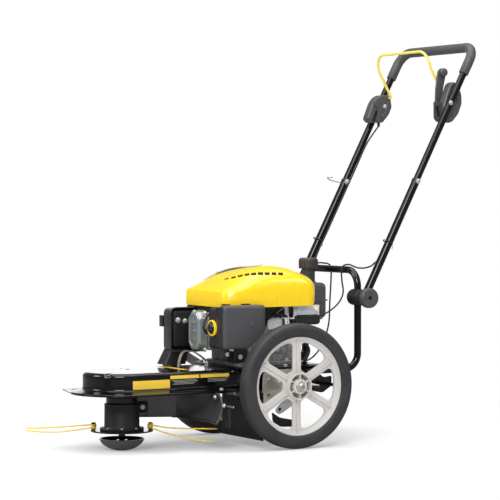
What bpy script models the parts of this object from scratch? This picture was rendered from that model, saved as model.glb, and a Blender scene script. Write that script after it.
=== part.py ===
"""Wheeled petrol string-trimmer mower, built as separate pieces in metres.

+Z is up, the cutting head is at -Y, the push handle at +Y and the mower's left side at +X.
The origin is the middle of the skid cup's flat foot, on the ground under the trimmer spindle.
"""

import math

import bmesh
import bpy
from mathutils import Vector

# Clearance between two pieces that touch or run on each other
GAP = 0.0003
# How far a cutter runs past the faces that it cuts
OVERCUT = 0.01
# How deep a joined shape starts inside its neighbour
ROOT = 0.001
# The share of a rounded edge's radius where its middle point lies
EDGE_MIDDLE = 0.3
CORNER_STEPS = 4

# Size of the crosses that mark the joints
PIVOT_MARK = 0.03

# Wheels
WHEEL_RADIUS = 0.178
WHEEL_X = 0.2305
WHEEL_STEPS = 30
TYRE_WIDTH = 0.040
TYRE_BEAD_WIDTH = 0.032
TYRE_TREAD_WIDTH = 0.010
TYRE_SHOULDER_WIDTH = 0.028
TYRE_SHOULDER_DROP = 0.003
TYRE_WALL_DROP = 0.013
RIM_RADIUS = 0.1405
RIM_BAND = 0.0125
RIM_BAND_SLOPE = 0.003
RIM_WIDTH = 0.034
WEB_THICKNESS = 0.008
HUB_RADIUS = 0.0375
HUB_BOSS_RADIUS = 0.021
HUB_WIDTH = 0.050
SPOKES = 6
SPOKE_WIDTH = 0.026
WINDOW_ROUND = 0.006
AXLE_Y = 0.4358
AXLE_RADIUS = 0.0095
AXLE_SHOULDER_RADIUS = 0.014
AXLE_NUT_RADIUS = 0.013
AXLE_NUT_HEIGHT = 0.009
AXLE_END_RADIUS = 0.006
AXLE_END_LENGTH = 0.003

# Trimmer head, all turned about the spindle
SPINDLE_RADIUS = 0.009
SPINDLE_PIN_RADIUS = 0.006
SPINDLE_PIN_BOTTOM = 0.0075
CUP_RADIUS = 0.0644
CUP_HEIGHT = 0.032
CUP_FOOT_RADIUS = 0.022
CUP_WALL = 0.003
CUP_FLOOR = 0.0045
CUP_BOSS_RADIUS = 0.0155
CUP_BOSS_DROP = 0.004
# The bowl between foot and rim, as shares of the cup's radius and height
CUP_BOWL = ((0.56, 0.14), (0.79, 0.42), (0.93, 0.73))
DISC_RADIUS = 0.0885
DISC_BOTTOM = 0.0525
DISC_THICKNESS = 0.004
DISC_EDGE = 0.001
HEAD_RING_RADIUS = 0.062
HEAD_RING_THICKNESS = 0.006
HEAD_RING_TOP = 0.068
HEAD_RADIUS_LOW = 0.050
HEAD_RADIUS_HIGH = 0.0485
HEAD_TOP = 0.1317
POST_RADIUS = 0.0045
POST_HEIGHT = 0.021
POST_ORBIT = 0.0800
LINE_RADIUS = 0.002
LINE_SPACING = 0.012
LINE_BEARING = math.radians(59.5)

# Deck: a flat plate under a domed belt cover
PLATE_BOTTOM = 0.1600
PLATE_THICKNESS = 0.003
PLATE_CORNER = (-0.172, -0.100)
PLATE_ROUND_END = math.radians(112)
PLATE_SIDE_Y = 0.020
COVER_HALF_WIDTH = 0.110
COVER_TOP = 0.2220
COVER_FOOT = 0.1750
COVER_WALL = 0.0025
COVER_REAR = 0.565
COVER_REAR_CORNER = 0.035
COVER_EDGE_ROUND = 0.012
BRIM_WIDTH = 0.034
BRIM_STEP = (0.004, 0.003)
SHAFT_HOLE_RADIUS = 0.030
BEARING_COLLAR_RADIUS = 0.0445
BEARING_COLLAR_DEPTH = 0.0275
BEARING_NOSE_RADIUS = 0.026
BEARING_NOSE_HEIGHT = 0.017
BEARING_CLEARANCE = 0.0012

# Belt drive
CRANK_Y = 0.420
CRANK_RADIUS = 0.0125
CRANK_FOOT = 0.003
CRANK_TIP_RADIUS = 0.007
CRANK_TIP_LENGTH = 0.014
ENGINE_PULLEY_RADIUS = 0.034
HEAD_PULLEY_RADIUS = 0.050
PULLEY_LIFT = 0.017
PULLEY_WIDTH = 0.016
SPINDLE_OVER_PULLEY = 0.007
GROOVE_WIDTH = 0.009
GROOVE_DEPTH = 0.009
GROOVE_FLARE = 0.0012
BELT_WIDTH = 0.0077
BELT_DEPTH = 0.008
BELT_CLEARANCE = 0.0006
IDLER_RADIUS = 0.017
IDLER_WIDTH = 0.014
IDLER_Y = 0.205
IDLER_TRAVEL = 0.0067
IDLER_ARM_OFFSET = (-0.0185, 0.080)
IDLER_ARM_THICKNESS = 0.004
IDLER_ARM_HALF_WIDTH = 0.009
IDLER_ARM_LIFT = 0.0015
IDLER_PIN_RADIUS = 0.004
IDLER_PIVOT_RADIUS = 0.005

# Main frame
FRAME_HALF_WIDTH = 0.1445
TUBE_RADIUS = 0.0105
FRAME_LEG_Y = 0.6994
FRAME_TOP = 0.498
FRAME_TOP_BEND = 0.050
FRAME_FOOT_BEND = 0.045
FRAME_FRONT_Y = 0.345
ENGINE_PLATE_THICKNESS = 0.004
ENGINE_PLATE_HALF_WIDTH = 0.156
ENGINE_PLATE_Y = (0.315, 0.600)
ENGINE_PLATE_CORNER = 0.020
AXLE_PLATE_THICKNESS = 0.004
AXLE_PLATE_BELOW = 0.034
AXLE_PLATE_TOP_DROP = 0.002
# The plate's lower edge and its upper one, as distances from the axle and from that edge's height
AXLE_PLATE_LOW = ((-0.064, 0.0), (-0.036, 0.0), (-0.048, -0.036), (-0.044, -0.044), (-0.034, -0.047),
                  (-0.025, -0.041), (-0.004, 0.0), (0.034, 0.0), (0.056, 0.026))
AXLE_PLATE_HIGH = ((0.064, 0.0), (-0.048, 0.0), (-0.068, -0.014))

# Guards under the deck
GUARD_WALL = 0.004
GUARD_BOTTOM = 0.080
GUARD_FAR_FRONT = (-0.078, 0.088)
GUARD_CORNER = (-0.030, 0.190)
GUARD_NEAR_LOW = (0.203, 0.222)
GUARD_NEAR_HIGH = 0.148
GUARD_BOW = 0.028
GUARD_LEVELS = 5
GUARD_STEPS = 8
FLAP_X = (-0.035, 0.196)
FLAP_Y = 0.345
FLAP_THICKNESS = 0.004
FLAP_BOTTOM = 0.023

# Engine
CRANKCASE_HALF = (0.082, 0.090)
CRANKCASE_TOP = 0.360
CRANKCASE_CORNER = 0.035
CRANKCASE_EDGE = 0.008
FLANGE_REACH = (0.022, 0.006)
FLANGE_THICKNESS = 0.012
FLANGE_CORNER = 0.030
CYLINDER_Z = 0.328
CYLINDER_HALF_WIDTH = 0.052
CYLINDER_HALF_HEIGHT = 0.054
CYLINDER_FRONT = 0.2555
CYLINDER_HEAD = 0.010
FINS = 7
FIN_DEPTH = 0.014
FIN_GAP_SHARE = 0.55
VALVE_COVER_HALF = (0.034, 0.0555)
VALVE_COVER_DEPTH = 0.025
VALVE_COVER_FLANGE = (0.004, 0.003)
VALVE_COVER_CUT = 0.018
VALVE_COVER_EDGE = 0.005
BOOT_RADIUS = 0.0085
BOOT_REACH = (0.024, -0.030, 0.002)
MUFFLER_OFF_CYLINDER = 0.004
MUFFLER_DEPTH = 0.048
MUFFLER_Y = (0.1955, 0.290)
MUFFLER_Z = (0.275, 0.387)
MUFFLER_CORNER = 0.012
MUFFLER_EDGE = 0.006
EXHAUST_PORT = (0.274, 0.335)
EXHAUST_RADIUS = 0.012
SHIELD_WALL = 0.0025
SHIELD_GAP = 0.0006
SHIELD_ROUND = 0.008
SHIELD_OVER = 0.003
DUCT_TOP_Y = 0.250
DUCT_FOOT_Y = (0.172, 0.240)
DUCT_FOOT_LIFT = 0.006
DUCT_INSET = 0.008
BLOWER_HALF = (0.142, 0.152)
BLOWER_CORNER = 0.040
BLOWER_Y = 0.418
BLOWER_BOTTOM = 0.3985
BLOWER_CREASE = (0.440, 0.452)
BLOWER_FRONT_TOP = 0.454
BLOWER_PEAK_TOP = 0.513
BLOWER_REAR_TOP = 0.503
BLOWER_PEAK_Y = 0.450
BLOWER_SIDE_STEPS = 4
BLOWER_WALL = 0.003
# Each ring of the cover's crown: its share of the plan's size and of the rise from the crease
CROWN_RINGS = ((1.0, 0.0), (0.98, 0.25), (0.93, 0.48), (0.82, 0.72), (0.64, 0.90), (0.36, 1.0))
VENTS = 9
# The slots follow the crown's near shoulder, from the middle in front round to the side
VENT_START = (0.034, 0.323)
VENT_END = (0.117, 0.454)
VENT_TURN = 1.15
VENT_HALF = (0.0085, 0.0045)
VENT_BOTTOM = 0.455
FLYWHEEL_RADIUS = 0.095
FLYWHEEL_THICKNESS = 0.022
FLYWHEEL_CLEARANCE = 0.0025
FLYWHEEL_RIM = (0.014, 0.008)
FLYWHEEL_DISH = (0.018, 0.014)
FLYWHEEL_HUB_RADIUS = 0.030
FILTER_WIDTH = 0.088
FILTER_Y = (0.235, 0.372)
FILTER_BOTTOM = 0.284
FILTER_SLANT = (0.066, 0.050)
FILTER_COVER_DEPTH = 0.0297
FILTER_COVER_TOP = 0.4067
FILTER_WALL = 0.004
FILTER_COVER_WALL = 0.003
FILTER_COVER_EDGE = 0.006
ELEMENT_INSET = 0.012
ELEMENT_END = 0.012
PRIMER_AT = (0.025, 0.342)
PRIMER_RADIUS = 0.0175
PRIMER_RING_RADIUS = 0.0245
PRIMER_RING_DEPTH = 0.008
PRIMER_FLANGE = 0.006
PRIMER_RISE = 0.0155
# The bulb's dome, as shares of its radius and of its rise over the flange
PRIMER_DOME = ((1.0, 0.0), (0.92, 0.42), (0.70, 0.79), (0.35, 1.0))
CARBURETTOR_LENGTH = 0.032
CARBURETTOR_Y = (0.284, 0.322)
CARBURETTOR_Z = (0.318, 0.352)
BOWL_RADIUS = 0.012
BOWL_DEPTH = 0.022
BRACKET_THICKNESS = 0.003
BRACKET_X = (0.020, 0.118)
BRACKET_Y = (0.462, 0.585)
BRACKET_CUT = 0.025
BRACKET_TAB = 0.040
TANK_X = (-0.115, 0.015)
TANK_Y = (0.5855, 0.678)
TANK_Z = (0.352, 0.458)
TANK_CORNER = 0.028
TANK_EDGE = 0.016
TANK_BRACKET_INSET = 0.025
TANK_BRACKET_DROP = 0.045
NECK_RADIUS = 0.019
NECK_FOOT = 0.006
CAP_CENTRE = (-0.045, 0.648)
CAP_RADIUS = 0.029
CAP_Z = (0.4985, 0.5305)
CAP_EDGE = 0.008
CAP_DISH = 0.012
GRIP_CENTRE = (-0.176, 0.430, 0.428)
GRIP_HALF = (0.012, 0.045, 0.011)
GRIP_CORNER = 0.010
GRIP_EDGE = 0.005
GRIP_STEM_RADIUS = 0.005

# Handle: the hinge at its foot leans it back, and every point is worked out from that
HINGE_Y = 0.692
HINGE_Z = 0.420
HINGE_BLOCK_RADIUS = 0.0225
HINGE_BLOCK_INNER_X = 0.130
HINGE_BLOCK_SPLIT = 0.0132
HINGE_BLOCK_OUTSIDE = 0.0120
HINGE_BOLT_RADIUS = 0.004
HINGE_BOLT_PAST = 0.006
HANDLE_HALF_WIDTH = 0.191
HANDLE_LEAN = math.radians(28.1)
HANDLE_TUBE_RADIUS = 0.0105
HANDLE_LENGTH = 0.838
HANDLE_BEND = 0.045
LOWER_TUBE_START = 0.010
LOWER_TUBE_LENGTH = 0.385
SOCKET_DEPTH = 0.040
SOCKET_WALL = 0.0015
KNOB_RADIUS = 0.029
KNOB_THICKNESS = 0.022
KNOB_EDGE = 0.005
KNOB_RECESS_RADIUS = 0.006
FOAM_RADIUS = 0.0145
FOAM_LEG_LENGTH = 0.092

# Controls on the handle, as (y, z) points in the plane of their side, off the crossbar's middle
CONTROL_INNER_X = 0.150
THROTTLE_HOUSING = ((-0.1007, -0.2132), (-0.0827, -0.2232), (-0.0647, -0.2292), (-0.0407, -0.2012),
                    (-0.0317, -0.1692), (-0.0337, -0.1412), (-0.0507, -0.1132), (-0.0627, -0.1092),
                    (-0.0807, -0.1252), (-0.0967, -0.1532), (-0.1067, -0.1842))
BAIL_HOUSING = ((-0.1467, -0.2032), (-0.1247, -0.2192), (-0.1007, -0.2212), (-0.0687, -0.2092),
                (-0.0537, -0.1742), (-0.0587, -0.1452), (-0.0787, -0.1282), (-0.1087, -0.1302),
                (-0.1367, -0.1512))
PIVOT_DEPTH = 0.018
PIVOT_PIN_LENGTH = 0.014
BAIL_PIVOT = (-0.0787, -0.1412)
BAIL_RADIUS = 0.004
BAIL_ARM_X = 0.137
BAIL_KNEE = (-0.1247, -0.0612)
BAIL_TOP = (-0.1367, -0.0132)
BAIL_BENDS = (0.008, 0.040, 0.042)
LEVER_PIVOT = (-0.1047, -0.1742)
LEVER_X = (0.1432, 0.1492)
LEVER_PIN_RADIUS = 0.0045
LEVER_KNOB_RADIUS = 0.0125
LEVER_KNOB_END = 0.1595
LEVER_KNOB_EDGE = 0.003
LEVER_KNOB_AT = (-0.0947, -0.0762)
# The lever's foot as points from its pivot, and its head as points from the knob
LEVER_HEEL = (-0.007, 0.030)
LEVER_FOOT = ((-0.010, -0.004), (0.0, -0.011), (0.010, -0.004), (0.010, 0.012))
LEVER_HEAD = ((0.006, 0.0), (-0.002, 0.006), (-0.009, 0.0))

# Control cables, clipped in front of the legs and looped across to the frame
CABLE_RADIUS = 0.0024
CABLE_X = 0.165
CABLE_ON_LEG_X = 0.177
CABLE_LEAVES_X = 0.168
CABLE_LEAVES = 0.125
CABLE_ON_LEG = (0.548, 0.433, 0.303)
CABLE_SPACING = (0.045, 0.024)

# Colours as red, green, blue, then roughness and metallic
BLACK_PAINT = (0.012, 0.012, 0.013, 0.25, 0.0)
BLACK_PLASTIC = (0.022, 0.022, 0.024, 0.5, 0.0)
GREY_PLASTIC = (0.055, 0.055, 0.058, 0.55, 0.0)
PALE_PLASTIC = (0.50, 0.48, 0.45, 0.45, 0.0)
RUBBER = (0.018, 0.018, 0.019, 0.75, 0.0)
FOAM = (0.030, 0.030, 0.032, 0.9, 0.0)
YELLOW = (0.93, 0.60, 0.02, 0.3, 0.0)
ZINC = (0.62, 0.62, 0.60, 0.35, 1.0)
STEEL = (0.45, 0.45, 0.46, 0.35, 1.0)
ALUMINIUM = (0.60, 0.60, 0.60, 0.5, 1.0)


def clear_scene():
    for old in list(bpy.data.objects):
        bpy.data.objects.remove(old, do_unlink=True)


def material(colour):
    name = "finish_" + "_".join(f"{round(value * 1000)}" for value in colour)
    found = bpy.data.materials.get(name)
    if found:
        return found
    made = bpy.data.materials.new(name)
    made.use_nodes = True
    shader = made.node_tree.nodes["Principled BSDF"]
    shader.inputs["Base Color"].default_value = (*colour[:3], 1.0)
    shader.inputs["Roughness"].default_value = colour[3]
    shader.inputs["Metallic"].default_value = colour[4]
    return made


def place(obj, origin, parent):
    bpy.context.scene.collection.objects.link(obj)
    obj.parent = parent
    obj.location = Vector(origin) - (parent.location if parent else Vector())


def piece(name, bm, colour, origin=(0, 0, 0), parent=None):
    """An object from a mesh in row coordinates, with its own origin moved to the given point."""
    bmesh.ops.recalc_face_normals(bm, faces=bm.faces)
    bmesh.ops.translate(bm, verts=bm.verts, vec=-Vector(origin))
    mesh = bpy.data.meshes.new(name)
    bm.to_mesh(mesh)
    bm.free()
    mesh.shade_smooth()
    mesh.set_sharp_from_angle(angle=math.radians(35))
    mesh.materials.append(material(colour))
    obj = bpy.data.objects.new(name, mesh)
    place(obj, origin, parent)
    return obj


def tool(name, bm):
    """A cutter or a shape to be joined: it is not a piece of the mower."""
    obj = piece(name, bm, BLACK_PAINT)
    obj.hide_render = True
    obj.display_type = "WIRE"
    return obj


def merge(target, other):
    """Adds another mesh's faces to target as a separate island."""
    mesh = bpy.data.meshes.new("island")
    other.to_mesh(mesh)
    other.free()
    target.from_mesh(mesh)
    bpy.data.meshes.remove(mesh)


def combine(obj, operation, bm):
    other = tool(f"{obj.name}.{operation.lower()}{len(obj.modifiers)}", bm)
    modifier = obj.modifiers.new(operation.title(), "BOOLEAN")
    modifier.operation = operation
    modifier.solver = "EXACT"
    modifier.object = other


def pivot(name, at, parent=None):
    empty = bpy.data.objects.new(name, None)
    empty.empty_display_size = PIVOT_MARK
    place(empty, at, parent)
    return empty


def flat_end(bm, ring):
    bm.faces.new(ring)


def bridged_end(bm, ring):
    """Closes a ring that mirrors itself in x, and starts off at a corner, with faces straight across it."""
    last = CORNER_STEPS * 2 + 1
    for i in range(CORNER_STEPS, CORNER_STEPS + 1 - len(ring) // 2, -1):
        bm.faces.new((ring[i], ring[last - i], ring[last + 1 - i], ring[i - 1]))


def loft(rings, wrap=False, end=flat_end):
    """A closed body through rings of equally many points: with ends, or joined round to the first."""
    bm = bmesh.new()
    layers = [[bm.verts.new(point) for point in ring] for ring in rings]
    pairs = list(zip(layers, layers[1:]))
    if wrap:
        pairs.append((layers[-1], layers[0]))
    else:
        end(bm, layers[0])
        end(bm, layers[-1])
    for low, high in pairs:
        for i in range(len(low)):
            j = (i + 1) % len(low)
            bm.faces.new((low[i], low[j], high[j], high[i]))
    return bm


def oriented(u, v, w, axis):
    """Row coordinates of plane coordinates u, v and a height w along the named axis."""
    return {"X": (w, u, v), "Y": (u, w, v), "Z": (u, v, w)}[axis]


def prism(outline, axis, low, high):
    return loft([[oriented(u, v, w, axis) for u, v in outline] for w in (low, high)])


def block(low, high):
    return prism([(low[0], low[1]), (high[0], low[1]), (high[0], high[1]), (low[0], high[1])],
                 "Z", low[2], high[2])


def turned(profile, centre, axis="Z", steps=32, wrap=False, turn=0.0):
    """Turns (radius, height) points about an axis. The ends are flat discs unless the profile is a loop."""
    rings = []
    for radius, height in profile:
        ring = []
        for i in range(steps):
            angle = turn + math.tau * i / steps
            u = centre[0] + radius * math.cos(angle)
            v = centre[1] + radius * math.sin(angle)
            ring.append(oriented(u, v, height, axis))
        rings.append(ring)
    return loft(rings, wrap)


def arc(centre, radius, start, end, steps):
    return [(centre[0] + radius * math.cos(start + (end - start) * i / steps),
             centre[1] + radius * math.sin(start + (end - start) * i / steps))
            for i in range(steps + 1)]


def rounded_box(x, y, z, corner, edge, steps=4):
    """A box with upright corners of one radius and small rounded top and bottom edges."""
    centre = ((x[0] + x[1]) / 2, (y[0] + y[1]) / 2)
    half = ((x[1] - x[0]) / 2, (y[1] - y[0]) / 2)
    middle = edge * EDGE_MIDDLE
    levels = [(edge, z[0]), (middle, z[0] + middle), (0.0, z[0] + edge),
              (0.0, z[1] - edge), (middle, z[1] - middle), (edge, z[1])]
    rings = []
    for inset, height in levels:
        outline = rounded_outline(centre, (half[0] - inset, half[1] - inset), corner - inset, steps)
        rings.append([(u, v, height) for u, v in outline])
    return loft(rings)


def rounded_outline(centre, half, corner, steps):
    outline = []
    for quarter, (sx, sy) in enumerate(((1, 1), (-1, 1), (-1, -1), (1, -1))):
        middle = (centre[0] + sx * (half[0] - corner), centre[1] + sy * (half[1] - corner))
        start = quarter * math.pi / 2
        outline += arc(middle, corner, start, start + math.pi / 2, steps)
    return outline


def bent_path(corners, radii, steps=5):
    """Points along straight runs between corners, with a round bend at each inner one."""
    points = [Vector(corners[0])]
    for before, corner, after, radius in zip(corners, corners[1:], corners[2:], radii):
        before, corner, after = Vector(before), Vector(corner), Vector(after)
        arrive = (corner - before).normalized()
        leave = (after - corner).normalized()
        turn = arrive.angle(leave)
        normal = (leave - arrive * arrive.dot(leave)).normalized()
        centre = corner - arrive * radius * math.tan(turn / 2) + normal * radius
        for i in range(steps + 1):
            angle = turn * i / steps
            points.append(centre - normal * radius * math.cos(angle) + arrive * radius * math.sin(angle))
    points.append(Vector(corners[-1]))
    return points


def smooth_path(points, spacing):
    """Points at about the given spacing on a smooth curve through the route's points."""
    route = [Vector(point) for point in points]
    route = [route[0] * 2 - route[1]] + route + [route[-1] * 2 - route[-2]]
    fine = []
    for a, b, c, d in zip(route, route[1:], route[2:], route[3:]):
        steps = max(2, round((c - b).length / spacing))
        for i in range(steps):
            t = i / steps
            fine.append(0.5 * (2 * b + (c - a) * t + (2 * a - 5 * b + 4 * c - d) * t * t
                               + (3 * b - a - 3 * c + d) * t ** 3))
    fine.append(route[-2])
    return fine


def sections(path, radius, sides):
    """Round rings square to a path, carried along it without twist."""
    rings = []
    tangents = []
    for i in range(len(path)):
        tangents.append((path[min(i + 1, len(path) - 1)] - path[max(i - 1, 0)]).normalized())
    across = tangents[0].orthogonal().normalized()
    for point, tangent in zip(path, tangents):
        across = (across - tangent * across.dot(tangent)).normalized()
        other = tangent.cross(across)
        ring = []
        for k in range(sides):
            angle = math.tau * k / sides
            ring.append(point + across * radius * math.cos(angle) + other * radius * math.sin(angle))
        rings.append(ring)
    return rings


def rod(path, radius, sides=8):
    return loft(sections([Vector(point) for point in path], radius, sides))


def sleeve(path, outer, inner, sides=10):
    path = [Vector(point) for point in path]
    return loft(sections(path, outer, sides) + sections(path, inner, sides)[::-1], wrap=True)


def cord(name, route, radius, colour, spacing, parent=None):
    """A round cord as a bevelled curve with capped ends along a hand-chosen route."""
    points = smooth_path(route, spacing)
    curve = bpy.data.curves.new(name, "CURVE")
    curve.dimensions = "3D"
    curve.bevel_depth = radius
    curve.bevel_resolution = 2
    curve.use_fill_caps = True
    spline = curve.splines.new("POLY")
    spline.points.add(len(points) - 1)
    origin = points[0]
    for target, point in zip(spline.points, points):
        target.co = (*(point - origin), 1.0)
    curve.materials.append(material(colour))
    obj = bpy.data.objects.new(name, curve)
    place(obj, origin, parent)
    return obj


def rear_corners(half, rear, corner):
    """The two rounded rear corners of a plan, from the far side to the near one."""
    far = arc((-half + corner, rear - corner), corner, math.pi, math.pi / 2, 4)
    return far + [(-x, y) for x, y in reversed(far)]


def cover_outline(offset, steps=16):
    """The belt cover's plan, a half circle round the spindle and straight sides, moved out by offset."""
    half = COVER_HALF_WIDTH + offset
    corners = rear_corners(half, COVER_REAR + offset, COVER_REAR_CORNER + offset)
    return arc((0, 0), half, 0, -math.pi, steps) + corners


def deck_top():
    return PLATE_BOTTOM + PLATE_THICKNESS


def shaft_hole(low, high):
    """A cutter for the hole that the crankshaft turns in."""
    return turned([(SHAFT_HOLE_RADIUS, low - OVERCUT), (SHAFT_HOLE_RADIUS, high + OVERCUT)],
                  (0, CRANK_Y), steps=20)


def belt_cover():
    edge = COVER_EDGE_ROUND
    wall = COVER_WALL
    step, drop = BRIM_STEP
    brim = deck_top() + GAP
    middle = edge * EDGE_MIDDLE
    outer = [(-edge, COVER_TOP), (-middle, COVER_TOP - middle), (0.0, COVER_TOP - edge),
             (0.0, COVER_FOOT), (step, COVER_FOOT - drop), (BRIM_WIDTH, brim + wall)]
    inner = [(BRIM_WIDTH, brim), (step - wall / 2, COVER_FOOT - drop - wall), (-wall, COVER_FOOT - wall / 2),
             (-wall, COVER_TOP - edge), (-edge, COVER_TOP - wall)]
    rings = [[(u, v, height) for u, v in cover_outline(offset)] for offset, height in outer + inner]
    cover = piece("belt_cover", loft(rings), BLACK_PAINT)
    combine(cover, "DIFFERENCE", shaft_hole(COVER_TOP - wall, COVER_TOP))


def deck_plate():
    """The flat plate under the cover, with one straight-sided corner at the far front."""
    half = COVER_HALF_WIDTH + BRIM_WIDTH
    outline = arc((0, 0), half, 0, -PLATE_ROUND_END, 10) + [PLATE_CORNER, (-half, PLATE_SIDE_Y)]
    outline += rear_corners(half, COVER_REAR + BRIM_WIDTH, COVER_REAR_CORNER + BRIM_WIDTH)
    plate = piece("deck_plate", prism(outline, "Z", PLATE_BOTTOM, deck_top()), BLACK_PAINT)
    hole = BEARING_NOSE_RADIUS + GAP
    combine(plate, "DIFFERENCE", turned([(hole, PLATE_BOTTOM - OVERCUT), (hole, deck_top() + OVERCUT)],
                                        (0, 0), steps=24))


def debris_guard():
    """A plastic wall behind the head, from the far side round to the near wheel, flared at the near end."""
    rings = []
    top = PLATE_BOTTOM - GAP
    start = Vector(GUARD_CORNER)
    for level in range(GUARD_LEVELS + 1):
        t = level / GUARD_LEVELS
        flare = (GUARD_NEAR_LOW[0] - GUARD_NEAR_HIGH) * math.sqrt(1 - t * t)
        end = Vector((GUARD_NEAR_HIGH + flare, GUARD_NEAR_LOW[1]))
        path = [Vector(GUARD_FAR_FRONT), start]
        for i in range(1, GUARD_STEPS + 1):
            s = i / GUARD_STEPS
            path.append(start.lerp(end, s) + Vector((0, GUARD_BOW * math.sin(math.pi * s))))
        front = offset_line(path, -GUARD_WALL / 2)
        back = offset_line(path, GUARD_WALL / 2)
        z = GUARD_BOTTOM + (top - GUARD_BOTTOM) * t
        rings.append([(p.x, p.y, z) for p in front + back[::-1]])
    piece("debris_guard", loft(rings), BLACK_PLASTIC)


def offset_line(path, distance):
    """A plan line moved sideways by a distance, square to its own direction."""
    moved = []
    for i, point in enumerate(path):
        along = (path[min(i + 1, len(path) - 1)] - path[max(i - 1, 0)]).normalized()
        moved.append(point + Vector((-along.y, along.x)) * distance)
    return moved


def mud_flap():
    piece("mud_flap", block((FLAP_X[0], FLAP_Y, FLAP_BOTTOM),
                            (FLAP_X[1], FLAP_Y + FLAP_THICKNESS, PLATE_BOTTOM - GAP)), RUBBER)


def engine_plate_bottom():
    return COVER_TOP + GAP


def hinge_face_x():
    """Where the frame's hinge block meets the handle's."""
    return HANDLE_HALF_WIDTH - HINGE_BLOCK_SPLIT


def cross_bolt_hole(low, high):
    """A cutter for the hinge bolt's hole between two x values."""
    hole = HINGE_BOLT_RADIUS + GAP
    return turned([(hole, low - OVERCUT), (hole, high + OVERCUT)], (HINGE_Y, HINGE_Z), "X", 12)


def frame_tube():
    """One bent tube: two rails beside the belt cover, up behind the engine and over, with hinge blocks."""
    low = engine_plate_bottom() - GAP - TUBE_RADIUS
    side = FRAME_HALF_WIDTH
    corners = [(side, FRAME_FRONT_Y, low), (side, FRAME_LEG_Y, low), (side, FRAME_LEG_Y, FRAME_TOP),
               (0, FRAME_LEG_Y, FRAME_TOP)]
    half = bent_path(corners, (FRAME_FOOT_BEND, FRAME_TOP_BEND))[:-1]
    mirrored = [Vector((-point.x, point.y, point.z)) for point in reversed(half)]
    frame = piece("frame_tube", rod(half + mirrored, TUBE_RADIUS), BLACK_PAINT)
    blocks = bmesh.new()
    holes = bmesh.new()
    for side in (-1, 1):
        ends = sorted((side * HINGE_BLOCK_INNER_X, side * hinge_face_x()))
        merge(blocks, turned([(HINGE_BLOCK_RADIUS, ends[0]), (HINGE_BLOCK_RADIUS, ends[1])],
                             (HINGE_Y, HINGE_Z), "X", 16))
        merge(holes, cross_bolt_hole(*ends))
    combine(frame, "UNION", blocks)
    combine(frame, "DIFFERENCE", holes)


def engine_plate():
    low = engine_plate_bottom()
    high = low + ENGINE_PLATE_THICKNESS
    front, rear = ENGINE_PLATE_Y
    outline = rounded_outline((0, (front + rear) / 2), (ENGINE_PLATE_HALF_WIDTH, (rear - front) / 2),
                              ENGINE_PLATE_CORNER, 3)
    plate = piece("engine_plate", prism(outline, "Z", low, high), BLACK_PAINT)
    combine(plate, "DIFFERENCE", shaft_hole(low, high))


def axle_plate(side):
    """A zinc side plate on the frame tube, with the stub axle, its nut and a brace to the flap."""
    inner = FRAME_HALF_WIDTH + TUBE_RADIUS + GAP
    top = engine_plate_bottom() - AXLE_PLATE_TOP_DROP
    bottom = WHEEL_RADIUS - AXLE_PLATE_BELOW
    outline = [(AXLE_Y + y, bottom + z) for y, z in AXLE_PLATE_LOW]
    outline += [(AXLE_Y + y, top + z) for y, z in AXLE_PLATE_HIGH]
    ends = sorted((side * inner, side * (inner + AXLE_PLATE_THICKNESS)))
    plate = piece("axle_plate_left" if side > 0 else "axle_plate_right", prism(outline, "X", *ends), ZINC)
    shoulder = WHEEL_X - HUB_WIDTH / 2 - GAP
    nut = WHEEL_X + HUB_WIDTH / 2 + GAP
    end = nut + AXLE_NUT_HEIGHT
    profile = [(AXLE_SHOULDER_RADIUS, inner + ROOT), (AXLE_SHOULDER_RADIUS, shoulder),
               (AXLE_RADIUS, shoulder), (AXLE_RADIUS, nut), (AXLE_NUT_RADIUS, nut), (AXLE_NUT_RADIUS, end),
               (AXLE_END_RADIUS, end), (AXLE_END_RADIUS, end + AXLE_END_LENGTH)]
    profile = [(radius, side * x) for radius, x in profile]
    combine(plate, "UNION", turned(profile, (AXLE_Y, WHEEL_RADIUS), "X", 16))


def wheel_ring(name, profile, side, colour, hub):
    """Turns a wheel profile of (radius, height off the wheel's middle), with one flat at the bottom."""
    to_flat = 1 / math.cos(math.pi / WHEEL_STEPS)
    profile = [(radius * to_flat, side * (WHEEL_X + height)) for radius, height in profile]
    ring = turned(profile, (AXLE_Y, WHEEL_RADIUS), "X", WHEEL_STEPS, wrap=True)
    return piece(name, ring, colour, hub.location, hub)


def tyre(side, hub):
    bead, wall, tread = TYRE_BEAD_WIDTH / 2, TYRE_WIDTH / 2, TYRE_TREAD_WIDTH / 2
    shoulder = TYRE_SHOULDER_WIDTH / 2
    half = [(RIM_RADIUS, bead), (WHEEL_RADIUS - TYRE_WALL_DROP, wall),
            (WHEEL_RADIUS - TYRE_SHOULDER_DROP, shoulder), (WHEEL_RADIUS, tread)]
    profile = [(radius, -height) for radius, height in half] + half[::-1]
    wheel_ring("tyre_left" if side > 0 else "tyre_right", profile, side, RUBBER, hub)


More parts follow.
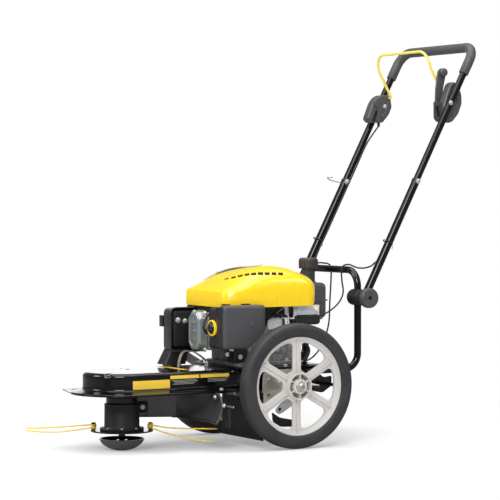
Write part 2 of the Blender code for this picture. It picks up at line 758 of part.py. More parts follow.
def rim(side, hub):
    """A moulded rim: an outer band, a thin web with windows between the spokes, and a bored hub."""
    band = RIM_RADIUS - GAP
    inside = band - RIM_BAND
    web, hub_end, band_end = WEB_THICKNESS / 2, HUB_WIDTH / 2, RIM_WIDTH / 2
    bore = AXLE_RADIUS + GAP
    profile = [(bore, hub_end), (HUB_BOSS_RADIUS, hub_end), (HUB_BOSS_RADIUS, web), (inside, web),
               (inside + RIM_BAND_SLOPE, band_end), (band, band_end), (band, -band_end),
               (inside + RIM_BAND_SLOPE, -band_end), (inside, -web), (HUB_RADIUS, -web),
               (HUB_RADIUS, -hub_end), (bore, -hub_end)]
    wheel = wheel_ring("rim_left" if side > 0 else "rim_right", profile, side, PALE_PLASTIC, hub)
    windows = bmesh.new()
    for i in range(SPOKES):
        outline = window_outline(math.pi / 2 + math.pi * (2 * i + 1) / SPOKES)
        merge(windows, prism(outline, "X", side * WHEEL_X - web - OVERCUT, side * WHEEL_X + web + OVERCUT))
    combine(wheel, "DIFFERENCE", windows)


def window_outline(middle):
    """One window between two spokes: sides along the spokes, a round outer side and cut corners."""
    outer = RIM_RADIUS - RIM_BAND - WINDOW_ROUND
    inner = HUB_RADIUS + WINDOW_ROUND * 2
    half_turn = math.pi / SPOKES

    def spread(radius):
        return half_turn - math.asin(SPOKE_WIDTH / 2 / radius)

    across = spread(outer) * 0.86
    side = [(outer - WINDOW_ROUND * 2, spread(outer - WINDOW_ROUND * 2)), (inner, spread(inner) * 0.8)]
    points = [polar(outer, middle + across * (i / 1.5 - 1)) for i in range(4)]
    points += [polar(radius, middle + turn) for radius, turn in side]
    points += [polar(radius, middle - turn) for radius, turn in reversed(side)]
    return points


def polar(radius, angle):
    return (AXLE_Y + radius * math.cos(angle), WHEEL_RADIUS + radius * math.sin(angle))


def spindle_housing():
    bore = SPINDLE_RADIUS + BEARING_CLEARANCE
    top = PLATE_BOTTOM - GAP
    low = top - BEARING_COLLAR_DEPTH
    nose = PLATE_BOTTOM + BEARING_NOSE_HEIGHT
    profile = [(bore, low), (BEARING_COLLAR_RADIUS, low), (BEARING_COLLAR_RADIUS, top),
               (BEARING_NOSE_RADIUS, top), (BEARING_NOSE_RADIUS, nose), (bore, nose)]
    piece("spindle_housing", turned(profile, (0, 0), steps=24, wrap=True), BLACK_PAINT)


def pulley_bottom():
    return deck_top() + PULLEY_LIFT


def spindle_shaft(spindle):
    step = CUP_HEIGHT - ROOT
    profile = [(SPINDLE_PIN_RADIUS, SPINDLE_PIN_BOTTOM), (SPINDLE_PIN_RADIUS, step), (SPINDLE_RADIUS, step),
               (SPINDLE_RADIUS, pulley_bottom() + PULLEY_WIDTH + SPINDLE_OVER_PULLEY)]
    piece("spindle_shaft", turned(profile, (0, 0), steps=16), STEEL, spindle.location, spindle)


def head_drum(spindle):
    """The drum that keeps grass off the spindle, with its bolting ring."""
    bore = SPINDLE_RADIUS + GAP
    low = DISC_BOTTOM + DISC_THICKNESS + GAP
    profile = [(bore, low), (HEAD_RING_RADIUS, low), (HEAD_RING_RADIUS, low + HEAD_RING_THICKNESS),
               (HEAD_RADIUS_LOW, HEAD_RING_TOP), (HEAD_RADIUS_HIGH, HEAD_TOP), (bore, HEAD_TOP)]
    piece("head_drum", turned(profile, (0, 0), steps=24, wrap=True), GREY_PLASTIC,
          spindle.location, spindle)


def line_disc(spindle):
    """The steel disc with the two posts that the cutting lines are folded round."""
    bore = SPINDLE_RADIUS + GAP
    top = DISC_BOTTOM + DISC_THICKNESS
    profile = [(bore, DISC_BOTTOM), (DISC_RADIUS - DISC_EDGE, DISC_BOTTOM), (DISC_RADIUS, top - DISC_EDGE),
               (DISC_RADIUS - DISC_EDGE, top), (bore, top)]
    disc = piece("line_disc", turned(profile, (0, 0), steps=24, wrap=True), BLACK_PAINT,
                 spindle.location, spindle)
    posts = bmesh.new()
    for angle in (LINE_BEARING, LINE_BEARING + math.pi):
        centre = (POST_ORBIT * math.cos(angle), POST_ORBIT * math.sin(angle))
        post = [(POST_RADIUS, top - ROOT), (POST_RADIUS, top + POST_HEIGHT)]
        merge(posts, turned(post, centre, steps=10))
    combine(disc, "UNION", posts)


# Each strand starts behind its post. Its points are the distance out along the line's bearing,
# the distance to the side, and the height.
STRAND_ROUTES = {
    "left_upper": ((0.0730, -0.0010, 0.0705), (0.0765, -0.0062, 0.0705), (0.0800, -0.0072, 0.0703),
                   (0.0900, -0.0045, 0.0695), (0.1300, -0.0060, 0.0665), (0.1800, -0.0085, 0.0625),
                   (0.2300, -0.0115, 0.0600), (0.2715, -0.0130, 0.0590)),
    "left_lower": ((0.0730, 0.0010, 0.0655), (0.0765, 0.0062, 0.0652), (0.0800, 0.0072, 0.0645),
                   (0.0900, 0.0062, 0.0620), (0.1300, 0.0070, 0.0560), (0.1800, 0.0110, 0.0510),
                   (0.2300, 0.0150, 0.0520), (0.2700, 0.0170, 0.0560)),
    "right_upper": ((0.0730, 0.0010, 0.0705), (0.0765, 0.0062, 0.0705), (0.0800, 0.0072, 0.0702),
                    (0.0900, 0.0045, 0.0680), (0.1250, 0.0060, 0.0620), (0.1700, 0.0080, 0.0590),
                    (0.2250, 0.0110, 0.0580), (0.2680, 0.0130, 0.0575)),
    "right_lower": ((0.0730, -0.0010, 0.0655), (0.0765, -0.0062, 0.0652), (0.0800, -0.0072, 0.0640),
                    (0.0920, -0.0062, 0.0590), (0.1280, -0.0080, 0.0470), (0.1740, -0.0110, 0.0360),
                    (0.2190, -0.0150, 0.0275), (0.2600, -0.0180, 0.0245)),
}


def cutting_lines(spindle):
    """Two lines folded round the posts. Each fold is parted behind its post into two strands."""
    for name, route in STRAND_ROUTES.items():
        bearing = LINE_BEARING + (math.pi if name.startswith("left") else 0.0)
        along = Vector((math.cos(bearing), math.sin(bearing), 0))
        aside = Vector((-along.y, along.x, 0))
        points = [along * out + aside * side + Vector((0, 0, height)) for out, side, height in route]
        cord(f"cutting_line_{name}", points, LINE_RADIUS, YELLOW, LINE_SPACING, spindle)


def skid_cup(centre):
    """The free-turning bowl that the head slides on. Its boss holds the spindle's pin."""
    bore = SPINDLE_PIN_RADIUS + GAP
    boss_top = CUP_HEIGHT - CUP_BOSS_DROP
    outer = [(CUP_FOOT_RADIUS, 0.0)] + [(CUP_RADIUS * r, CUP_HEIGHT * z) for r, z in CUP_BOWL]
    inner = [(CUP_RADIUS * r - CUP_WALL, CUP_HEIGHT * z + CUP_WALL * 0.8) for r, z in reversed(CUP_BOWL)]
    profile = outer + [(CUP_RADIUS, CUP_HEIGHT), (CUP_RADIUS - CUP_WALL, CUP_HEIGHT)] + inner
    profile += [(CUP_BOSS_RADIUS, CUP_FLOOR), (CUP_BOSS_RADIUS, boss_top), (bore, boss_top),
                (bore, SPINDLE_PIN_BOTTOM - GAP * 2)]
    piece("skid_cup", turned(profile, (0, 0), steps=20), BLACK_PAINT, centre.location, centre)


def pulley(name, radius, bore, centre, parent):
    low = pulley_bottom()
    high = low + PULLEY_WIDTH
    middle = (low + high) / 2
    root = radius - GROOVE_DEPTH
    half = GROOVE_WIDTH / 2
    lip = half + GROOVE_FLARE
    profile = [(bore, low), (radius, low), (radius, middle - lip), (root, middle - half),
               (root, middle + half), (radius, middle + lip), (radius, high), (bore, high)]
    piece(name, turned(profile, centre, steps=20, wrap=True), STEEL, parent.location, parent)


def belt_radius(pulley_radius):
    """Radius of the belt's inner side where it lies in a pulley's groove."""
    return pulley_radius - GROOVE_DEPTH + BELT_CLEARANCE


def belt_lean():
    """The angle between each straight run of the belt and the middle line."""
    return math.asin((belt_radius(HEAD_PULLEY_RADIUS) - belt_radius(ENGINE_PULLEY_RADIUS)) / CRANK_Y)


def drive_belt():
    """A belt lying in both grooves, drawn as the taut loop round the two pulleys."""
    lean = belt_lean()
    middle = pulley_bottom() + PULLEY_WIDTH / 2
    section = ((0.0, -0.5), (1.0, -0.5), (1.0, 0.5), (0.0, 0.5))
    steps = 11
    rings = []
    for centre_y, pulley_radius, start, end in (
            (0.0, HEAD_PULLEY_RADIUS, math.pi - lean, math.tau + lean),
            (CRANK_Y, ENGINE_PULLEY_RADIUS, lean, math.pi - lean)):
        for i in range(steps + 1):
            angle = start + (end - start) * i / steps
            ring = []
            for deep, height in section:
                radius = belt_radius(pulley_radius) + deep * BELT_DEPTH
                ring.append((radius * math.cos(angle), centre_y + radius * math.sin(angle),
                             middle + height * BELT_WIDTH))
            rings.append(ring)
    piece("drive_belt", loft(rings, wrap=True), RUBBER)


def idler_centre():
    """The idler's place beside the belt's far run, clear of it by its travel."""
    lean = belt_lean()
    face = belt_radius(HEAD_PULLEY_RADIUS) + BELT_DEPTH - IDLER_Y * math.sin(lean)
    return Vector((-face / math.cos(lean) - IDLER_RADIUS - IDLER_TRAVEL, IDLER_Y))


def idler_pivot():
    return idler_centre() + Vector(IDLER_ARM_OFFSET)


def idler(pivot_empty):
    """The tension arm beside the belt and the flat pulley that it presses in."""
    low = pulley_bottom()
    arm_low = low + PULLEY_WIDTH + IDLER_ARM_LIFT
    start, end = idler_pivot(), idler_centre()
    along = (end - start).normalized() * IDLER_ARM_HALF_WIDTH
    aside = Vector((-along.y, along.x))
    outline = [start - along + aside, start - along - aside, end + along - aside, end + along + aside]
    plate = prism([tuple(p) for p in outline], "Z", arm_low, arm_low + IDLER_ARM_THICKNESS)
    arm = piece("idler_arm", plate, ZINC, pivot_empty.location, pivot_empty)
    pins = turned([(IDLER_PIN_RADIUS, low + ROOT), (IDLER_PIN_RADIUS, arm_low + ROOT)], end, steps=10)
    merge(pins, turned([(IDLER_PIVOT_RADIUS, deck_top() + GAP), (IDLER_PIVOT_RADIUS, arm_low + ROOT)],
                       start, steps=10))
    combine(arm, "UNION", pins)
    bore = IDLER_PIN_RADIUS + GAP
    face = low + (PULLEY_WIDTH - IDLER_WIDTH) / 2
    profile = [(bore, face), (IDLER_RADIUS, face), (IDLER_RADIUS, face + IDLER_WIDTH),
               (bore, face + IDLER_WIDTH)]
    piece("idler_pulley", turned(profile, end, steps=20, wrap=True), STEEL,
          pivot_empty.location, pivot_empty)


def flywheel_bottom():
    return CYLINDER_Z + CYLINDER_HALF_HEIGHT + FLYWHEEL_CLEARANCE


def crankshaft(crank):
    top = flywheel_bottom() + FLYWHEEL_THICKNESS
    profile = [(CRANK_RADIUS, pulley_bottom() - CRANK_FOOT), (CRANK_RADIUS, top), (CRANK_TIP_RADIUS, top),
               (CRANK_TIP_RADIUS, top + CRANK_TIP_LENGTH)]
    piece("crankshaft", turned(profile, (0, CRANK_Y), steps=16), STEEL, crank.location, crank)


def flywheel(crank):
    bore = CRANK_RADIUS + GAP
    low = flywheel_bottom()
    high = low + FLYWHEEL_THICKNESS
    rim_width, rim_drop = FLYWHEEL_RIM
    dish_width, dish_drop = FLYWHEEL_DISH
    profile = [(bore, low), (FLYWHEEL_RADIUS, low), (FLYWHEEL_RADIUS, high - rim_drop),
               (FLYWHEEL_RADIUS - rim_width, high - rim_drop),
               (FLYWHEEL_RADIUS - dish_width, high - dish_drop),
               (FLYWHEEL_HUB_RADIUS, high - dish_drop), (FLYWHEEL_HUB_RADIUS, high), (bore, high)]
    piece("flywheel", turned(profile, (0, CRANK_Y), steps=24, wrap=True), ALUMINIUM, crank.location, crank)


def crankcase():
    low = engine_plate_bottom() + ENGINE_PLATE_THICKNESS + GAP
    half_x, half_y = CRANKCASE_HALF
    body = piece("crankcase", rounded_box((-half_x, half_x), (CRANK_Y - half_y, CRANK_Y + half_y),
                                          (low, CRANKCASE_TOP), CRANKCASE_CORNER, CRANKCASE_EDGE, 3),
                 ALUMINIUM)
    flange = rounded_outline((0, CRANK_Y), (half_x + FLANGE_REACH[0], half_y + FLANGE_REACH[1]),
                             FLANGE_CORNER, 3)
    combine(body, "UNION", prism(flange, "Z", low, low + FLANGE_THICKNESS))
    bore = CRANK_RADIUS + GAP
    combine(body, "DIFFERENCE", turned([(bore, low - OVERCUT), (bore, CRANKCASE_TOP + OVERCUT)],
                                       (0, CRANK_Y), steps=16))


def cylinder():
    """Finned barrel and head in front of the crankcase, as one casting."""
    rear = CRANK_Y - CRANKCASE_HALF[1] - GAP
    half = CYLINDER_HALF_HEIGHT
    first = CYLINDER_FRONT + CYLINDER_HEAD
    pitch = (rear - first) / FINS
    upper = [(CYLINDER_FRONT, half)]
    for i in range(FINS):
        groove = first + pitch * i
        fin = groove + pitch * FIN_GAP_SHARE
        upper += [(groove, half), (groove, half - FIN_DEPTH), (fin, half - FIN_DEPTH), (fin, half)]
    upper.append((rear, half))
    outline = [(y, CYLINDER_Z + z) for y, z in upper]
    outline += [(y, CYLINDER_Z - z) for y, z in reversed(upper)]
    piece("cylinder", prism(outline, "X", -CYLINDER_HALF_WIDTH, CYLINDER_HALF_WIDTH), ALUMINIUM)


def valve_cover():
    """A pressed octagonal cover on the head, facing forward."""
    rear = CYLINDER_FRONT - GAP
    front = rear - VALVE_COVER_DEPTH
    reach, thick = VALVE_COVER_FLANGE
    cut = VALVE_COVER_CUT
    rings = []
    for y, inset in ((rear, -reach), (rear - thick, -reach), (rear - thick, 0.0),
                     (front + VALVE_COVER_EDGE, 0.0), (front, VALVE_COVER_EDGE)):
        a = VALVE_COVER_HALF[0] - inset
        b = VALVE_COVER_HALF[1] - inset
        outline = [(a, b - cut), (a - cut, b), (-a + cut, b), (-a, b - cut),
                   (-a, -b + cut), (-a + cut, -b), (a - cut, -b), (a, -b + cut)]
        rings.append([(u, y, CYLINDER_Z + v) for u, v in outline])
    piece("valve_cover", loft(rings), ZINC)


def spark_plug():
    """The plug's boot, out of the head's near side and forward."""
    start = Vector((CYLINDER_HALF_WIDTH + GAP, CYLINDER_FRONT + BOOT_RADIUS * 0.7, CYLINDER_Z))
    elbow = start + Vector((BOOT_RADIUS, 0, 0))
    end = start + Vector(BOOT_REACH)
    piece("spark_plug_boot", rod(bent_path([start, elbow, end], (BOOT_RADIUS,), 2), BOOT_RADIUS, 10),
          BLACK_PLASTIC)


def muffler_x():
    """The muffler's far and near faces, which keep their distance to the cylinder."""
    near = -CYLINDER_HALF_WIDTH - MUFFLER_OFF_CYLINDER
    return (near - MUFFLER_DEPTH, near)



def muffler():
    body = rounded_box(muffler_x(), MUFFLER_Y, MUFFLER_Z, MUFFLER_CORNER, MUFFLER_EDGE, 2)
    silencer = piece("muffler", body, BLACK_PAINT)
    combine(silencer, "UNION", turned([(EXHAUST_RADIUS, -CYLINDER_HALF_WIDTH - GAP),
                                       (EXHAUST_RADIUS, muffler_x()[1] - ROOT * 2)], EXHAUST_PORT, "X", 12))


def muffler_guard():
    """The heat shield round the muffler's front and far side, with the duct that turns exhaust down."""
    wall = SHIELD_WALL
    round_off = SHIELD_ROUND
    far, near = muffler_x()
    x0 = far - SHIELD_GAP - wall
    x1 = near + SHIELD_GAP + wall
    y0 = MUFFLER_Y[0] - SHIELD_GAP - wall
    y1 = MUFFLER_Y[1]
    outline = [(x1, y0), (x1, y0 + wall), (x0 + wall + round_off, y0 + wall),
               (x0 + wall, y0 + wall + round_off), (x0 + wall, y1), (x0, y1), (x0, y0 + round_off),
               (x0 + round_off, y0)]
    low = MUFFLER_Z[0] - SHIELD_OVER
    guard = piece("muffler_guard", prism(outline, "Z", low, MUFFLER_Z[1] + SHIELD_OVER), GREY_PLASTIC)
    top = ((x0, x1 - DUCT_INSET), (y0, DUCT_TOP_Y), low + SHIELD_OVER - SHIELD_GAP)
    foot = ((x0 - DUCT_INSET, x1 - DUCT_INSET), DUCT_FOOT_Y, engine_plate_bottom() + DUCT_FOOT_LIFT)
    rings = []
    for (x, y, z), inset in ((top, 0.0), (foot, 0.0), (foot, wall), (top, wall)):
        rings.append([(x[0] + inset, y[0] + inset, z), (x[1] - inset, y[0] + inset, z),
                      (x[1] - inset, y[1] - inset, z), (x[0] + inset, y[1] - inset, z)])
    combine(guard, "UNION", loft(rings, wrap=True))


def blower_crown(y):
    """Height of the blower cover's crown along its middle line."""
    if y < BLOWER_PEAK_Y:
        front = BLOWER_Y - BLOWER_HALF[1]
        t = (y - front) / (BLOWER_PEAK_Y - front)
        return BLOWER_FRONT_TOP + (BLOWER_PEAK_TOP - BLOWER_FRONT_TOP) * math.sin(t * math.pi / 2)
    rear = BLOWER_Y + BLOWER_HALF[1]
    t = (y - BLOWER_PEAK_Y) / (rear - BLOWER_PEAK_Y)
    return BLOWER_PEAK_TOP + (BLOWER_REAR_TOP - BLOWER_PEAK_TOP) * t * t


def with_side_points(outline):
    """A rounded outline with more points along its two sides, so that the crown can curve there."""
    quarter = CORNER_STEPS + 1
    filled = []
    for i, point in enumerate(outline):
        filled.append(point)
        if i in (quarter * 2 - 1, quarter * 4 - 1):
            after = outline[(i + 1) % len(outline)]
            for k in range(1, BLOWER_SIDE_STEPS):
                filled.append((point[0], point[1] + (after[1] - point[1]) * k / BLOWER_SIDE_STEPS))
    return filled


def blower_rings(wall):
    """The cover's lower edge, its crease and the crown's rings, moved in by the wall."""
    rings = []
    for share, rise in ((1.0, None), *CROWN_RINGS):
        half = [(side - wall) * share for side in BLOWER_HALF]
        ring = []
        corner = (BLOWER_CORNER - wall) * share
        for x, y in with_side_points(rounded_outline((0, BLOWER_Y), half, corner, CORNER_STEPS)):
            t = (y - BLOWER_Y + BLOWER_HALF[1]) / (2 * BLOWER_HALF[1])
            z = BLOWER_CREASE[0] + (BLOWER_CREASE[1] - BLOWER_CREASE[0]) * t
            if rise is None:
                z = BLOWER_BOTTOM
            else:
                z += max(blower_crown(y) - z, 0.0) * rise - wall * min(1, rise * 3)
            ring.append((x, y, z))
        rings.append(ring)
    return rings


def blower_cover():
    """The yellow engine cover: a shell open below, with a row of cooling slots along its near shoulder."""
    rings = blower_rings(BLOWER_WALL)[::-1] + blower_rings(0.0)
    cover = piece("blower_cover", loft(rings, end=bridged_end), YELLOW)
    slots = bmesh.new()
    half_x, half_y = VENT_HALF
    for i in range(VENTS):
        t = i / (VENTS - 1)
        x = VENT_START[0] + (VENT_END[0] - VENT_START[0]) * math.sin(t * math.pi / 2)
        y = VENT_START[1] + (VENT_END[1] - VENT_START[1]) * t ** VENT_TURN
        merge(slots, block((x - half_x, y - half_y, VENT_BOTTOM),
                           (x + half_x, y + half_y, BLOWER_PEAK_TOP + OVERCUT)))
    combine(cover, "DIFFERENCE", slots)


def filter_outline(inset, top=BLOWER_BOTTOM - GAP):
    """The filter housing's side view, moved in by inset, with its slanted lower rear corner."""
    y0, y1 = FILTER_Y[0] + inset, FILTER_Y[1] - inset
    z0, z1 = FILTER_BOTTOM + inset, top - inset
    rise, run = FILTER_SLANT
    return [(y0, z0), (y1 - rise + inset * 0.55, z0), (y1, z0 + run - inset * 0.4), (y1, z1), (y0, z1)]


def filter_back():
    """The filter housing's far face, which the carburettor holds off the cylinder."""
    return CYLINDER_HALF_WIDTH + CARBURETTOR_LENGTH


def filter_front():
    return filter_back() + FILTER_WIDTH


def filter_split():
    """Where the filter housing's near cover meets its back box."""
    return filter_front() - FILTER_COVER_DEPTH


def primer_centre():
    return (filter_back() + PRIMER_AT[0], PRIMER_AT[1])


def filter_box():
    """The black back box, with the round hole that the primer's bulb is pushed into."""
    low, high = filter_back(), filter_split() - GAP
    box = piece("filter_box", prism(filter_outline(0.0), "X", low, high), BLACK_PLASTIC)
    combine(box, "DIFFERENCE", prism(filter_outline(FILTER_WALL), "X", low + FILTER_WALL, high + OVERCUT))
    hole = PRIMER_RADIUS + GAP * 2
    y = FILTER_Y[0]
    combine(box, "DIFFERENCE", turned([(hole, y - FILTER_WALL), (hole, y + FILTER_WALL + ROOT)],
                                      primer_centre(), "Y", 20))


def filter_cover():
    """The grey near cover, which stands a little up the engine cover's side."""
    top = FILTER_COVER_TOP
    low, high = filter_split(), filter_front()
    edge = FILTER_COVER_EDGE
    rings = []
    for x, inset in ((low, 0.0), (high - edge, 0.0), (high - edge * 0.25, edge * 0.4), (high, edge)):
        rings.append([(x, y, z) for y, z in filter_outline(inset, top)])
    cover = piece("filter_cover", loft(rings), GREY_PLASTIC)
    wall = FILTER_COVER_WALL
    combine(cover, "DIFFERENCE", prism(filter_outline(wall, top), "X", low - OVERCUT, high - wall))


def filter_element():
    piece("filter_element", prism(filter_outline(ELEMENT_INSET), "X", filter_back() + FILTER_WALL + GAP,
                                  filter_front() - ELEMENT_END), FOAM)


def primer_ring():
    face = FILTER_Y[0] - GAP
    bore = PRIMER_RADIUS + GAP * 2
    front = face - PRIMER_RING_DEPTH
    profile = [(bore, face), (PRIMER_RING_RADIUS, face), (PRIMER_RING_RADIUS, front), (bore, front)]
    piece("primer_ring", turned(profile, primer_centre(), "Y", 20, wrap=True), YELLOW)


def primer_bulb(parent):
    """The rubber dome inside the ring, which the thumb pushes in."""
    rise = PRIMER_RISE - PRIMER_FLANGE
    profile = [(PRIMER_RADIUS, FILTER_Y[0] + ROOT)]
    profile += [(PRIMER_RADIUS * r, FILTER_Y[0] - PRIMER_FLANGE - rise * h) for r, h in PRIMER_DOME]
    piece("primer_bulb", turned(profile, primer_centre(), "Y", 20), RUBBER, parent.location, parent)


def carburettor():
    low = (CYLINDER_HALF_WIDTH + GAP, CARBURETTOR_Y[0], CARBURETTOR_Z[0])
    high = (filter_back() - GAP, CARBURETTOR_Y[1], CARBURETTOR_Z[1])
    body = piece("carburettor", block(low, high), ALUMINIUM)
    centre = ((low[0] + high[0]) / 2, (low[1] + high[1]) / 2)
    combine(body, "UNION", turned([(BOWL_RADIUS, low[2] - BOWL_DEPTH), (BOWL_RADIUS, low[2] + ROOT)],
                                  centre, steps=12))


def control_bracket():
    """The zinc governor and cable plate on the crankcase, with a turned-up tab on its near edge."""
    low = CRANKCASE_TOP + GAP
    high = low + BRACKET_THICKNESS
    x0, x1 = BRACKET_X
    y0, y1 = BRACKET_Y
    cut = BRACKET_CUT
    outline = [(x0, y0), (x1, y0), (x1, y1 - cut), (x1 - cut, y1), (x0 + cut / 2, y1), (x0, y1 - cut / 2)]
    bracket = piece("control_bracket", prism(outline, "Z", low, high), ZINC)
    combine(bracket, "UNION", block((x1 - BRACKET_THICKNESS, y0 + cut / 2, low + ROOT),
                                    (x1, y1 - cut - BRACKET_THICKNESS, low + BRACKET_TAB)))


def tank_bracket():
    """The angle behind the crankcase that the fuel tank stands on."""
    thick = BRACKET_THICKNESS
    high = TANK_Z[0] - GAP
    face = CRANK_Y + CRANKCASE_HALF[1] + GAP
    x0, x1 = TANK_X[0] + TANK_BRACKET_INSET, TANK_X[1] - TANK_BRACKET_INSET
    shelf = block((x0, face, high - thick), (x1, TANK_Y[1] - OVERCUT, high))
    bracket = piece("tank_bracket", shelf, BLACK_PAINT)
    combine(bracket, "UNION", block((x0, face, high - TANK_BRACKET_DROP), (x1, face + thick, high - ROOT)))


def fuel_tank():
    tank = piece("fuel_tank", rounded_box(TANK_X, TANK_Y, TANK_Z, TANK_CORNER, TANK_EDGE, 3), GREY_PLASTIC)
    neck = [(NECK_RADIUS + NECK_FOOT, TANK_Z[1] - OVERCUT), (NECK_RADIUS, CAP_Z[0] - GAP)]
    combine(tank, "UNION", turned(neck, CAP_CENTRE, steps=16))


def fuel_cap(parent):
    low, high = CAP_Z
    profile = [(CAP_RADIUS, low), (CAP_RADIUS, high - CAP_EDGE),
               (CAP_RADIUS - CAP_EDGE / 2, high - CAP_EDGE / 4), (CAP_RADIUS - CAP_DISH, high)]
    piece("fuel_cap", turned(profile, CAP_CENTRE, steps=20), BLACK_PLASTIC, parent.location, parent)


def starter_grip(parent):
    """The pull handle, parked against the far side of the engine cover."""
    x, y, z = GRIP_CENTRE
    half_x, half_y, half_z = GRIP_HALF
    body = rounded_box((x - half_x, x + half_x), (y - half_y, y + half_y), (z - half_z, z + half_z),
                       GRIP_CORNER, GRIP_EDGE, 2)
    grip = piece("starter_grip", body, BLACK_PLASTIC, parent.location, parent)
    combine(grip, "UNION", turned([(GRIP_STEM_RADIUS, x), (GRIP_STEM_RADIUS, -BLOWER_HALF[0] - GAP)],
                                  (y, z), "X", 10))


def along_handle(distance, x=HANDLE_HALF_WIDTH, ahead=0.0):
    """The point at a distance up a handle leg from its hinge, and so far in front of the leg."""
    y = HINGE_Y + distance * math.sin(HANDLE_LEAN) - ahead * math.cos(HANDLE_LEAN)
    z = HINGE_Z + distance * math.cos(HANDLE_LEAN) + ahead * math.sin(HANDLE_LEAN)
    return Vector((x, y, z))


def lower_handle(side, hinge):
    """A lower tube with its hinge block and the socket that the upper handle slides into."""
    x = side * HANDLE_HALF_WIDTH
    ends = (along_handle(LOWER_TUBE_START, x), along_handle(LOWER_TUBE_LENGTH, x))
    tube = piece("lower_handle_left" if side > 0 else "lower_handle_right",
                 rod(ends, HANDLE_TUBE_RADIUS + SOCKET_WALL, 12), BLACK_PAINT, hinge.location, hinge)
    faces = sorted((side * (hinge_face_x() + GAP), side * (HANDLE_HALF_WIDTH + HINGE_BLOCK_OUTSIDE)))
    combine(tube, "UNION", turned([(HINGE_BLOCK_RADIUS, faces[0]), (HINGE_BLOCK_RADIUS, faces[1])],
                                  (HINGE_Y, HINGE_Z), "X", 16))
    holes = cross_bolt_hole(*faces)
    mouth = LOWER_TUBE_LENGTH + OVERCUT
    socket = (along_handle(LOWER_TUBE_LENGTH - SOCKET_DEPTH, x), along_handle(mouth, x))
    merge(holes, rod(socket, HANDLE_TUBE_RADIUS + GAP * 2, 12))
    combine(tube, "DIFFERENCE", holes)


def upper_handle_path(start):
    top = along_handle(HANDLE_LENGTH)
    corners = [along_handle(start), top, (-top.x, top.y, top.z), along_handle(start, -HANDLE_HALF_WIDTH)]
    return bent_path(corners, (HANDLE_BEND, HANDLE_BEND))


def upper_handle(hinge):
    start = LOWER_TUBE_LENGTH - SOCKET_DEPTH + GAP * 2
    piece("upper_handle", rod(upper_handle_path(start), HANDLE_TUBE_RADIUS, 12), BLACK_PAINT,
          hinge.location, hinge)


def foam_grip(hinge):
    path = upper_handle_path(HANDLE_LENGTH - FOAM_LEG_LENGTH)
    piece("foam_grip", sleeve(path, FOAM_RADIUS, HANDLE_TUBE_RADIUS + GAP, 12), FOAM, hinge.location, hinge)


def handle_knob(side, knob):
    """A hand knob and its bolt, which goes through both hinge blocks."""
    start = HANDLE_HALF_WIDTH + HINGE_BLOCK_OUTSIDE + GAP
    end = start + KNOB_THICKNESS
    inner = HINGE_BLOCK_INNER_X - HINGE_BOLT_PAST
    edge = KNOB_EDGE
    profile = [(HINGE_BOLT_RADIUS, inner), (HINGE_BOLT_RADIUS, start), (KNOB_RADIUS - edge, start),
               (KNOB_RADIUS, start + edge), (KNOB_RADIUS, end - edge), (KNOB_RADIUS - edge, end),
               (KNOB_RECESS_RADIUS, end), (KNOB_RECESS_RADIUS, end - edge)]
    profile = [(radius, side * x) for radius, x in profile]
    piece("handle_knob_left" if side > 0 else "handle_knob_right",
          turned(profile, (HINGE_Y, HINGE_Z), "X", 16), BLACK_PLASTIC, knob.location, knob)


def control_point(offset):
    """A (y, z) point of the controls, which keep their place below the crossbar."""
    top = along_handle(HANDLE_LENGTH)
    return (top.y + offset[0], top.z + offset[1])


def control_points(offsets):
    return [control_point(offset) for offset in offsets]


def control_housing(name, outline, side, hinge):
    """A housing on the inner side of a leg, with a blind hole for the bail's end."""
    faces = sorted((side * CONTROL_INNER_X, side * (HANDLE_HALF_WIDTH - HANDLE_TUBE_RADIUS - GAP)))
    shape = prism(control_points(outline), "X", *faces)
    housing = piece(name, shape, GREY_PLASTIC, hinge.location, hinge)
    add_pivot_hole(housing, control_point(BAIL_PIVOT), BAIL_RADIUS, side)
    return housing


def add_pivot_hole(housing, at, radius, side):
    ends = sorted((side * (CONTROL_INNER_X - OVERCUT), side * (CONTROL_INNER_X + PIVOT_DEPTH)))
    combine(housing, "DIFFERENCE", turned([(radius + GAP, ends[0]), (radius + GAP, ends[1])], at, "X", 12))


def throttle_lever(parent):
    y, z = control_point(LEVER_PIVOT)
    knob_y, knob_z = control_point(LEVER_KNOB_AT)
    outline = [(y + dy, z + dz) for dy, dz in LEVER_FOOT]
    outline += [(knob_y + dy, knob_z + dz) for dy, dz in LEVER_HEAD]
    outline.append((y + LEVER_HEEL[0], z + LEVER_HEEL[1]))
    lever = piece("throttle_lever", prism(outline, "X", *LEVER_X), BLACK_PLASTIC, parent.location, parent)
    radius, edge = LEVER_KNOB_RADIUS, LEVER_KNOB_EDGE
    knob = [(radius, LEVER_X[0] + ROOT), (radius, LEVER_KNOB_END - edge), (radius - edge, LEVER_KNOB_END)]
    combine(lever, "UNION", turned(knob, (knob_y, knob_z), "X", 14))
    pin = [(LEVER_PIN_RADIUS, LEVER_X[0] + ROOT), (LEVER_PIN_RADIUS, CONTROL_INNER_X + PIVOT_PIN_LENGTH)]
    combine(lever, "UNION", turned(pin, (y, z), "X", 10))


def bail(parent):
    """The yellow dead-man bar: a bent rod whose ends turn out into the two housings."""
    at, knee, top = control_points((BAIL_PIVOT, BAIL_KNEE, BAIL_TOP))
    half = [(CONTROL_INNER_X + PIVOT_PIN_LENGTH, *at), (BAIL_ARM_X, *at), (BAIL_ARM_X, *knee),
            (BAIL_ARM_X, *top), (0, *top)]
    path = bent_path(half, BAIL_BENDS, 4)[:-1]
    mirrored = [Vector((-point.x, point.y, point.z)) for point in reversed(path)]
    piece("bail_bar", rod(path + mirrored, BAIL_RADIUS, 8), YELLOW, parent.location, parent)


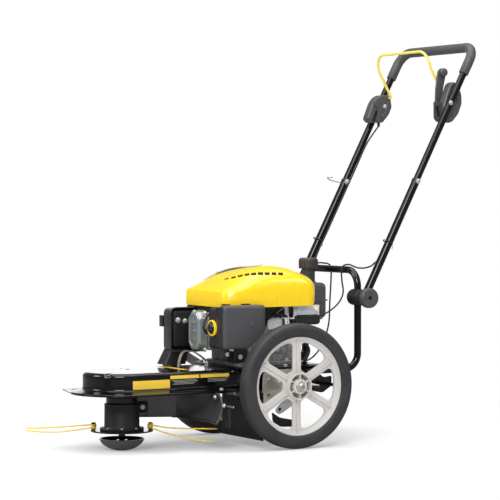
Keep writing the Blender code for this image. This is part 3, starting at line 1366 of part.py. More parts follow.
# Each cable below the handle: across to the frame, over its top bar and down to its end
THROTTLE_LOOP = ((0.165, 0.738, 0.497), (0.140, 0.724, 0.505), (0.116, 0.713, 0.5130),
                 (0.099, 0.7045, 0.5145), (0.088, 0.6935, 0.5135), (0.0845, 0.6845, 0.5060),
                 (0.0840, 0.6820, 0.490), (0.086, 0.6825, 0.465), (0.090, 0.684, 0.430),
                 (0.083, 0.670, 0.398), (0.070, 0.640, 0.372))
BELT_LOOP = ((-0.165, 0.738, 0.497), (-0.130, 0.728, 0.508), (-0.090, 0.716, 0.5135),
             (-0.050, 0.707, 0.5135), (-0.032, 0.7085, 0.5125), (-0.026, 0.7155, 0.503),
             (-0.024, 0.7150, 0.470), (-0.026, 0.712, 0.400), (-0.024, 0.706, 0.330),
             (-0.020, 0.680, 0.270), (-0.015, 0.645, 0.236))


def housing_port(outline, side, i):
    """Where a cable leaves the i-th edge of a housing's outline: the point, and the way out."""
    start, end = (Vector(point) for point in control_points(outline[i:i + 2]))
    along = (end - start).normalized()
    out = Vector((0, along.y, -along.x))
    middle = (start + end) / 2
    return Vector((side * CABLE_X, middle.x, middle.y)) + out * GAP * 2, out


def control_cable(name, side, port, loop, end, hinge):
    """A cable in two pieces that meet below the handle's hinge line: one on the leg, one on the frame."""
    top, out = port
    ahead = HANDLE_TUBE_RADIUS + SOCKET_WALL + CABLE_RADIUS + GAP * 3
    route = [top, top + out * CABLE_RADIUS * 2, top + out * CABLE_RADIUS * 4]
    route += [along_handle(reach, side * CABLE_ON_LEG_X, ahead * 0.75) for reach in CABLE_ON_LEG]
    route.append(along_handle(CABLE_LEAVES, side * CABLE_LEAVES_X, ahead))
    cord(f"{name}_upper", route, CABLE_RADIUS, BLACK_PLASTIC, CABLE_SPACING[0], hinge)
    onward = (route[-1] - route[-2]).normalized()
    start = route[-1] + onward * GAP * 3
    straight = end + Vector((0, CABLE_RADIUS * 6, 0))
    cord(f"{name}_lower", [start, start + onward * CABLE_RADIUS * 4, *loop, straight, end], CABLE_RADIUS,
         BLACK_PLASTIC, CABLE_SPACING[1])


def control_cables(hinge):
    """The throttle cable ends at the control bracket's edge and the belt cable at the engine plate's."""
    bracket_end = Vector((THROTTLE_LOOP[-1][0], BRACKET_Y[1] + GAP,
                          CRANKCASE_TOP + GAP + BRACKET_THICKNESS / 2))
    plate_end = Vector((BELT_LOOP[-1][0], ENGINE_PLATE_Y[1] + GAP,
                        engine_plate_bottom() + ENGINE_PLATE_THICKNESS / 2))
    control_cable("throttle_cable", 1, housing_port(THROTTLE_HOUSING, 1, 0), THROTTLE_LOOP, bracket_end,
                  hinge)
    control_cable("belt_cable", -1, housing_port(BAIL_HOUSING, -1, 1), BELT_LOOP, plate_end, hinge)


def build_head():
    spindle = pivot("spindle_axis", (0, 0, 0))
    spindle_shaft(spindle)
    head_drum(spindle)
    line_disc(spindle)
    pulley("head_pulley", HEAD_PULLEY_RADIUS, SPINDLE_RADIUS + GAP, (0, 0), spindle)
    cutting_lines(spindle)
    skid_cup(pivot("skid_cup_axis", (0, 0, 0)))


def build_deck():
    belt_cover()
    deck_plate()
    debris_guard()
    mud_flap()
    frame_tube()
    engine_plate()
    spindle_housing()
    drive_belt()
    idler(pivot("idler_pivot", (*idler_pivot(), PLATE_BOTTOM)))


def build_wheels():
    for side in (1, -1):
        axle_plate(side)
        hub = pivot(f"wheel_axis_{side}", (side * WHEEL_X, AXLE_Y, WHEEL_RADIUS))
        tyre(side, hub)
        rim(side, hub)


def build_engine():
    crank = pivot("crank_axis", (0, CRANK_Y, 0))
    crankshaft(crank)
    flywheel(crank)
    pulley("engine_pulley", ENGINE_PULLEY_RADIUS, CRANK_RADIUS + GAP, (0, CRANK_Y), crank)
    crankcase()
    cylinder()
    valve_cover()
    spark_plug()
    muffler()
    muffler_guard()
    blower_cover()
    filter_box()
    filter_cover()
    filter_element()
    primer_ring()
    primer_bulb(pivot("primer_axis", (primer_centre()[0], FILTER_Y[0], primer_centre()[1])))
    carburettor()
    control_bracket()
    tank_bracket()
    fuel_tank()
    fuel_cap(pivot("fuel_cap_axis", (*CAP_CENTRE, CAP_Z[0])))
    starter_grip(pivot("starter_axis", GRIP_CENTRE))


def build_handle():
    hinge = pivot("handle_hinge", (0, HINGE_Y, HINGE_Z))
    for side in (1, -1):
        lower_handle(side, hinge)
        handle_knob(side, pivot(f"knob_axis_{side}", (side * HANDLE_HALF_WIDTH, HINGE_Y, HINGE_Z)))
    upper_handle(hinge)
    foam_grip(hinge)
    housing = control_housing("throttle_housing", THROTTLE_HOUSING, 1, hinge)
    add_pivot_hole(housing, control_point(LEVER_PIVOT), LEVER_PIN_RADIUS, 1)
    control_housing("bail_housing", BAIL_HOUSING, -1, hinge)
    throttle_lever(pivot("throttle_pivot", (LEVER_X[0], *control_point(LEVER_PIVOT))))
    bail(pivot("bail_pivot", (0, *control_point(BAIL_PIVOT))))
    control_cables(hinge)


def build():
    clear_scene()
    build_deck()
    build_head()
    build_wheels()
    build_engine()
    build_handle()


build()
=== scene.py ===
"""Finished looks of the wheeled string-trimmer mower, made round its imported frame.

Everything is in metres in the row frame: +Z up, the cutting head at -Y, the push handle at +Y and the
mower's left side at +X. Each operator makes one group of pieces, and main runs them in order.
"""

from math import asin, copysign, cos, hypot, pi, radians, sin, sqrt, tan, tau

import bmesh
import bpy
from bpy.props import FloatProperty, FloatVectorProperty, IntProperty, PointerProperty
from mathutils import Matrix, Vector


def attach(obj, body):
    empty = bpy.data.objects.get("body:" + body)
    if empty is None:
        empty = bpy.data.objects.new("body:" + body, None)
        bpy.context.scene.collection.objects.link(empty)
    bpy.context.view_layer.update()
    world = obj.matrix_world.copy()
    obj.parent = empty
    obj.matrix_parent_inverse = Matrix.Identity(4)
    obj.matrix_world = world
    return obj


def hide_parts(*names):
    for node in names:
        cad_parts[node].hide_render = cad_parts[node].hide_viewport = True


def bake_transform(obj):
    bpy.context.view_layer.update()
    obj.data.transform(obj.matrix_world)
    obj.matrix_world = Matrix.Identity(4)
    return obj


bl_info = {
    "name": "Wheeled trimmer mower",
    "version": (1, 0, 0),
    "blender": (4, 5, 0),
    "location": "3D View > Sidebar > Mower",
    "description": "Makes the finished pieces of a wheeled string-trimmer mower",
    "category": "Object",
}

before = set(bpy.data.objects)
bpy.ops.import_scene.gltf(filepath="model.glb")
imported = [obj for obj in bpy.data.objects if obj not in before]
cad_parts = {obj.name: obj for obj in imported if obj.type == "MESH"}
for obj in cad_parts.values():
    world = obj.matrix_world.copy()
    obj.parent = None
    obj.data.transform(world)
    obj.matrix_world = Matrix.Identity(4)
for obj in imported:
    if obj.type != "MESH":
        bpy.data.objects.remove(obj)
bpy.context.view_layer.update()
# The mower's two sides, as the sign of X and the name
SIDES = ((1, "left"), (-1, "right"))
# How much of the floor is plain white near the mower, and the distances over which it fades to white
FLOOR_LIFT = 0.29
FLOOR_FADE = (0.55, 1.5)
# How much darker the floor is in the mower's reflections, which keeps the black enamel deep
FLOOR_MIRROR_LOSS = 0.75
# The ways that screws and rings face
UP, LEFT, FRONT = (0, 0, 1), (1, 0, 0), (0, -1, 0)


# Plain shapes. A ring is a list of points, and an outline is a list of (u, v) points in a plane.

def to_row(u, v, w, axis):
    """Row coordinates of plane coordinates u and v at the height w along the named axis."""
    return Vector({"X": (w, u, v), "Y": (u, w, v), "Z": (u, v, w)}[axis])


def polar(middle, radius, angle):
    return Vector((middle[0] + radius * cos(angle), middle[1] + radius * sin(angle)))


def circle(middle, radius, count):
    return [polar(middle, radius, tau * i / count) for i in range(count)]


def arc(centre, radius, start, end, steps):
    """Points on part of a circle, with both ends."""
    return [polar(centre, radius, start + (end - start) * i / steps) for i in range(steps + 1)]


def rounded(corners, reach, steps=5):
    """A closed outline with every corner rounded off, starting reach before the corner."""
    outline = []
    for i, corner in enumerate(corners):
        corner = Vector(corner)
        before = Vector(corners[i - 1]) - corner
        after = Vector(corners[(i + 1) % len(corners)]) - corner
        cut = min(reach, before.length / 2.01, after.length / 2.01)
        start = corner + before.normalized() * cut
        end = corner + after.normalized() * cut
        for k in range(steps + 1):
            t = k / steps
            outline.append(start * (1 - t) ** 2 + corner * (2 * t * (1 - t)) + end * t ** 2)
    return outline


def rectangle(low, high):
    return [(low[0], low[1]), (high[0], low[1]), (high[0], high[1]), (low[0], high[1])]


def smooth(points, spacing):
    """Points at about the given spacing on a smooth curve through the given ones."""
    route = [Vector(point) for point in points]
    route = [route[0] * 2 - route[1]] + route + [route[-1] * 2 - route[-2]]
    fine = []
    for a, b, c, d in zip(route, route[1:], route[2:], route[3:]):
        steps = max(2, round((c - b).length / spacing))
        for i in range(steps):
            t = i / steps
            fine.append(0.5 * (2 * b + (c - a) * t + (2 * a - 5 * b + 4 * c - d) * t * t + (3 * b - a - 3 * c
                + d) * t ** 3))
    fine.append(route[-2])
    return fine


def loft(rings, wrap=False):
    """A body through rings of points. A ring of one point is a pole, and wrap joins the last to the first."""
    bm = bmesh.new()
    layers = [[bm.verts.new(point) for point in ring] for ring in rings]
    following = layers[1:] + (layers[:1] if wrap else [])
    for low, high in zip(layers, following):
        count = max(len(low), len(high))
        for i in range(count):
            j = (i + 1) % count
            corners = (low[i % len(low)], low[j % len(low)], high[j % len(high)], high[i % len(high)])
            bm.faces.new(list(dict.fromkeys(corners)))
    if not wrap:
        for end in (layers[0][::-1], layers[-1]):
            if len(end) > 2:
                bm.faces.new(end)
    return bm


def turned(profile, centre, axis="Z", steps=96, wrap=False):
    """Turns (radius, height) points about an axis through centre."""
    rings = []
    for radius, height in profile:
        count = steps if radius > 0 else 1
        rings.append([to_row(centre[0] + radius * cos(tau * i / steps),
            centre[1] + radius * sin(tau * i / steps), height, axis) for i in range(count)])
    return loft(rings, wrap)


def pillar(radius, low, high):
    """A plain cylinder's profile for turning."""
    return [(0.0, low), (radius, low), (radius, high), (0.0, high)]


def prism(outline, axis, low, high, edge=0.0):
    """A straight body on an outline, with both rims cut back by edge."""
    levels = [(low, edge), (low + edge, 0.0), (high - edge, 0.0), (high, edge)] if edge else [(low, 0),
        (high, 0)]
    rings = []
    for height, inset in levels:
        rings.append([to_row(*point, height, axis) for point in inward(outline, inset)])
    return loft(rings)


def signed_area(points):
    """Twice the area of an outline, below zero where it runs clockwise."""
    return sum(a.x * b.y - b.x * a.y for a, b in zip(points, points[1:] + points[:1]))


def inward(outline, distance):
    """An outline moved in by a distance, square to its own edge at each point."""
    points = [Vector(point) for point in outline]
    if not distance:
        return points
    side = 1 if signed_area(points) > 0 else -1
    moved = []
    for i, point in enumerate(points):
        arrive = (point - points[i - 1]).normalized()
        leave = (points[(i + 1) % len(points)] - point).normalized()
        square = Vector((-arrive.y - leave.y, arrive.x + leave.x)) * side
        square.normalize()
        widen = max(0.5, abs(square.dot(Vector((-arrive.y, arrive.x)))))
        moved.append(point + square * distance / widen)
    return moved


def box_shape(low, high, radius=0.001, steps=3, turn=None):
    """A box with rounded edges. turn is a matrix that turns it about its own middle."""
    bm = bmesh.new()
    bmesh.ops.create_cube(bm, size=1)
    low, high = Vector(low), Vector(high)
    bmesh.ops.scale(bm, verts=bm.verts, vec=high - low)
    bmesh.ops.bevel(bm, geom=bm.edges[:], offset=radius, segments=steps, profile=0.5, affect="EDGES")
    if turn:
        bmesh.ops.transform(bm, verts=bm.verts, matrix=turn)
    bmesh.ops.translate(bm, verts=bm.verts, vec=(low + high) / 2)
    return bm


def heading(path, i):
    """The way that a path runs at one of its points."""
    return (path[min(i + 1, len(path) - 1)] - path[max(i - 1, 0)]).normalized()


def sections(path, radius, sides):
    """Round rings square to a path, carried along it without twist. radius is a number or one per point."""
    radii = radius if isinstance(radius, list) else [radius] * len(path)
    rings = []
    across = None
    for i, point in enumerate(path):
        along = heading(path, i)
        across = along.orthogonal() if across is None else across
        across = (across - along * across.dot(along)).normalized()
        other = along.cross(across)
        rings.append([point + across * radii[i] * cos(tau * k / sides)
            + other * radii[i] * sin(tau * k / sides) for k in range(sides)])
    return rings


def tube(path, radius, sides=20):
    return loft(sections([Vector(point) for point in path], radius, sides))


def placed(name, data):
    """A new object of the scene."""
    obj = bpy.data.objects.new(name, data)
    bpy.context.scene.collection.objects.link(obj)
    return obj


def evaluated(obj):
    """A plain mesh of an object as its curve or its modifiers leave it."""
    graph = bpy.context.evaluated_depsgraph_get()
    return bpy.data.meshes.new_from_object(obj.evaluated_get(graph), depsgraph=graph)


def mesh_of(name, bm):
    """A mesh with a bmesh's faces. The bmesh is used up."""
    mesh = bpy.data.meshes.new(name)
    bm.to_mesh(mesh)
    bm.free()
    return mesh


def plate(outlines, axis, low, high, edge=0.0006):
    """A flat plate with rounded rims. The first outline is its edge and the others are holes."""
    curve = bpy.data.curves.new("plate", "CURVE")
    curve.dimensions = "2D"
    curve.fill_mode = "BOTH"
    curve.extrude = (high - low) / 2 - edge
    curve.bevel_depth = edge
    curve.bevel_resolution = 1
    curve.offset = -edge
    for i, outline in enumerate(outlines):
        points = [Vector(point) for point in outline]
        if (signed_area(points) > 0) == (i > 0):
            points.reverse()
        spline = curve.splines.new("POLY")
        spline.points.add(len(points) - 1)
        for target, point in zip(spline.points, points):
            target.co = (point.x, point.y, 0, 1)
        spline.use_cyclic_u = True
    obj = placed("plate", curve)
    mesh = evaluated(obj)
    bm = bmesh.new()
    bm.from_mesh(mesh)
    bpy.data.objects.remove(obj)
    bpy.data.curves.remove(curve)
    bpy.data.meshes.remove(mesh)
    bmesh.ops.remove_doubles(bm, verts=bm.verts, dist=1e-6)
    for vert in bm.verts:
        vert.co = to_row(vert.co.x, vert.co.y, vert.co.z + (low + high) / 2, axis)
    return bm


def gather(parts):
    """One mesh from several, each kept as its own closed body."""
    whole = bmesh.new()
    for part in parts:
        mesh = mesh_of("part", part)
        whole.from_mesh(mesh)
        bpy.data.meshes.remove(mesh)
    return whole


def put(name, parts, finish, replaces=None, sharp=35, body="chassis"):
    """A finished piece of the mower from one mesh or several, riding on a body."""
    bm = gather(parts) if isinstance(parts, list) else parts
    bmesh.ops.recalc_face_normals(bm, faces=bm.faces)
    return seat(name, mesh_of(name, bm), finish, replaces, sharp, body)


def seat(name, mesh, finish, replaces, sharp, body):
    """Puts a mesh into the scene as a piece, with its finish, its body, and the node that it stands for."""
    mesh.shade_smooth()
    mesh.set_sharp_from_angle(angle=radians(sharp))
    mesh.materials.clear()
    mesh.materials.append(FINISHES[finish])
    obj = placed(name, mesh)
    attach(obj, body)
    if replaces:
        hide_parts(replaces)
    return obj


def blended(name, bm):
    """A black rubber piece put into the scene, its place baked into its mesh."""
    bmesh.ops.recalc_face_normals(bm, faces=bm.faces)
    mesh = mesh_of(name, bm)
    mesh.shade_smooth()
    mesh.materials.append(FINISHES["rubber"])
    obj = placed(name, mesh)
    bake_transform(obj)
    return obj


# Geometry Nodes

class Tree:
    """A Geometry Nodes group under construction, with named inputs."""

    def __init__(self, name, inputs):
        self.group = bpy.data.node_groups.new(name, "GeometryNodeTree")
        sockets = self.group.interface
        sockets.new_socket("Geometry", in_out="INPUT", socket_type="NodeSocketGeometry")
        for label, kind in inputs.items():
            sockets.new_socket(label, in_out="INPUT", socket_type=f"NodeSocket{kind}")
        sockets.new_socket("Geometry", in_out="OUTPUT", socket_type="NodeSocketGeometry")
        self.given = self.node("NodeGroupInput").outputs

    def node(self, kind, settings=None, inputs=None):
        made = self.group.nodes.new(kind)
        for key, value in (settings or {}).items():
            setattr(made, key, value)
        for key, value in (inputs or {}).items():
            if isinstance(value, bpy.types.NodeSocket):
                self.group.links.new(value, made.inputs[key])
            else:
                made.inputs[key].default_value = value
        return made

    def end(self, geometry):
        """Closes the tree with Realize Instances and Set Material."""
        real = self.node("GeometryNodeRealizeInstances", inputs={0: geometry})
        painted = self.node("GeometryNodeSetMaterial", inputs={"Geometry": real.outputs[0],
            "Material": self.given["Finish"]})
        self.node("NodeGroupOutput", inputs={0: painted.outputs[0]})
        return self.group


def grow(name, points, tree, values, finish, replaces=None, sharp=35, edges=(), body="chassis"):
    """Runs a Geometry Nodes tree on points and seats the result as a plain mesh.

    points are (place, facing) or (place, facing, bend) rows; facing and bend reach the tree by name.
    """
    mesh = bpy.data.meshes.new(name)
    mesh.from_pydata([tuple(row[0]) for row in points], edges, [])
    mesh.attributes.new("facing", "FLOAT_VECTOR", "POINT")
    mesh.attributes.new("bend", "FLOAT", "POINT")
    for i, row in enumerate(points):
        mesh.attributes["facing"].data[i].vector = row[1]
        mesh.attributes["bend"].data[i].value = row[2] if len(row) > 2 else 0.0
    obj = placed(name + ".points", mesh)
    modifier = obj.modifiers.new(tree.name, "NODES")
    modifier.node_group = tree
    values = dict(values, Finish=FINISHES[finish])
    for item in tree.interface.items_tree:
        if item.item_type == "SOCKET" and item.in_out == "INPUT" and item.name in values:
            modifier[item.identifier] = values[item.name]
    grown = evaluated(obj)
    obj.modifiers.remove(modifier)
    bpy.data.objects.remove(obj)
    bpy.data.meshes.remove(mesh)
    grown.name = name
    return seat(name, grown, finish, replaces, sharp, body)


def facing_tree(name, inputs, build):
    """A tree that sets one shape on every point, its Z turned to the point's facing."""
    tree = Tree(name, {**inputs, "Finish": "Material"})
    facing = tree.node("GeometryNodeInputNamedAttribute", {"data_type": "FLOAT_VECTOR"}, {"Name": "facing"})
    turn = tree.node("FunctionNodeAlignRotationToVector", {"axis": "Z"}, {"Vector": facing.outputs[0]})
    copies = tree.node("GeometryNodeInstanceOnPoints", inputs={"Points": tree.given["Geometry"],
        "Instance": build(tree), "Rotation": turn.outputs[0]})
    return tree.end(copies.outputs[0])


def raised(tree, mesh, height):
    """Moves a shape up by a height socket or number, along its own Z."""
    place = tree.node("ShaderNodeCombineXYZ", inputs={"Z": height})
    return tree.node("GeometryNodeTransform", inputs={"Geometry": mesh, "Translation": place.outputs[0]})


def scaled(tree, socket, factor):
    return tree.node("ShaderNodeMath", {"operation": "MULTIPLY"}, {0: socket, 1: factor}).outputs[0]


def screw_shape(tree):
    """A six-sided head with a chamfered top on a round washer."""
    radius, height = tree.given["Head Radius"], tree.given["Head Height"]
    rim = scaled(tree, radius, 1.45)
    narrow = scaled(tree, radius, 0.82)
    thin = scaled(tree, height, 0.22)
    cap = scaled(tree, height, 0.2)
    washer = tree.node("GeometryNodeMeshCylinder", inputs={"Vertices": 28, "Radius": rim, "Depth": thin})
    head = tree.node("GeometryNodeMeshCylinder", inputs={"Vertices": 6, "Radius": radius, "Depth": height})
    top = tree.node("GeometryNodeMeshCone", inputs={"Vertices": 6, "Radius Top": narrow,
        "Radius Bottom": radius, "Depth": cap})
    shapes = tree.node("GeometryNodeJoinGeometry")
    for shape, lift in ((washer, scaled(tree, thin, 0.5)), (head, scaled(tree, height, 0.5)), (top, height)):
        tree.group.links.new(raised(tree, shape.outputs[0], lift).outputs[0], shapes.inputs[0])
    return shapes.outputs[0]


def rib_ring_shape(tree):
    """Equal ribs round a ring, each a box as long as Depth away from the middle."""
    given = tree.given
    ring = tree.node("GeometryNodeMeshCircle", inputs={"Vertices": given["Count"],
        "Radius": given["Ring Radius"]})
    size = tree.node("ShaderNodeCombineXYZ", inputs={"X": given["Depth"], "Y": given["Width"],
        "Z": given["Height"]})
    rib = tree.node("GeometryNodeMeshCube", inputs={"Size": size.outputs[0]})
    place = tree.node("GeometryNodeInputPosition")
    turn = tree.node("FunctionNodeAlignRotationToVector", {"axis": "X", "pivot_axis": "Z"},
        {"Vector": place.outputs[0]})
    ribs = tree.node("GeometryNodeInstanceOnPoints", inputs={"Points": ring.outputs[0],
        "Instance": rib.outputs[0], "Rotation": turn.outputs[0]})
    return tree.node("GeometryNodeRealizeInstances", inputs={0: ribs.outputs[0]}).outputs[0]


def slab_shape(tree):
    return tree.node("GeometryNodeMeshCube", inputs={"Size": tree.given["Slab Size"]}).outputs[0]


def sweep_tree():
    """A round bar along the points' edges, each corner bent to the point's own radius."""
    tree = Tree("Bent bar", {"Bar Radius": "Float", "Sides": "Int", "Finish": "Material"})
    line = tree.node("GeometryNodeMeshToCurve", inputs={"Mesh": tree.given["Geometry"]})
    bend = tree.node("GeometryNodeInputNamedAttribute", {"data_type": "FLOAT"}, {"Name": "bend"})
    bent = tree.node("GeometryNodeFilletCurve", inputs={"Curve": line.outputs[0], "Radius": bend.outputs[0]})
    for socket in bent.inputs:
        if socket.name == "Mode":
            socket.default_value = "Poly"
    if hasattr(bent, "mode"):
        bent.mode = "POLY"
    bent.inputs["Count"].default_value = 14
    ring = tree.node("GeometryNodeCurvePrimitiveCircle", inputs={"Resolution": tree.given["Sides"],
        "Radius": tree.given["Bar Radius"]})
    bar = tree.node("GeometryNodeCurveToMesh", inputs={"Curve": bent.outputs[0],
        "Profile Curve": ring.outputs[0], "Fill Caps": True})
    return tree.end(bar.outputs[0])


def trees():
    """The Geometry Nodes groups, made once and found again by name."""
    if "Bent bar" not in bpy.data.node_groups:
        facing_tree("Slabs", {"Slab Size": "Vector"}, slab_shape)
        facing_tree("Hex screws", {"Head Radius": "Float", "Head Height": "Float"}, screw_shape)
        facing_tree("Rib rings", {"Count": "Int", "Ring Radius": "Float", "Depth": "Float", "Width": "Float",
            "Height": "Float"}, rib_ring_shape)
        sweep_tree()
    return bpy.data.node_groups


def screws(name, points, finish, radius, height, body="chassis"):
    grow(name, points, trees()["Hex screws"], {"Head Radius": radius, "Head Height": height}, finish,
        sharp=20, body=body)


def rib_ring(name, points, finish, count, radius, depth, width, height, body="chassis"):
    sizes = {"Count": count, "Ring Radius": radius, "Depth": depth, "Width": width, "Height": height}
    grow(name, points, trees()["Rib rings"], sizes, finish, body=body)


def bolt_circle(count, first, radius, height, up):
    """Evenly spaced screws round the spindle, the first at so many degrees. up is the way that they face."""
    spots = [polar((0, 0), radius, radians(first + 360 / count * k)) for k in range(count)]
    return [((*spot, height), (0, 0, up)) for spot in spots]


def bar(name, corners, bends, radius, finish, replaces, sides=28, body="chassis"):
    """A bent round bar through corners, grown along its path."""
    points = [(corner, UP, bend) for corner, bend in zip(corners, [0.0, *bends, 0.0])]
    edges = [(i, i + 1) for i in range(len(points) - 1)]
    grow(name, points, trees()["Bent bar"], {"Bar Radius": radius, "Sides": sides}, finish, replaces, 50,
        edges, body)


# Finishes

class Value:
    """A shader socket that takes part in sums as a number does."""

    def __init__(self, finish, socket):
        self.finish = finish
        self.socket = socket

    def sum(self, operation, first, second):
        return self.finish.node("ShaderNodeMath", {"operation": operation}, {0: first, 1: second})

    def __add__(self, other):
        return self.sum("ADD", self, other)

    def __radd__(self, other):
        return self.sum("ADD", other, self)

    def __sub__(self, other):
        return self.sum("SUBTRACT", self, other)

    def __rsub__(self, other):
        return self.sum("SUBTRACT", other, self)

    def __mul__(self, other):
        return self.sum("MULTIPLY", self, other)

    def __rmul__(self, other):
        return self.sum("MULTIPLY", other, self)

    def __truediv__(self, other):
        return self.sum("DIVIDE", self, other)

    def __rtruediv__(self, other):
        return self.sum("DIVIDE", other, self)

    def __pow__(self, other):
        return self.sum("POWER", self, other)

    def __rpow__(self, other):
        return self.sum("POWER", other, self)

    def spread(self, low, high):
        """Stretches low to high over 0 to 1, smoothly and held at both ends."""
        return self.finish.node("ShaderNodeMapRange", {"interpolation_type": "SMOOTHSTEP"},
            {"Value": self, "From Min": low, "From Max": high})


class Finish:
    """A procedural material on the object's own coordinates, which are the row's at rest."""

    def __init__(self, name, metallic=0.0, coat=0.0, coat_roughness=0.05, specular=0.5):
        self.material = bpy.data.materials.new(name)
        self.material.use_nodes = True
        self.tree = self.material.node_tree
        self.shader = self.tree.nodes["Principled BSDF"]
        self.shader.inputs["Metallic"].default_value = metallic
        self.shader.inputs["Coat Weight"].default_value = coat
        self.shader.inputs["Coat Roughness"].default_value = coat_roughness
        self.shader.inputs["Specular IOR Level"].default_value = specular
        self.place = self.node("ShaderNodeTexCoord", output="Object")

    def node(self, kind, settings=None, inputs=None, output=0):
        """Any node: its type, its settings first, then its inputs. Returns one output as a Value."""
        made = self.tree.nodes.new(kind)
        for key, value in (settings or {}).items():
            setattr(made, key, value)
        for key, value in (inputs or {}).items():
            self.feed(made.inputs[key], value)
        return Value(self, made.outputs[output])

    def feed(self, socket, value):
        if isinstance(value, Value):
            self.tree.links.new(value.socket, socket)
        else:
            socket.default_value = value

    def noise(self, scale, detail=3.0, stretch=(1, 1, 1)):
        """Noise from 0 to 1 with so many waves to the metre, stretched along the axes."""
        place = self.node("ShaderNodeVectorMath", {"operation": "MULTIPLY"}, {0: self.place, 1: stretch})
        return self.node("ShaderNodeTexNoise", inputs={"Vector": place, "Scale": scale, "Detail": detail})

    def cells(self, scale):
        return self.node("ShaderNodeTexVoronoi", inputs={"Vector": self.place, "Scale": scale})

    def axis(self, name):
        """The row's x, y or z at each point, in metres."""
        return self.node("ShaderNodeSeparateXYZ", inputs={0: self.place}, output=name)

    def mix(self, share, low, high):
        """A colour between two, by share."""
        mixer = {"data_type": "RGBA", "clamp_factor": True}
        return self.node("ShaderNodeMix", mixer, {"Factor": share, 6: low, 7: high}, output=2)

    def color(self, value):
        self.feed(self.shader.inputs["Base Color"], value)
        return self

    def rough(self, value):
        self.feed(self.shader.inputs["Roughness"], value)
        return self

    def bump(self, height, distance, strength=1.0):
        bumped = self.node("ShaderNodeBump", inputs={"Height": height, "Distance": distance,
            "Strength": strength})
        self.feed(self.shader.inputs["Normal"], bumped)
        return self


def shade(color, factor):
    """A colour made lighter or darker, as red, green, blue and alpha."""
    return (*(min(1.0, part * factor) for part in color[:3]), 1.0)


def speckled(name, color, low, high, wear=0.12, patch=9.0, grain=None, depth=0.0, **shader):
    """A finish whose colour and roughness drift in soft patches, with an optional fine grain.

    low and high are its roughness, wear is how far its colour drifts and grain is waves to the metre.
    """
    finish = Finish(name, **shader)
    drift = finish.noise(patch)
    fine = finish.noise(patch * 14, 2.0)
    share = (drift * 0.7 + fine * 0.3).spread(0.3, 0.7)
    finish.color(finish.mix(share, shade(color, 1 - wear), shade(color, 1 + wear)))
    finish.rough(low + (high - low) * (fine * 0.6 + drift * 0.4).spread(0.3, 0.7))
    if grain:
        finish.bump(finish.noise(grain, 2.0), depth)
    return finish.material


def cast_metal(name, color):
    """Sand-cast aluminium: a rough grain with shallow dents and darker hollows."""
    finish = Finish(name, metallic=0.55)
    grain = finish.noise(620.0, 4.0)
    dents = finish.noise(60.0, 2.0)
    finish.color(finish.mix(dents.spread(0.35, 0.65), shade(color, 0.72), shade(color, 1.12)))
    finish.rough(0.38 + 0.22 * grain)
    finish.bump(grain * 0.6 + dents * 0.4, 0.0006)
    return finish.material


def turned_metal(name, color):
    """Machined steel with fine marks of the tool."""
    finish = Finish(name, metallic=0.95)
    marks = finish.noise(900.0, 1.0, (1, 1, 6))
    finish.color(finish.mix(marks.spread(0.4, 0.6), shade(color, 0.85), shade(color, 1.1)))
    finish.rough(0.2 + 0.18 * marks)
    finish.bump(marks, 0.00008)
    return finish.material


def zinc_plate(name, color, metallic):
    """Zinc plating: pale metal with a faint yellow and blue cloud and soft scuffs."""
    finish = Finish(name, metallic=metallic)
    cloud = finish.noise(16.0, 3.0)
    scuffs = finish.noise(240.0, 3.0, (1, 0.3, 1))
    warm = (color[0] * 1.05, color[1], color[2] * 0.86, 1.0)
    cool = (color[0] * 0.93, color[1] * 0.99, color[2] * 1.06, 1.0)
    finish.color(finish.mix(cloud.spread(0.38, 0.62), warm, cool))
    finish.rough(0.24 + 0.2 * (scuffs * 0.6 + cloud * 0.4))
    finish.bump(scuffs, 0.0001)
    return finish.material


def foam_rubber(name, color):
    """Closed-cell foam: small cells pitted into a matt skin."""
    finish = Finish(name, specular=0.5)
    cells = finish.cells(520.0)
    soft = finish.noise(40.0)
    finish.color(finish.mix(cells.spread(0.1, 0.7), shade(color, 1.35), shade(color, 0.7)))
    finish.rough(0.42 + 0.12 * soft)
    finish.bump(cells, 0.00012)
    return finish.material


def tyre_rubber(name, color):
    """Plain tyre rubber in soft patches of lighter and darker grey, with a fine grain in its bumps."""
    finish = Finish(name, specular=0.42)
    bloom = finish.noise(12.0, 4.0)
    grain = finish.noise(900.0, 2.0)
    finish.color(finish.mix(bloom.spread(0.32, 0.68), shade(color, 0.86), shade(color, 1.16)))
    finish.rough(0.46 + 0.16 * bloom)
    finish.bump(grain * 0.4 + bloom * 0.6, 0.00025)
    return finish.material


def floor_finish(name):
    """A pale floor that keeps the shadow round the mower and fades into the white world further out."""
    finish = Finish(name, specular=0.15)
    cloud = finish.noise(2.0)
    glossy = finish.node("ShaderNodeLightPath", output="Is Glossy Ray")
    pale = finish.mix(cloud, (0.9, 0.9, 0.9, 1.0), (0.92, 0.92, 0.92, 1.0))
    finish.color(finish.mix(glossy * FLOOR_MIRROR_LOSS, pale, (0.03, 0.03, 0.03, 1.0)))
    finish.rough(0.85 + 0.05 * cloud)
    middle = finish.node("ShaderNodeVectorMath", {"operation": "DISTANCE"},
        {0: finish.place, 1: (0.0, 0.45, 0.0)}, output="Value")
    camera = finish.node("ShaderNodeLightPath", output="Is Camera Ray")
    through = finish.node("ShaderNodeLightPath", output="Is Transmission Ray")
    seen = camera + through + glossy * 0.12
    share = (FLOOR_LIFT + (1 - FLOOR_LIFT) * middle.spread(*FLOOR_FADE)) * seen
    white = finish.node("ShaderNodeEmission", inputs={"Color": (1.0, 1.0, 1.0, 1.0)})
    both = finish.node("ShaderNodeMixShader", inputs={0: share, 1: Value(finish, finish.shader.outputs[0]),
        2: white})
    finish.feed(finish.tree.nodes["Material Output"].inputs["Surface"], both)
    return finish.material


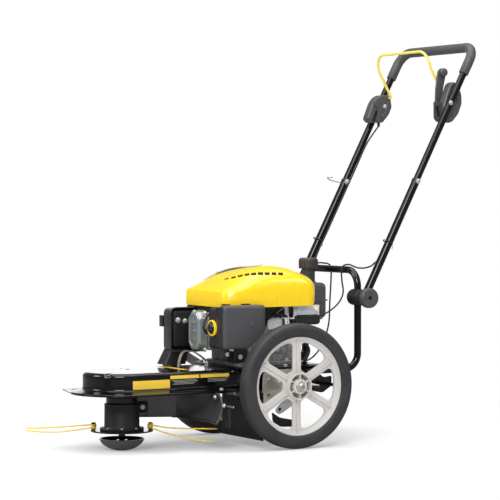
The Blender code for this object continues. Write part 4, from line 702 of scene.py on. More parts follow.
def set_finishes(context):
    """Makes every finish once, from the colours in the panel."""
    c = context.scene.mower_colors
    return {
        "gloss_black": speckled("Gloss black enamel", c.enamel, 0.09, 0.15, 0.15, 7.0, 90.0, 0.00003,
                                coat=0.3, coat_roughness=0.05, specular=0.3),
        "heat_black": speckled("Heat-proof black", c.enamel, 0.5, 0.7, 0.25, 20.0, 700.0, 0.0003),
        "black_plastic": speckled("Black plastic", c.plastic_black, 0.38, 0.5, 0.12, 12.0, 1400.0, 0.00008),
        "satin_plastic": speckled("Satin black plastic", c.plastic_satin, 0.22, 0.32, 0.1, 10.0, 1400.0,
                                  0.00004, coat=0.25, coat_roughness=0.18),
        "gloss_grey": speckled("Gloss charcoal", c.plastic_grey, 0.12, 0.2, 0.08, 8.0, coat=0.5),
        "housing_plastic": speckled("Control housing plastic", c.housing, 0.36, 0.48, 0.08, 14.0, 1500.0,
                                    0.00006),
        "cap_plastic": speckled("Cap plastic", c.cap, 0.42, 0.55, 0.12, 14.0, 1400.0, 0.00008),
        "grey_plastic": speckled("Charcoal plastic", c.plastic_grey, 0.36, 0.46, 0.08, 8.0, 1600.0, 0.00008),
        "pale_plastic": speckled("Pale wheel plastic", c.wheel, 0.34, 0.46, 0.05, 9.0, 900.0, 0.00006),
        "yellow_cover": speckled("Yellow gloss cover", c.cover, 0.22, 0.3, 0.03, 5.0, 260.0, 0.00005,
                                 coat=0.45, coat_roughness=0.1),
        "yellow_bar": speckled("Yellow enamel", c.bail, 0.28, 0.4, 0.03, 6.0, 90.0, 0.00002, coat=0.3),
        "yellow_line": speckled("Nylon line", c.line, 0.32, 0.45, 0.08, 30.0, 900.0, 0.00006),
        "yellow_label": speckled("Yellow film", c.label, 0.36, 0.46, 0.04, 18.0, 900.0, 0.00002),
        "grey_label": speckled("Pale print", c.rule, 0.4, 0.5, 0.05, 18.0, 900.0, 0.00002),
        "rubber": speckled("Black rubber", c.rubber, 0.5, 0.66, 0.18, 16.0, 900.0, 0.00012),
        "gloss_rubber": speckled("Glossy rubber", c.rubber, 0.14, 0.22, 0.15, 16.0, 900.0, 0.00002),
        "tyre": tyre_rubber("Tyre rubber", c.tyre),
        "foam": foam_rubber("Foam rubber", c.foam),
        "zinc": zinc_plate("Zinc plate", c.zinc, 0.8),
        # Pale, little metallic zinc whose diffuse colour paints in the reflection of the white surroundings
        "zinc_with_painted_reflection": zinc_plate("Zinc plate with painted reflection", c.bright, 0.35),
        "valve_metal": zinc_plate("Pressed valve cover", c.valve, 0.6),
        "cast_aluminium": cast_metal("Cast aluminium", c.aluminium),
        "pale_steel": speckled("Pale governor steel", c.bright, 0.3, 0.42, 0.06, 30.0),
        "steel": turned_metal("Turned steel", c.steel),
        # Near-black painted shade, put into holes, slots, gaps and grooves where the real mower only lies in
        # shadow
        "hollow_shade": speckled("Painted shade in hollows", (0.004, 0.004, 0.004), 0.8, 0.9, 0.3, 40.0),
    }


FINISHES = {}


# The sizes and colours that the panel shows

def length(label, value, about):
    return FloatProperty(name=label, description=about, default=value, unit="LENGTH", precision=4)


def tint(label, value, about):
    return FloatVectorProperty(name=label, description=about, default=value, subtype="COLOR", size=3, min=0.0,
        max=1.0)


class MowerSizes(bpy.types.PropertyGroup):
    """The driving sizes of the finished pieces, in metres."""

    wheel_x: length("Wheel offset", 0.2305, "Middle of each wheel from the mower's middle plane")
    tread_width: length("Tyre width", 0.048, "Width over the tyre's walls")
    rim_radius: length("Rim radius", 0.1405, "Where the tyre sits on the rim")
    spoke_width: length("Spoke width", 0.026, "Width of each spoke")
    spoke_count: IntProperty(name="Spokes", description="Spokes in each wheel", default=6, min=3, max=12)
    axle_y: length("Axle behind spindle", 0.4358, "Distance from the spindle back to the wheel axle")
    cup_radius: length("Bowl radius", 0.0644, "Widest radius of the bowl under the head")
    disc_radius: length("Disc radius", 0.0885, "Radius of the disc that carries the lines")
    line_radius: length("Line radius", 0.002, "Half the thickness of the cutting line")
    cover_half: length("Belt cover half width", 0.11, "Half the width of the belt cover's dome")
    cover_top: length("Belt cover top", 0.222, "Height of the belt cover's top")
    tube_radius: length("Tube radius", 0.0105, "Half the thickness of the handle and frame tubes")
    frame_half: length("Frame half width", 0.1445, "Half the distance between the frame's rails")
    handle_half: length("Handle half width", 0.191, "Half the distance between the handle's legs")
    handle_length: length("Handle length", 0.838, "From the hinge up to the crossbar's middle line")
    handle_lean: FloatProperty(name="Handle lean", description="Lean of the handle from upright",
        default=radians(28.1), subtype="ANGLE")
    foam_radius: length("Grip radius", 0.0145, "Outside of the foam on the crossbar")
    vent_count: IntProperty(name="Vents", description="Cooling slots in the engine cover", default=9, min=3,
        max=20)
    cable_radius: length("Cable radius", 0.0024, "Half the thickness of a control cable")


class MowerColors(bpy.types.PropertyGroup):
    """The base colours of the finishes."""

    enamel: tint("Enamel", (0.0045, 0.0045, 0.005), "Black enamel of the deck and tubes")
    plastic_black: tint("Black plastic", (0.017, 0.016, 0.019), "Trimmer head, guards and knobs")
    plastic_grey: tint("Charcoal plastic", (0.066, 0.064, 0.068), "Filter cover, tank and housings")
    plastic_satin: tint("Satin plastic", (0.03, 0.029, 0.033), "Debris guard and muffler tray")
    cap: tint("Cap", (0.062, 0.056, 0.053), "Fuel cap")
    housing: tint("Housings", (0.066, 0.066, 0.07), "Control housings")
    wheel: tint("Wheel", (0.6, 0.575, 0.555), "Wheel rims")
    cover: tint("Cover", (0.97, 0.66, 0.01), "Engine cover")
    bail: tint("Bail", (0.86, 0.68, 0.1), "Bail bar")
    line: tint("Line", (0.86, 0.6, 0.03), "Cutting line")
    label: tint("Label", (0.86, 0.57, 0.045), "Plain yellow film")
    rule: tint("Rule", (0.45, 0.44, 0.42), "Thin rules on the belt cover")
    rubber: tint("Rubber", (0.018, 0.017, 0.018), "Flap, cables and primer bulb")
    tyre: tint("Tyre", (0.034, 0.032, 0.035), "Tyres")
    foam: tint("Foam", (0.07, 0.07, 0.074), "Grip")
    zinc: tint("Zinc", (0.78, 0.775, 0.75), "Plated brackets and screws")
    # Pale so that the zinc finish can paint in the reflection of the white surroundings; the governor bar's
    # pale steel uses it too
    bright: tint("Bright zinc", (0.92, 0.93, 0.95), "Control plate and its bar")
    valve: tint("Valve cover", (0.38, 0.405, 0.41), "Pressed valve cover")
    aluminium: tint("Aluminium", (0.34, 0.335, 0.325), "Castings")
    steel: tint("Steel", (0.55, 0.55, 0.56), "Shafts and pulleys")


# One operator for each group of pieces

STEPS = []


def step(made):
    """Lists an operator for main and the panel, in order."""
    STEPS.append(made)
    return made


def aimed(obj, target):
    obj.rotation_euler = (Vector(target) - obj.location).to_track_quat("-Z", "Y").to_euler()


def soft_light(name, place, target, size, power, color=(1, 1, 1)):
    data = bpy.data.lights.new(name, "AREA")
    data.shape = "RECTANGLE"
    data.size, data.size_y = size
    data.energy = power
    data.color = color
    lamp = placed(name, data)
    lamp.location = place
    aimed(lamp, target)


# Each light's name, place, target, size and power
LIGHTS = (("Top light", (0.2, 0.3, 2.9), (0.0, 0.45, 0.3), (3.0, 3.4), 88), ("Key light", (3.6, -2.5, 3.3),
    (0.0, 0.4, 0.4), (2.2, 1.8), 138), ("Left light", (-1.6, -3.4, 2.6), (0.0, 0.3, 0.4), (1.6, 1.6), 56),
    ("Right light", (3.0, 3.4, 3.0), (0.0, 0.5, 0.5), (1.6, 1.6), 34), ("Back light", (-3.6, 2.7, 0.95),
    (0.0, 0.4, 0.3), (4.4, 1.5), 26))
WORLD_LIGHT = 0.22
CAMERA_AT = Vector((5.51176, -2.82514, 0.72915))
CAMERA_AZIMUTH = radians(59.516)
CAMERA_PITCH = radians(1.5346)
CAMERA_LENS = 158.175


@step
class MOWER_OT_stage(bpy.types.Operator):
    """Sets the camera, the pale floor, the white world and the soft lights."""

    bl_idname = "mower.stage"
    bl_label = "Stage"

    def execute(self, context):
        scene = context.scene
        data = bpy.data.cameras.new("Camera")
        data.lens = CAMERA_LENS
        data.sensor_width = 36
        camera = placed("Camera", data)
        camera.location = CAMERA_AT
        flat = cos(CAMERA_PITCH)
        ahead = Vector((-sin(CAMERA_AZIMUTH) * flat, cos(CAMERA_AZIMUTH) * flat, -sin(CAMERA_PITCH)))
        aimed(camera, CAMERA_AT + ahead)
        scene.camera = camera
        scene.view_settings.view_transform = "Standard"
        scene.view_settings.look = "None"
        FINISHES.update(set_finishes(context))
        self.floor()
        self.world(scene)
        for light in LIGHTS:
            soft_light(*light)
        return {"FINISHED"}

    def floor(self):
        bm = bmesh.new()
        bmesh.ops.create_grid(bm, x_segments=1, y_segments=1, size=14.0)
        mesh = mesh_of("floor", bm)
        mesh.materials.append(floor_finish("Pale floor"))
        placed("floor", mesh)

    def world(self, scene):
        world = bpy.data.worlds.new("White")
        scene.world = world
        world.use_nodes = True
        tree = world.node_tree
        backdrop = tree.nodes["Background"]
        backdrop.inputs["Color"].default_value = (1, 1, 1, 1)
        lit = tree.nodes.new("ShaderNodeBackground")
        lit.inputs["Color"].default_value = (0.97, 0.98, 1.0, 1)
        lit.inputs["Strength"].default_value = WORLD_LIGHT
        path = tree.nodes.new("ShaderNodeLightPath")
        mix = tree.nodes.new("ShaderNodeMixShader")
        tree.links.new(path.outputs["Is Camera Ray"], mix.inputs[0])
        tree.links.new(lit.outputs[0], mix.inputs[1])
        tree.links.new(backdrop.outputs[0], mix.inputs[2])
        tree.links.new(mix.outputs[0], tree.nodes["World Output"].inputs["Surface"])


# The free strands of the line, as (out along it, aside, height), and the half turns to each one's side
LINE_BEARING = radians(59.5)
STRANDS = {
    "left_upper": (0, ((0.073, -0.001, 0.0705), (0.0765, -0.0062, 0.0705), (0.08, -0.0072, 0.0703),
                       (0.09, -0.0045, 0.0695), (0.13, -0.006, 0.0665), (0.18, -0.0085, 0.0625),
                       (0.23, -0.0115, 0.06), (0.2715, -0.013, 0.059))),
    "left_lower": (0, ((0.073, 0.001, 0.0655), (0.0765, 0.0062, 0.0652), (0.08, 0.0072, 0.0645),
                       (0.09, 0.0062, 0.062), (0.13, 0.007, 0.056), (0.18, 0.011, 0.051),
                       (0.23, 0.015, 0.052), (0.27, 0.017, 0.056))),
    "right_upper": (1, ((0.073, 0.001, 0.0705), (0.0765, 0.0062, 0.0705), (0.08, 0.0072, 0.0702),
                        (0.09, 0.0045, 0.068), (0.125, 0.006, 0.062), (0.17, 0.008, 0.059),
                        (0.225, 0.011, 0.058), (0.268, 0.013, 0.0575))),
    "right_lower": (1, ((0.073, -0.001, 0.0655), (0.0765, -0.0062, 0.0652), (0.08, -0.0072, 0.064),
                        (0.092, -0.0062, 0.059), (0.128, -0.008, 0.047), (0.174, -0.011, 0.036),
                        (0.219, -0.015, 0.0275), (0.26, -0.018, 0.0245))),
}


# The posts' distance from the spindle, and the coil of line round each
POST_REACH = 0.08
COIL_RADIUS, COIL_FOOT, COIL_RISE = 0.0064, 0.0598, 0.014
COIL_TURNS, COIL_STEPS = 3, 72


def strand_points(half_turns, route):
    """A strand's route in the row frame, on its side of the head."""
    angle = LINE_BEARING + pi * (1 - half_turns)
    along = Vector((cos(angle), sin(angle), 0))
    aside = Vector((-along.y, along.x, 0))
    return [along * out + aside * off + Vector((0, 0, height)) for out, off, height in route]


@step
class MOWER_OT_lines(bpy.types.Operator):
    """The four free strands of the cutting line, and the loops that fold round their posts."""

    bl_idname = "mower.lines"
    bl_label = "Cutting lines"

    def execute(self, context):
        radius = context.scene.mower_sizes.line_radius
        for name, (half_turns, route) in STRANDS.items():
            points = smooth(strand_points(half_turns, route), 0.004)
            curve = bpy.data.curves.new(f"line_{name}", "CURVE")
            curve.dimensions = "3D"
            curve.bevel_depth = radius
            curve.bevel_resolution = 4
            curve.use_fill_caps = True
            spline = curve.splines.new("POLY")
            spline.points.add(len(points) - 1)
            for target, point in zip(spline.points, points):
                target.co = (*point, 1.0)
            curve.materials.append(FINISHES["yellow_line"])
            strand = placed(f"line_{name}", curve)
            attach(strand, "head")
            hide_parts(f"cutting_line_{name}")
            span = sum((b - a).length for a, b in zip(points, points[1:]))
        self.coils(radius)
        return {"FINISHED"}

    def coils(self, radius):
        """The turns of line that hold the strands to each post."""
        for half_turns, label in ((0, "left"), (1, "right")):
            route = []
            for i in range(COIL_STEPS + 1):
                turn = tau * COIL_TURNS * i / COIL_STEPS
                route.append((POST_REACH + COIL_RADIUS * cos(turn), COIL_RADIUS * sin(turn),
                    COIL_FOOT + COIL_RISE * i / COIL_STEPS))
            put(f"line_coil_{label}", tube(strand_points(half_turns, route), radius * 0.95, 12),
                "yellow_line", sharp=60, body="head")


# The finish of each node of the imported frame
CAD_FINISHES = {
    "gloss_black": ("belt_cover", "deck_plate", "frame_tube", "engine_plate", "spindle_housing", "line_disc",
                    "skid_cup", "lower_handle_left", "lower_handle_right", "upper_handle", "tank_bracket"),
    "heat_black": ("muffler",),
    "black_plastic": ("debris_guard", "head_drum", "filter_box", "spark_plug_boot", "fuel_cap",
                      "starter_grip", "handle_knob_left", "handle_knob_right", "throttle_lever"),
    "grey_plastic": ("filter_cover", "muffler_guard", "throttle_housing", "bail_housing", "fuel_tank"),
    "pale_plastic": ("rim_left", "rim_right"),
    "yellow_cover": ("blower_cover", "primer_ring"),
    "yellow_bar": ("bail_bar",),
    "yellow_line": ("cutting_line_left_upper", "cutting_line_left_lower", "cutting_line_right_upper",
                    "cutting_line_right_lower"),
    "tyre": ("tyre_left", "tyre_right"),
    "rubber": ("mud_flap", "drive_belt", "primer_bulb", "throttle_cable_upper", "throttle_cable_lower",
               "belt_cable_upper", "belt_cable_lower"),
    "foam": ("foam_grip", "filter_element"),
    "zinc": ("axle_plate_left", "axle_plate_right", "valve_cover", "control_bracket", "idler_arm"),
    "cast_aluminium": ("crankcase", "cylinder", "carburettor", "flywheel"),
    "steel": ("crankshaft", "engine_pulley", "head_pulley", "spindle_shaft", "idler_pulley"),
}


@step
class MOWER_OT_frame_finishes(bpy.types.Operator):
    """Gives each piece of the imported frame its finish."""

    bl_idname = "mower.frame_finishes"
    bl_label = "Frame finishes"

    def execute(self, context):
        for name, nodes in CAD_FINISHES.items():
            for node in nodes:
                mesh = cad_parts[node].data
                mesh.materials.clear()
                mesh.materials.append(FINISHES[name])
        return {"FINISHED"}


# Wheels

AXLE_Z = 0.178
HUB_END = 0.2555
HUB_RADIUS = 0.0375
# Half the thickness of the spokes' sheet
SPOKE_HALF = 0.0042
# The width that the tyre's section is drawn at, before it is stretched to the tyre's own
SECTION_WIDTH = 0.04
# The tyre's section from its inner bead to its outer one, as (radius, distance from the wheel's middle)
TYRE_SECTION = ((0.1407, 0.0155), (0.1425, 0.0178), (0.148, 0.0188), (0.156, 0.0197), (0.162, 0.02),
    (0.1655, 0.0199), (0.1668, 0.0192), (0.1692, 0.0189), (0.172, 0.0179), (0.1747, 0.016), (0.1765, 0.013),
    (0.1776, 0.008), (0.178, 0.0))


def window_outline(middle, turn, sizes):
    """The window's outline from its four sides, with large round corners at the rim and small at the hub."""
    outer = sizes.rim_radius - 0.015
    inner = 0.045
    half_turn = pi / sizes.spoke_count
    half = sizes.spoke_width / 2

    def edge(radius):
        return half_turn - asin(half / radius)

    corner = 0.017
    full = edge(outer)
    swing = corner / outer
    points = [polar(middle, outer, turn + (full - swing * 1.25) * k / 5) for k in range(-5, 6)]
    low = outer - corner
    tip = polar(middle, outer, turn + full)
    a, b = points[-1], polar(middle, low, turn + edge(low))
    turned_corner = [a.lerp(tip, t).lerp(tip.lerp(b, t), t) for t in (k / 6 for k in range(1, 7))]
    foot = 0.007
    c = polar(middle, inner + foot, turn + edge(inner + foot))
    d_tip = polar(middle, inner, turn + edge(inner))
    d = polar(middle, inner, turn + edge(inner) * 0.35)
    inner_corner = [c.lerp(d_tip, t).lerp(d_tip.lerp(d, t), t) for t in (k / 6 for k in range(7))]
    half_side = turned_corner + inner_corner
    axis = Vector((cos(turn), sin(turn)))
    centre = Vector(middle)
    mirrored = []
    for point in reversed(half_side):
        off = point - centre
        mirrored.append(centre + axis * 2 * off.dot(axis) - off)
    return points + half_side + mirrored


def wheel_profile(points, side, x):
    """Profile points as (radius, x) for a wheel on one side."""
    return [(radius, side * (x + offset)) for radius, offset in points]


def spoke_ribs(name, side, x, sizes, body):
    """The raised rib along the middle of each spoke, from the hub's ring to the rim."""
    place = (side * (x + 0.0043), sizes.axle_y, AXLE_Z)
    reach = sizes.rim_radius - 0.0105 - HUB_RADIUS
    rib_ring(name, [(place, (side, 0, 0))], "pale_plastic", sizes.spoke_count, HUB_RADIUS + reach / 2, reach,
        0.0046, 0.01, body=body)


@step
class MOWER_OT_wheels(bpy.types.Operator):
    """Two tyres on spoked rims, with their hubs, axle plates and nuts."""

    bl_idname = "mower.wheels"
    bl_label = "Wheels"

    def execute(self, context):
        sizes = context.scene.mower_sizes
        for side, label in SIDES:
            self.tyre(sizes, side, label)
            self.rim(sizes, side, label)
            self.axle(sizes, side, label)
        return {"FINISHED"}

    def tyre(self, sizes, side, label):
        half = [(radius, offset * sizes.tread_width / SECTION_WIDTH) for radius, offset in TYRE_SECTION]
        section = [(radius, -offset) for radius, offset in half[:-1]] + half[::-1]
        profile = wheel_profile(section, side, sizes.wheel_x)
        put(f"wheel_tyre_{label}", turned(profile, (sizes.axle_y, AXLE_Z), "X", 160, wrap=True), "tyre",
            f"tyre_{label}", 50, body=f"wheel_{label}")

    def rim(self, sizes, side, label):
        middle = (sizes.axle_y, AXLE_Z)
        x = sizes.wheel_x
        band = sizes.rim_radius - 0.0003
        ring = [(band, -0.0165), (band, 0.0165), (band - 0.0008, 0.0172), (band - 0.0024, 0.0172),
            (band - 0.0034, 0.016), (band - 0.006, 0.0085), (band - 0.0095, 0.0052), (band - 0.0135, 0.0045),
            (band - 0.0135, -0.0045), (band - 0.0095, -0.0052), (band - 0.006, -0.0085),
            (band - 0.0034, -0.016), (band - 0.0024, -0.0172), (band - 0.0008, -0.0172)]
        parts = [turned(wheel_profile(ring, side, x), middle, "X", 144, wrap=True)]
        outline = circle(middle, band - 0.012, 144)
        windows = [window_outline(middle, pi / 2 + pi * (2 * i + 1) / sizes.spoke_count,
            sizes) for i in range(sizes.spoke_count)]
        bore = circle(middle, 0.0355, 72)
        ends = sorted((side * (x - SPOKE_HALF), side * (x + SPOKE_HALF)))
        parts.append(plate([outline, *windows, bore], "X", *ends, edge=0.0011))
        outer_end = HUB_END - x - 0.0005
        hub = [(0.0345, -0.0245), (HUB_RADIUS, -0.0245), (HUB_RADIUS, outer_end - 0.0012),
            (0.0368, outer_end), (0.0352, outer_end), (0.0345, outer_end - 0.001)]
        floor = [(0.018, -0.01), (0.035, -0.01), (0.035, -0.0075), (0.018, -0.0075)]
        boss = [(0.01, -0.0245), (0.0205, -0.0245), (0.021, outer_end - 0.001), (0.0202, outer_end),
            (0.016, outer_end), (0.0152, outer_end - 0.001), (0.014, outer_end - 0.0035),
            (0.01, outer_end - 0.0035)]
        for profile, steps in ((hub, 72), (floor, 48), (boss, 56)):
            parts.append(turned(wheel_profile(profile, side, x), middle, "X", steps, wrap=True))
        put(f"wheel_rim_{label}", parts, "pale_plastic", f"rim_{label}", 40, body=f"wheel_{label}")
        spoke_ribs(f"wheel_ribs_{label}", side, x, sizes, f"wheel_{label}")
        web_x = side * (x + outer_end - 0.011)
        rib_ring(f"wheel_webs_{label}", [((web_x, *middle), (side, 0, 0))], "pale_plastic", 6, 0.0278, 0.014,
            0.0022, 0.02, body=f"wheel_{label}")

    def axle(self, sizes, side, label):
        inner, outer = 0.1553, 0.1593
        middle = (sizes.axle_y, AXLE_Z)
        y = sizes.axle_y
        outline = rounded([(y - 0.062, 0.2203), (y - 0.068, 0.2), (y - 0.068, 0.122), (y - 0.02, 0.126),
            (y + 0.03, 0.15), (y + 0.064, 0.19), (y + 0.064, 0.2203)], 0.012)
        hole = circle((y - 0.0475, 0.1486), 0.0034, 20)
        ends = sorted((side * inner, side * outer))
        parts = [plate([outline, hole], "X", *ends, edge=0.0005)]
        brace = rounded([(y - 0.03, 0.105), (y - 0.015, 0.09), (y + 0.048, 0.125), (y + 0.048, 0.156),
            (y + 0.015, 0.143)], 0.012)
        end_hole = circle((y - 0.013, 0.1065), 0.0052, 24)
        ends = sorted((side * (outer - 0.0002), side * (outer + 0.003)))
        parts.append(plate([brace, end_hole], "X", *ends, edge=0.0004))
        shaft = [(0.0, side * 0.15), (0.014, side * 0.15), (0.014, side * 0.205), (0.0092, side * 0.2052),
            (0.0092, side * 0.256), (0.0, side * 0.256)]
        parts.append(turned(shaft, middle, "X", 40))
        put(f"axle_{label}", parts, "zinc", f"axle_plate_{label}")
        # Black discs just behind the plate's hole and the brace's hole: painted shade seen through them
        hole_shades = []
        for across, place, x in ((0.0045, (y - 0.0475, 0.1486), inner), (0.0062, (y - 0.013, 0.1065), outer)):
            disc = pillar(across, side * (x - 0.0016), side * (x - 0.0003))
            hole_shades.append(turned(disc, place, "X", 28))
        put(f"axle_hole_shade_{label}", hole_shades, "black_plastic")
        washer = [(0.0, side * 0.254), (0.015, side * 0.254), (0.015, side * 0.2556), (0.0145, side * 0.256),
            (0.0, side * 0.256)]
        put(f"axle_washer_{label}", turned(washer, middle, "X", 40), "zinc")
        screws(f"axle_nut_{label}", [((side * 0.2558, *middle), (side, 0, 0))], "zinc", 0.01, 0.0072)
        tip = [(0.0, side * 0.262), (0.0058, side * 0.262), (0.0058, side * 0.2668), (0.0048, side * 0.2676),
            (0.0, side * 0.2676)]
        put(f"axle_tip_{label}", turned(tip, middle, "X", 24), "steel")
        screws(f"axle_plate_bolt_{label}", [((side * outer, y - 0.0488, 0.1906), (side, 0, 0))], "zinc",
            0.0062, 0.005)


# Trimmer head

@step
class MOWER_OT_head(bpy.types.Operator):
    """The drum, its bolted ring, the line disc with its posts, and the bowl that slides on the ground."""

    bl_idname = "mower.head"
    bl_label = "Trimmer head"

    def execute(self, context):
        sizes = context.scene.mower_sizes
        self.drum()
        self.disc(sizes)
        self.bowl(sizes)
        return {"FINISHED"}

    def drum(self):
        profile = [(0.0, 0.0568), (0.061, 0.0568), (0.062, 0.0578), (0.062, 0.0618), (0.061, 0.0628),
            (0.052, 0.0632), (0.0506, 0.0645), (0.05, 0.067), (0.049, 0.1295), (0.0484, 0.1312),
            (0.0472, 0.1317), (0.0, 0.1317)]
        parts = [turned(profile, (0, 0), "Z", 96)]
        put("head_drum_body", parts, "black_plastic", "head_drum", 40, body="head")
        sleeve = pillar(0.0096, 0.0285, 0.0527)
        put("head_sleeve", turned(sleeve, (0, 0), "Z", 40), "gloss_black", body="head")
        band = [(0.049, 0.1268), (0.0497, 0.1272), (0.0499, 0.129), (0.0493, 0.1302), (0.0486, 0.1302)]
        put("head_drum_lip", turned(band, (0, 0), "Z", 96, wrap=True), "black_plastic", body="head")
        screws("head_ring_screws", bolt_circle(8, 18, 0.0565, 0.0627, 1), "zinc", 0.0032, 0.0024, body="head")

    def disc(self, sizes):
        radius = sizes.disc_radius
        profile = [(0.0, 0.0525), (radius - 0.0008, 0.0525), (radius, 0.0533), (radius, 0.0557),
            (radius - 0.0008, 0.0565), (0.0, 0.0565)]
        parts = [turned(profile, (0, 0), "Z", 112)]
        for half_turns in (0, 1):
            angle = LINE_BEARING + pi * half_turns
            centre = (POST_REACH * cos(angle), POST_REACH * sin(angle))
            post = [(0.0, 0.056), (0.0075, 0.056), (0.007, 0.0576), (0.0043, 0.058), (0.0043, 0.0745),
                (0.0064, 0.0748), (0.0066, 0.0766), (0.0055, 0.0775), (0.0, 0.0775)]
            parts.append(turned(post, centre, "Z", 24))
        put("head_disc", parts, "gloss_black", "line_disc", body="head")

    def bowl(self, sizes):
        radius = sizes.cup_radius
        outer = [(0.0, 0.0), (0.02, 0.0), (0.0222, 0.0006), (0.0361, 0.0045), (0.044, 0.009),
            (0.0509, 0.0134), (0.0568, 0.019), (0.0599, 0.0234), (0.063, 0.029), (radius - 0.0002, 0.0316),
            (radius - 0.0008, 0.0324), (radius - 0.0022, 0.0324), (0.0596, 0.027), (0.056, 0.0225),
            (0.048, 0.0156), (0.04, 0.011), (0.03, 0.007), (0.02, 0.0048), (0.0165, 0.0046), (0.0158, 0.027),
            (0.015, 0.028), (0.0, 0.028)]
        put("skid_bowl", turned(outer, (0, 0), "Z", 112), "gloss_grey", "skid_cup", 40, body="skid")


# Deck

PLATE_BOTTOM = 0.16
DECK_TOP = 0.163
COVER_REAR = 0.565
COVER_CORNER = 0.035
COVER_EDGE = 0.012
COVER_WALL = 0.0025
BRIM = 0.034
CRANK_Y = 0.42
# Screw pockets on the cover's top edge, as (x, y)
POCKETS = ((0.069, -0.078), (-0.075, -0.054), (-0.112, 0.036), (0.112, 0.3), (-0.112, 0.3), (0.06, 0.565),
    (-0.06, 0.565))
POCKET_REACH = 0.013


def cover_plan(sizes, offset):
    """The belt cover's plan moved out by offset: a half circle round the spindle, then straight sides."""
    half = sizes.cover_half + offset
    rear = COVER_REAR + offset
    corner = COVER_CORNER + offset
    sides = 64
    points = arc((0, 0), half, 0, -pi, 120)
    points += [Vector((-half, (rear - corner) * i / sides)) for i in range(1, sides)]
    turn = arc((-half + corner, rear - corner), corner, pi, pi / 2, 12)
    across = [Vector(((half - corner) * (2 * i / 20 - 1), rear)) for i in range(1, 20)]
    points += turn + across + [Vector((-point.x, point.y)) for point in reversed(turn)]
    points += [Vector((half, (rear - corner) * i / sides)) for i in range(sides - 1, 0, -1)]
    return points


def pocket_share(point):
    """How deep a point is in the nearest screw pocket, from 0 outside to 1 in its middle."""
    near = min((Vector(pocket) - Vector(point)).length for pocket in POCKETS)
    t = max(0.0, 1.0 - near / POCKET_REACH)
    return t * t * (3 - 2 * t)


def cover_ring(sizes, offset, height, dip):
    """One ring of the cover's wall. dip is how far it sinks and gives way inwards at the pockets."""
    ring = []
    for edge, point in zip(cover_plan(sizes, 0.0), cover_plan(sizes, offset)):
        share = pocket_share(edge) * dip
        inwards = (Vector((0, min(max(point.y, 0.0), COVER_REAR - 0.05))) - point).normalized()
        moved = point + inwards * share * 0.9
        ring.append((moved.x, moved.y, height - share))
    return ring


def wall_point(sizes, along, offset):
    """A point on the cover's near wall, so far along it behind the spindle."""
    half = sizes.cover_half + offset
    if along >= 0:
        return (half, along)
    turn = along / sizes.cover_half
    return (half * cos(turn), half * sin(turn))


def film(name, sizes, start, end, low, high, finish):
    """A thin film stuck along the cover's near wall."""
    rings = []
    steps = 24
    for i in range(steps + 1):
        along = start + (end - start) * i / steps
        ring = []
        for offset, height in ((0.00005, low), (0.00045, low), (0.00045, high), (0.00005, high)):
            ring.append((*wall_point(sizes, along, offset), height))
        rings.append(ring)
    return put(name, loft(rings), finish)


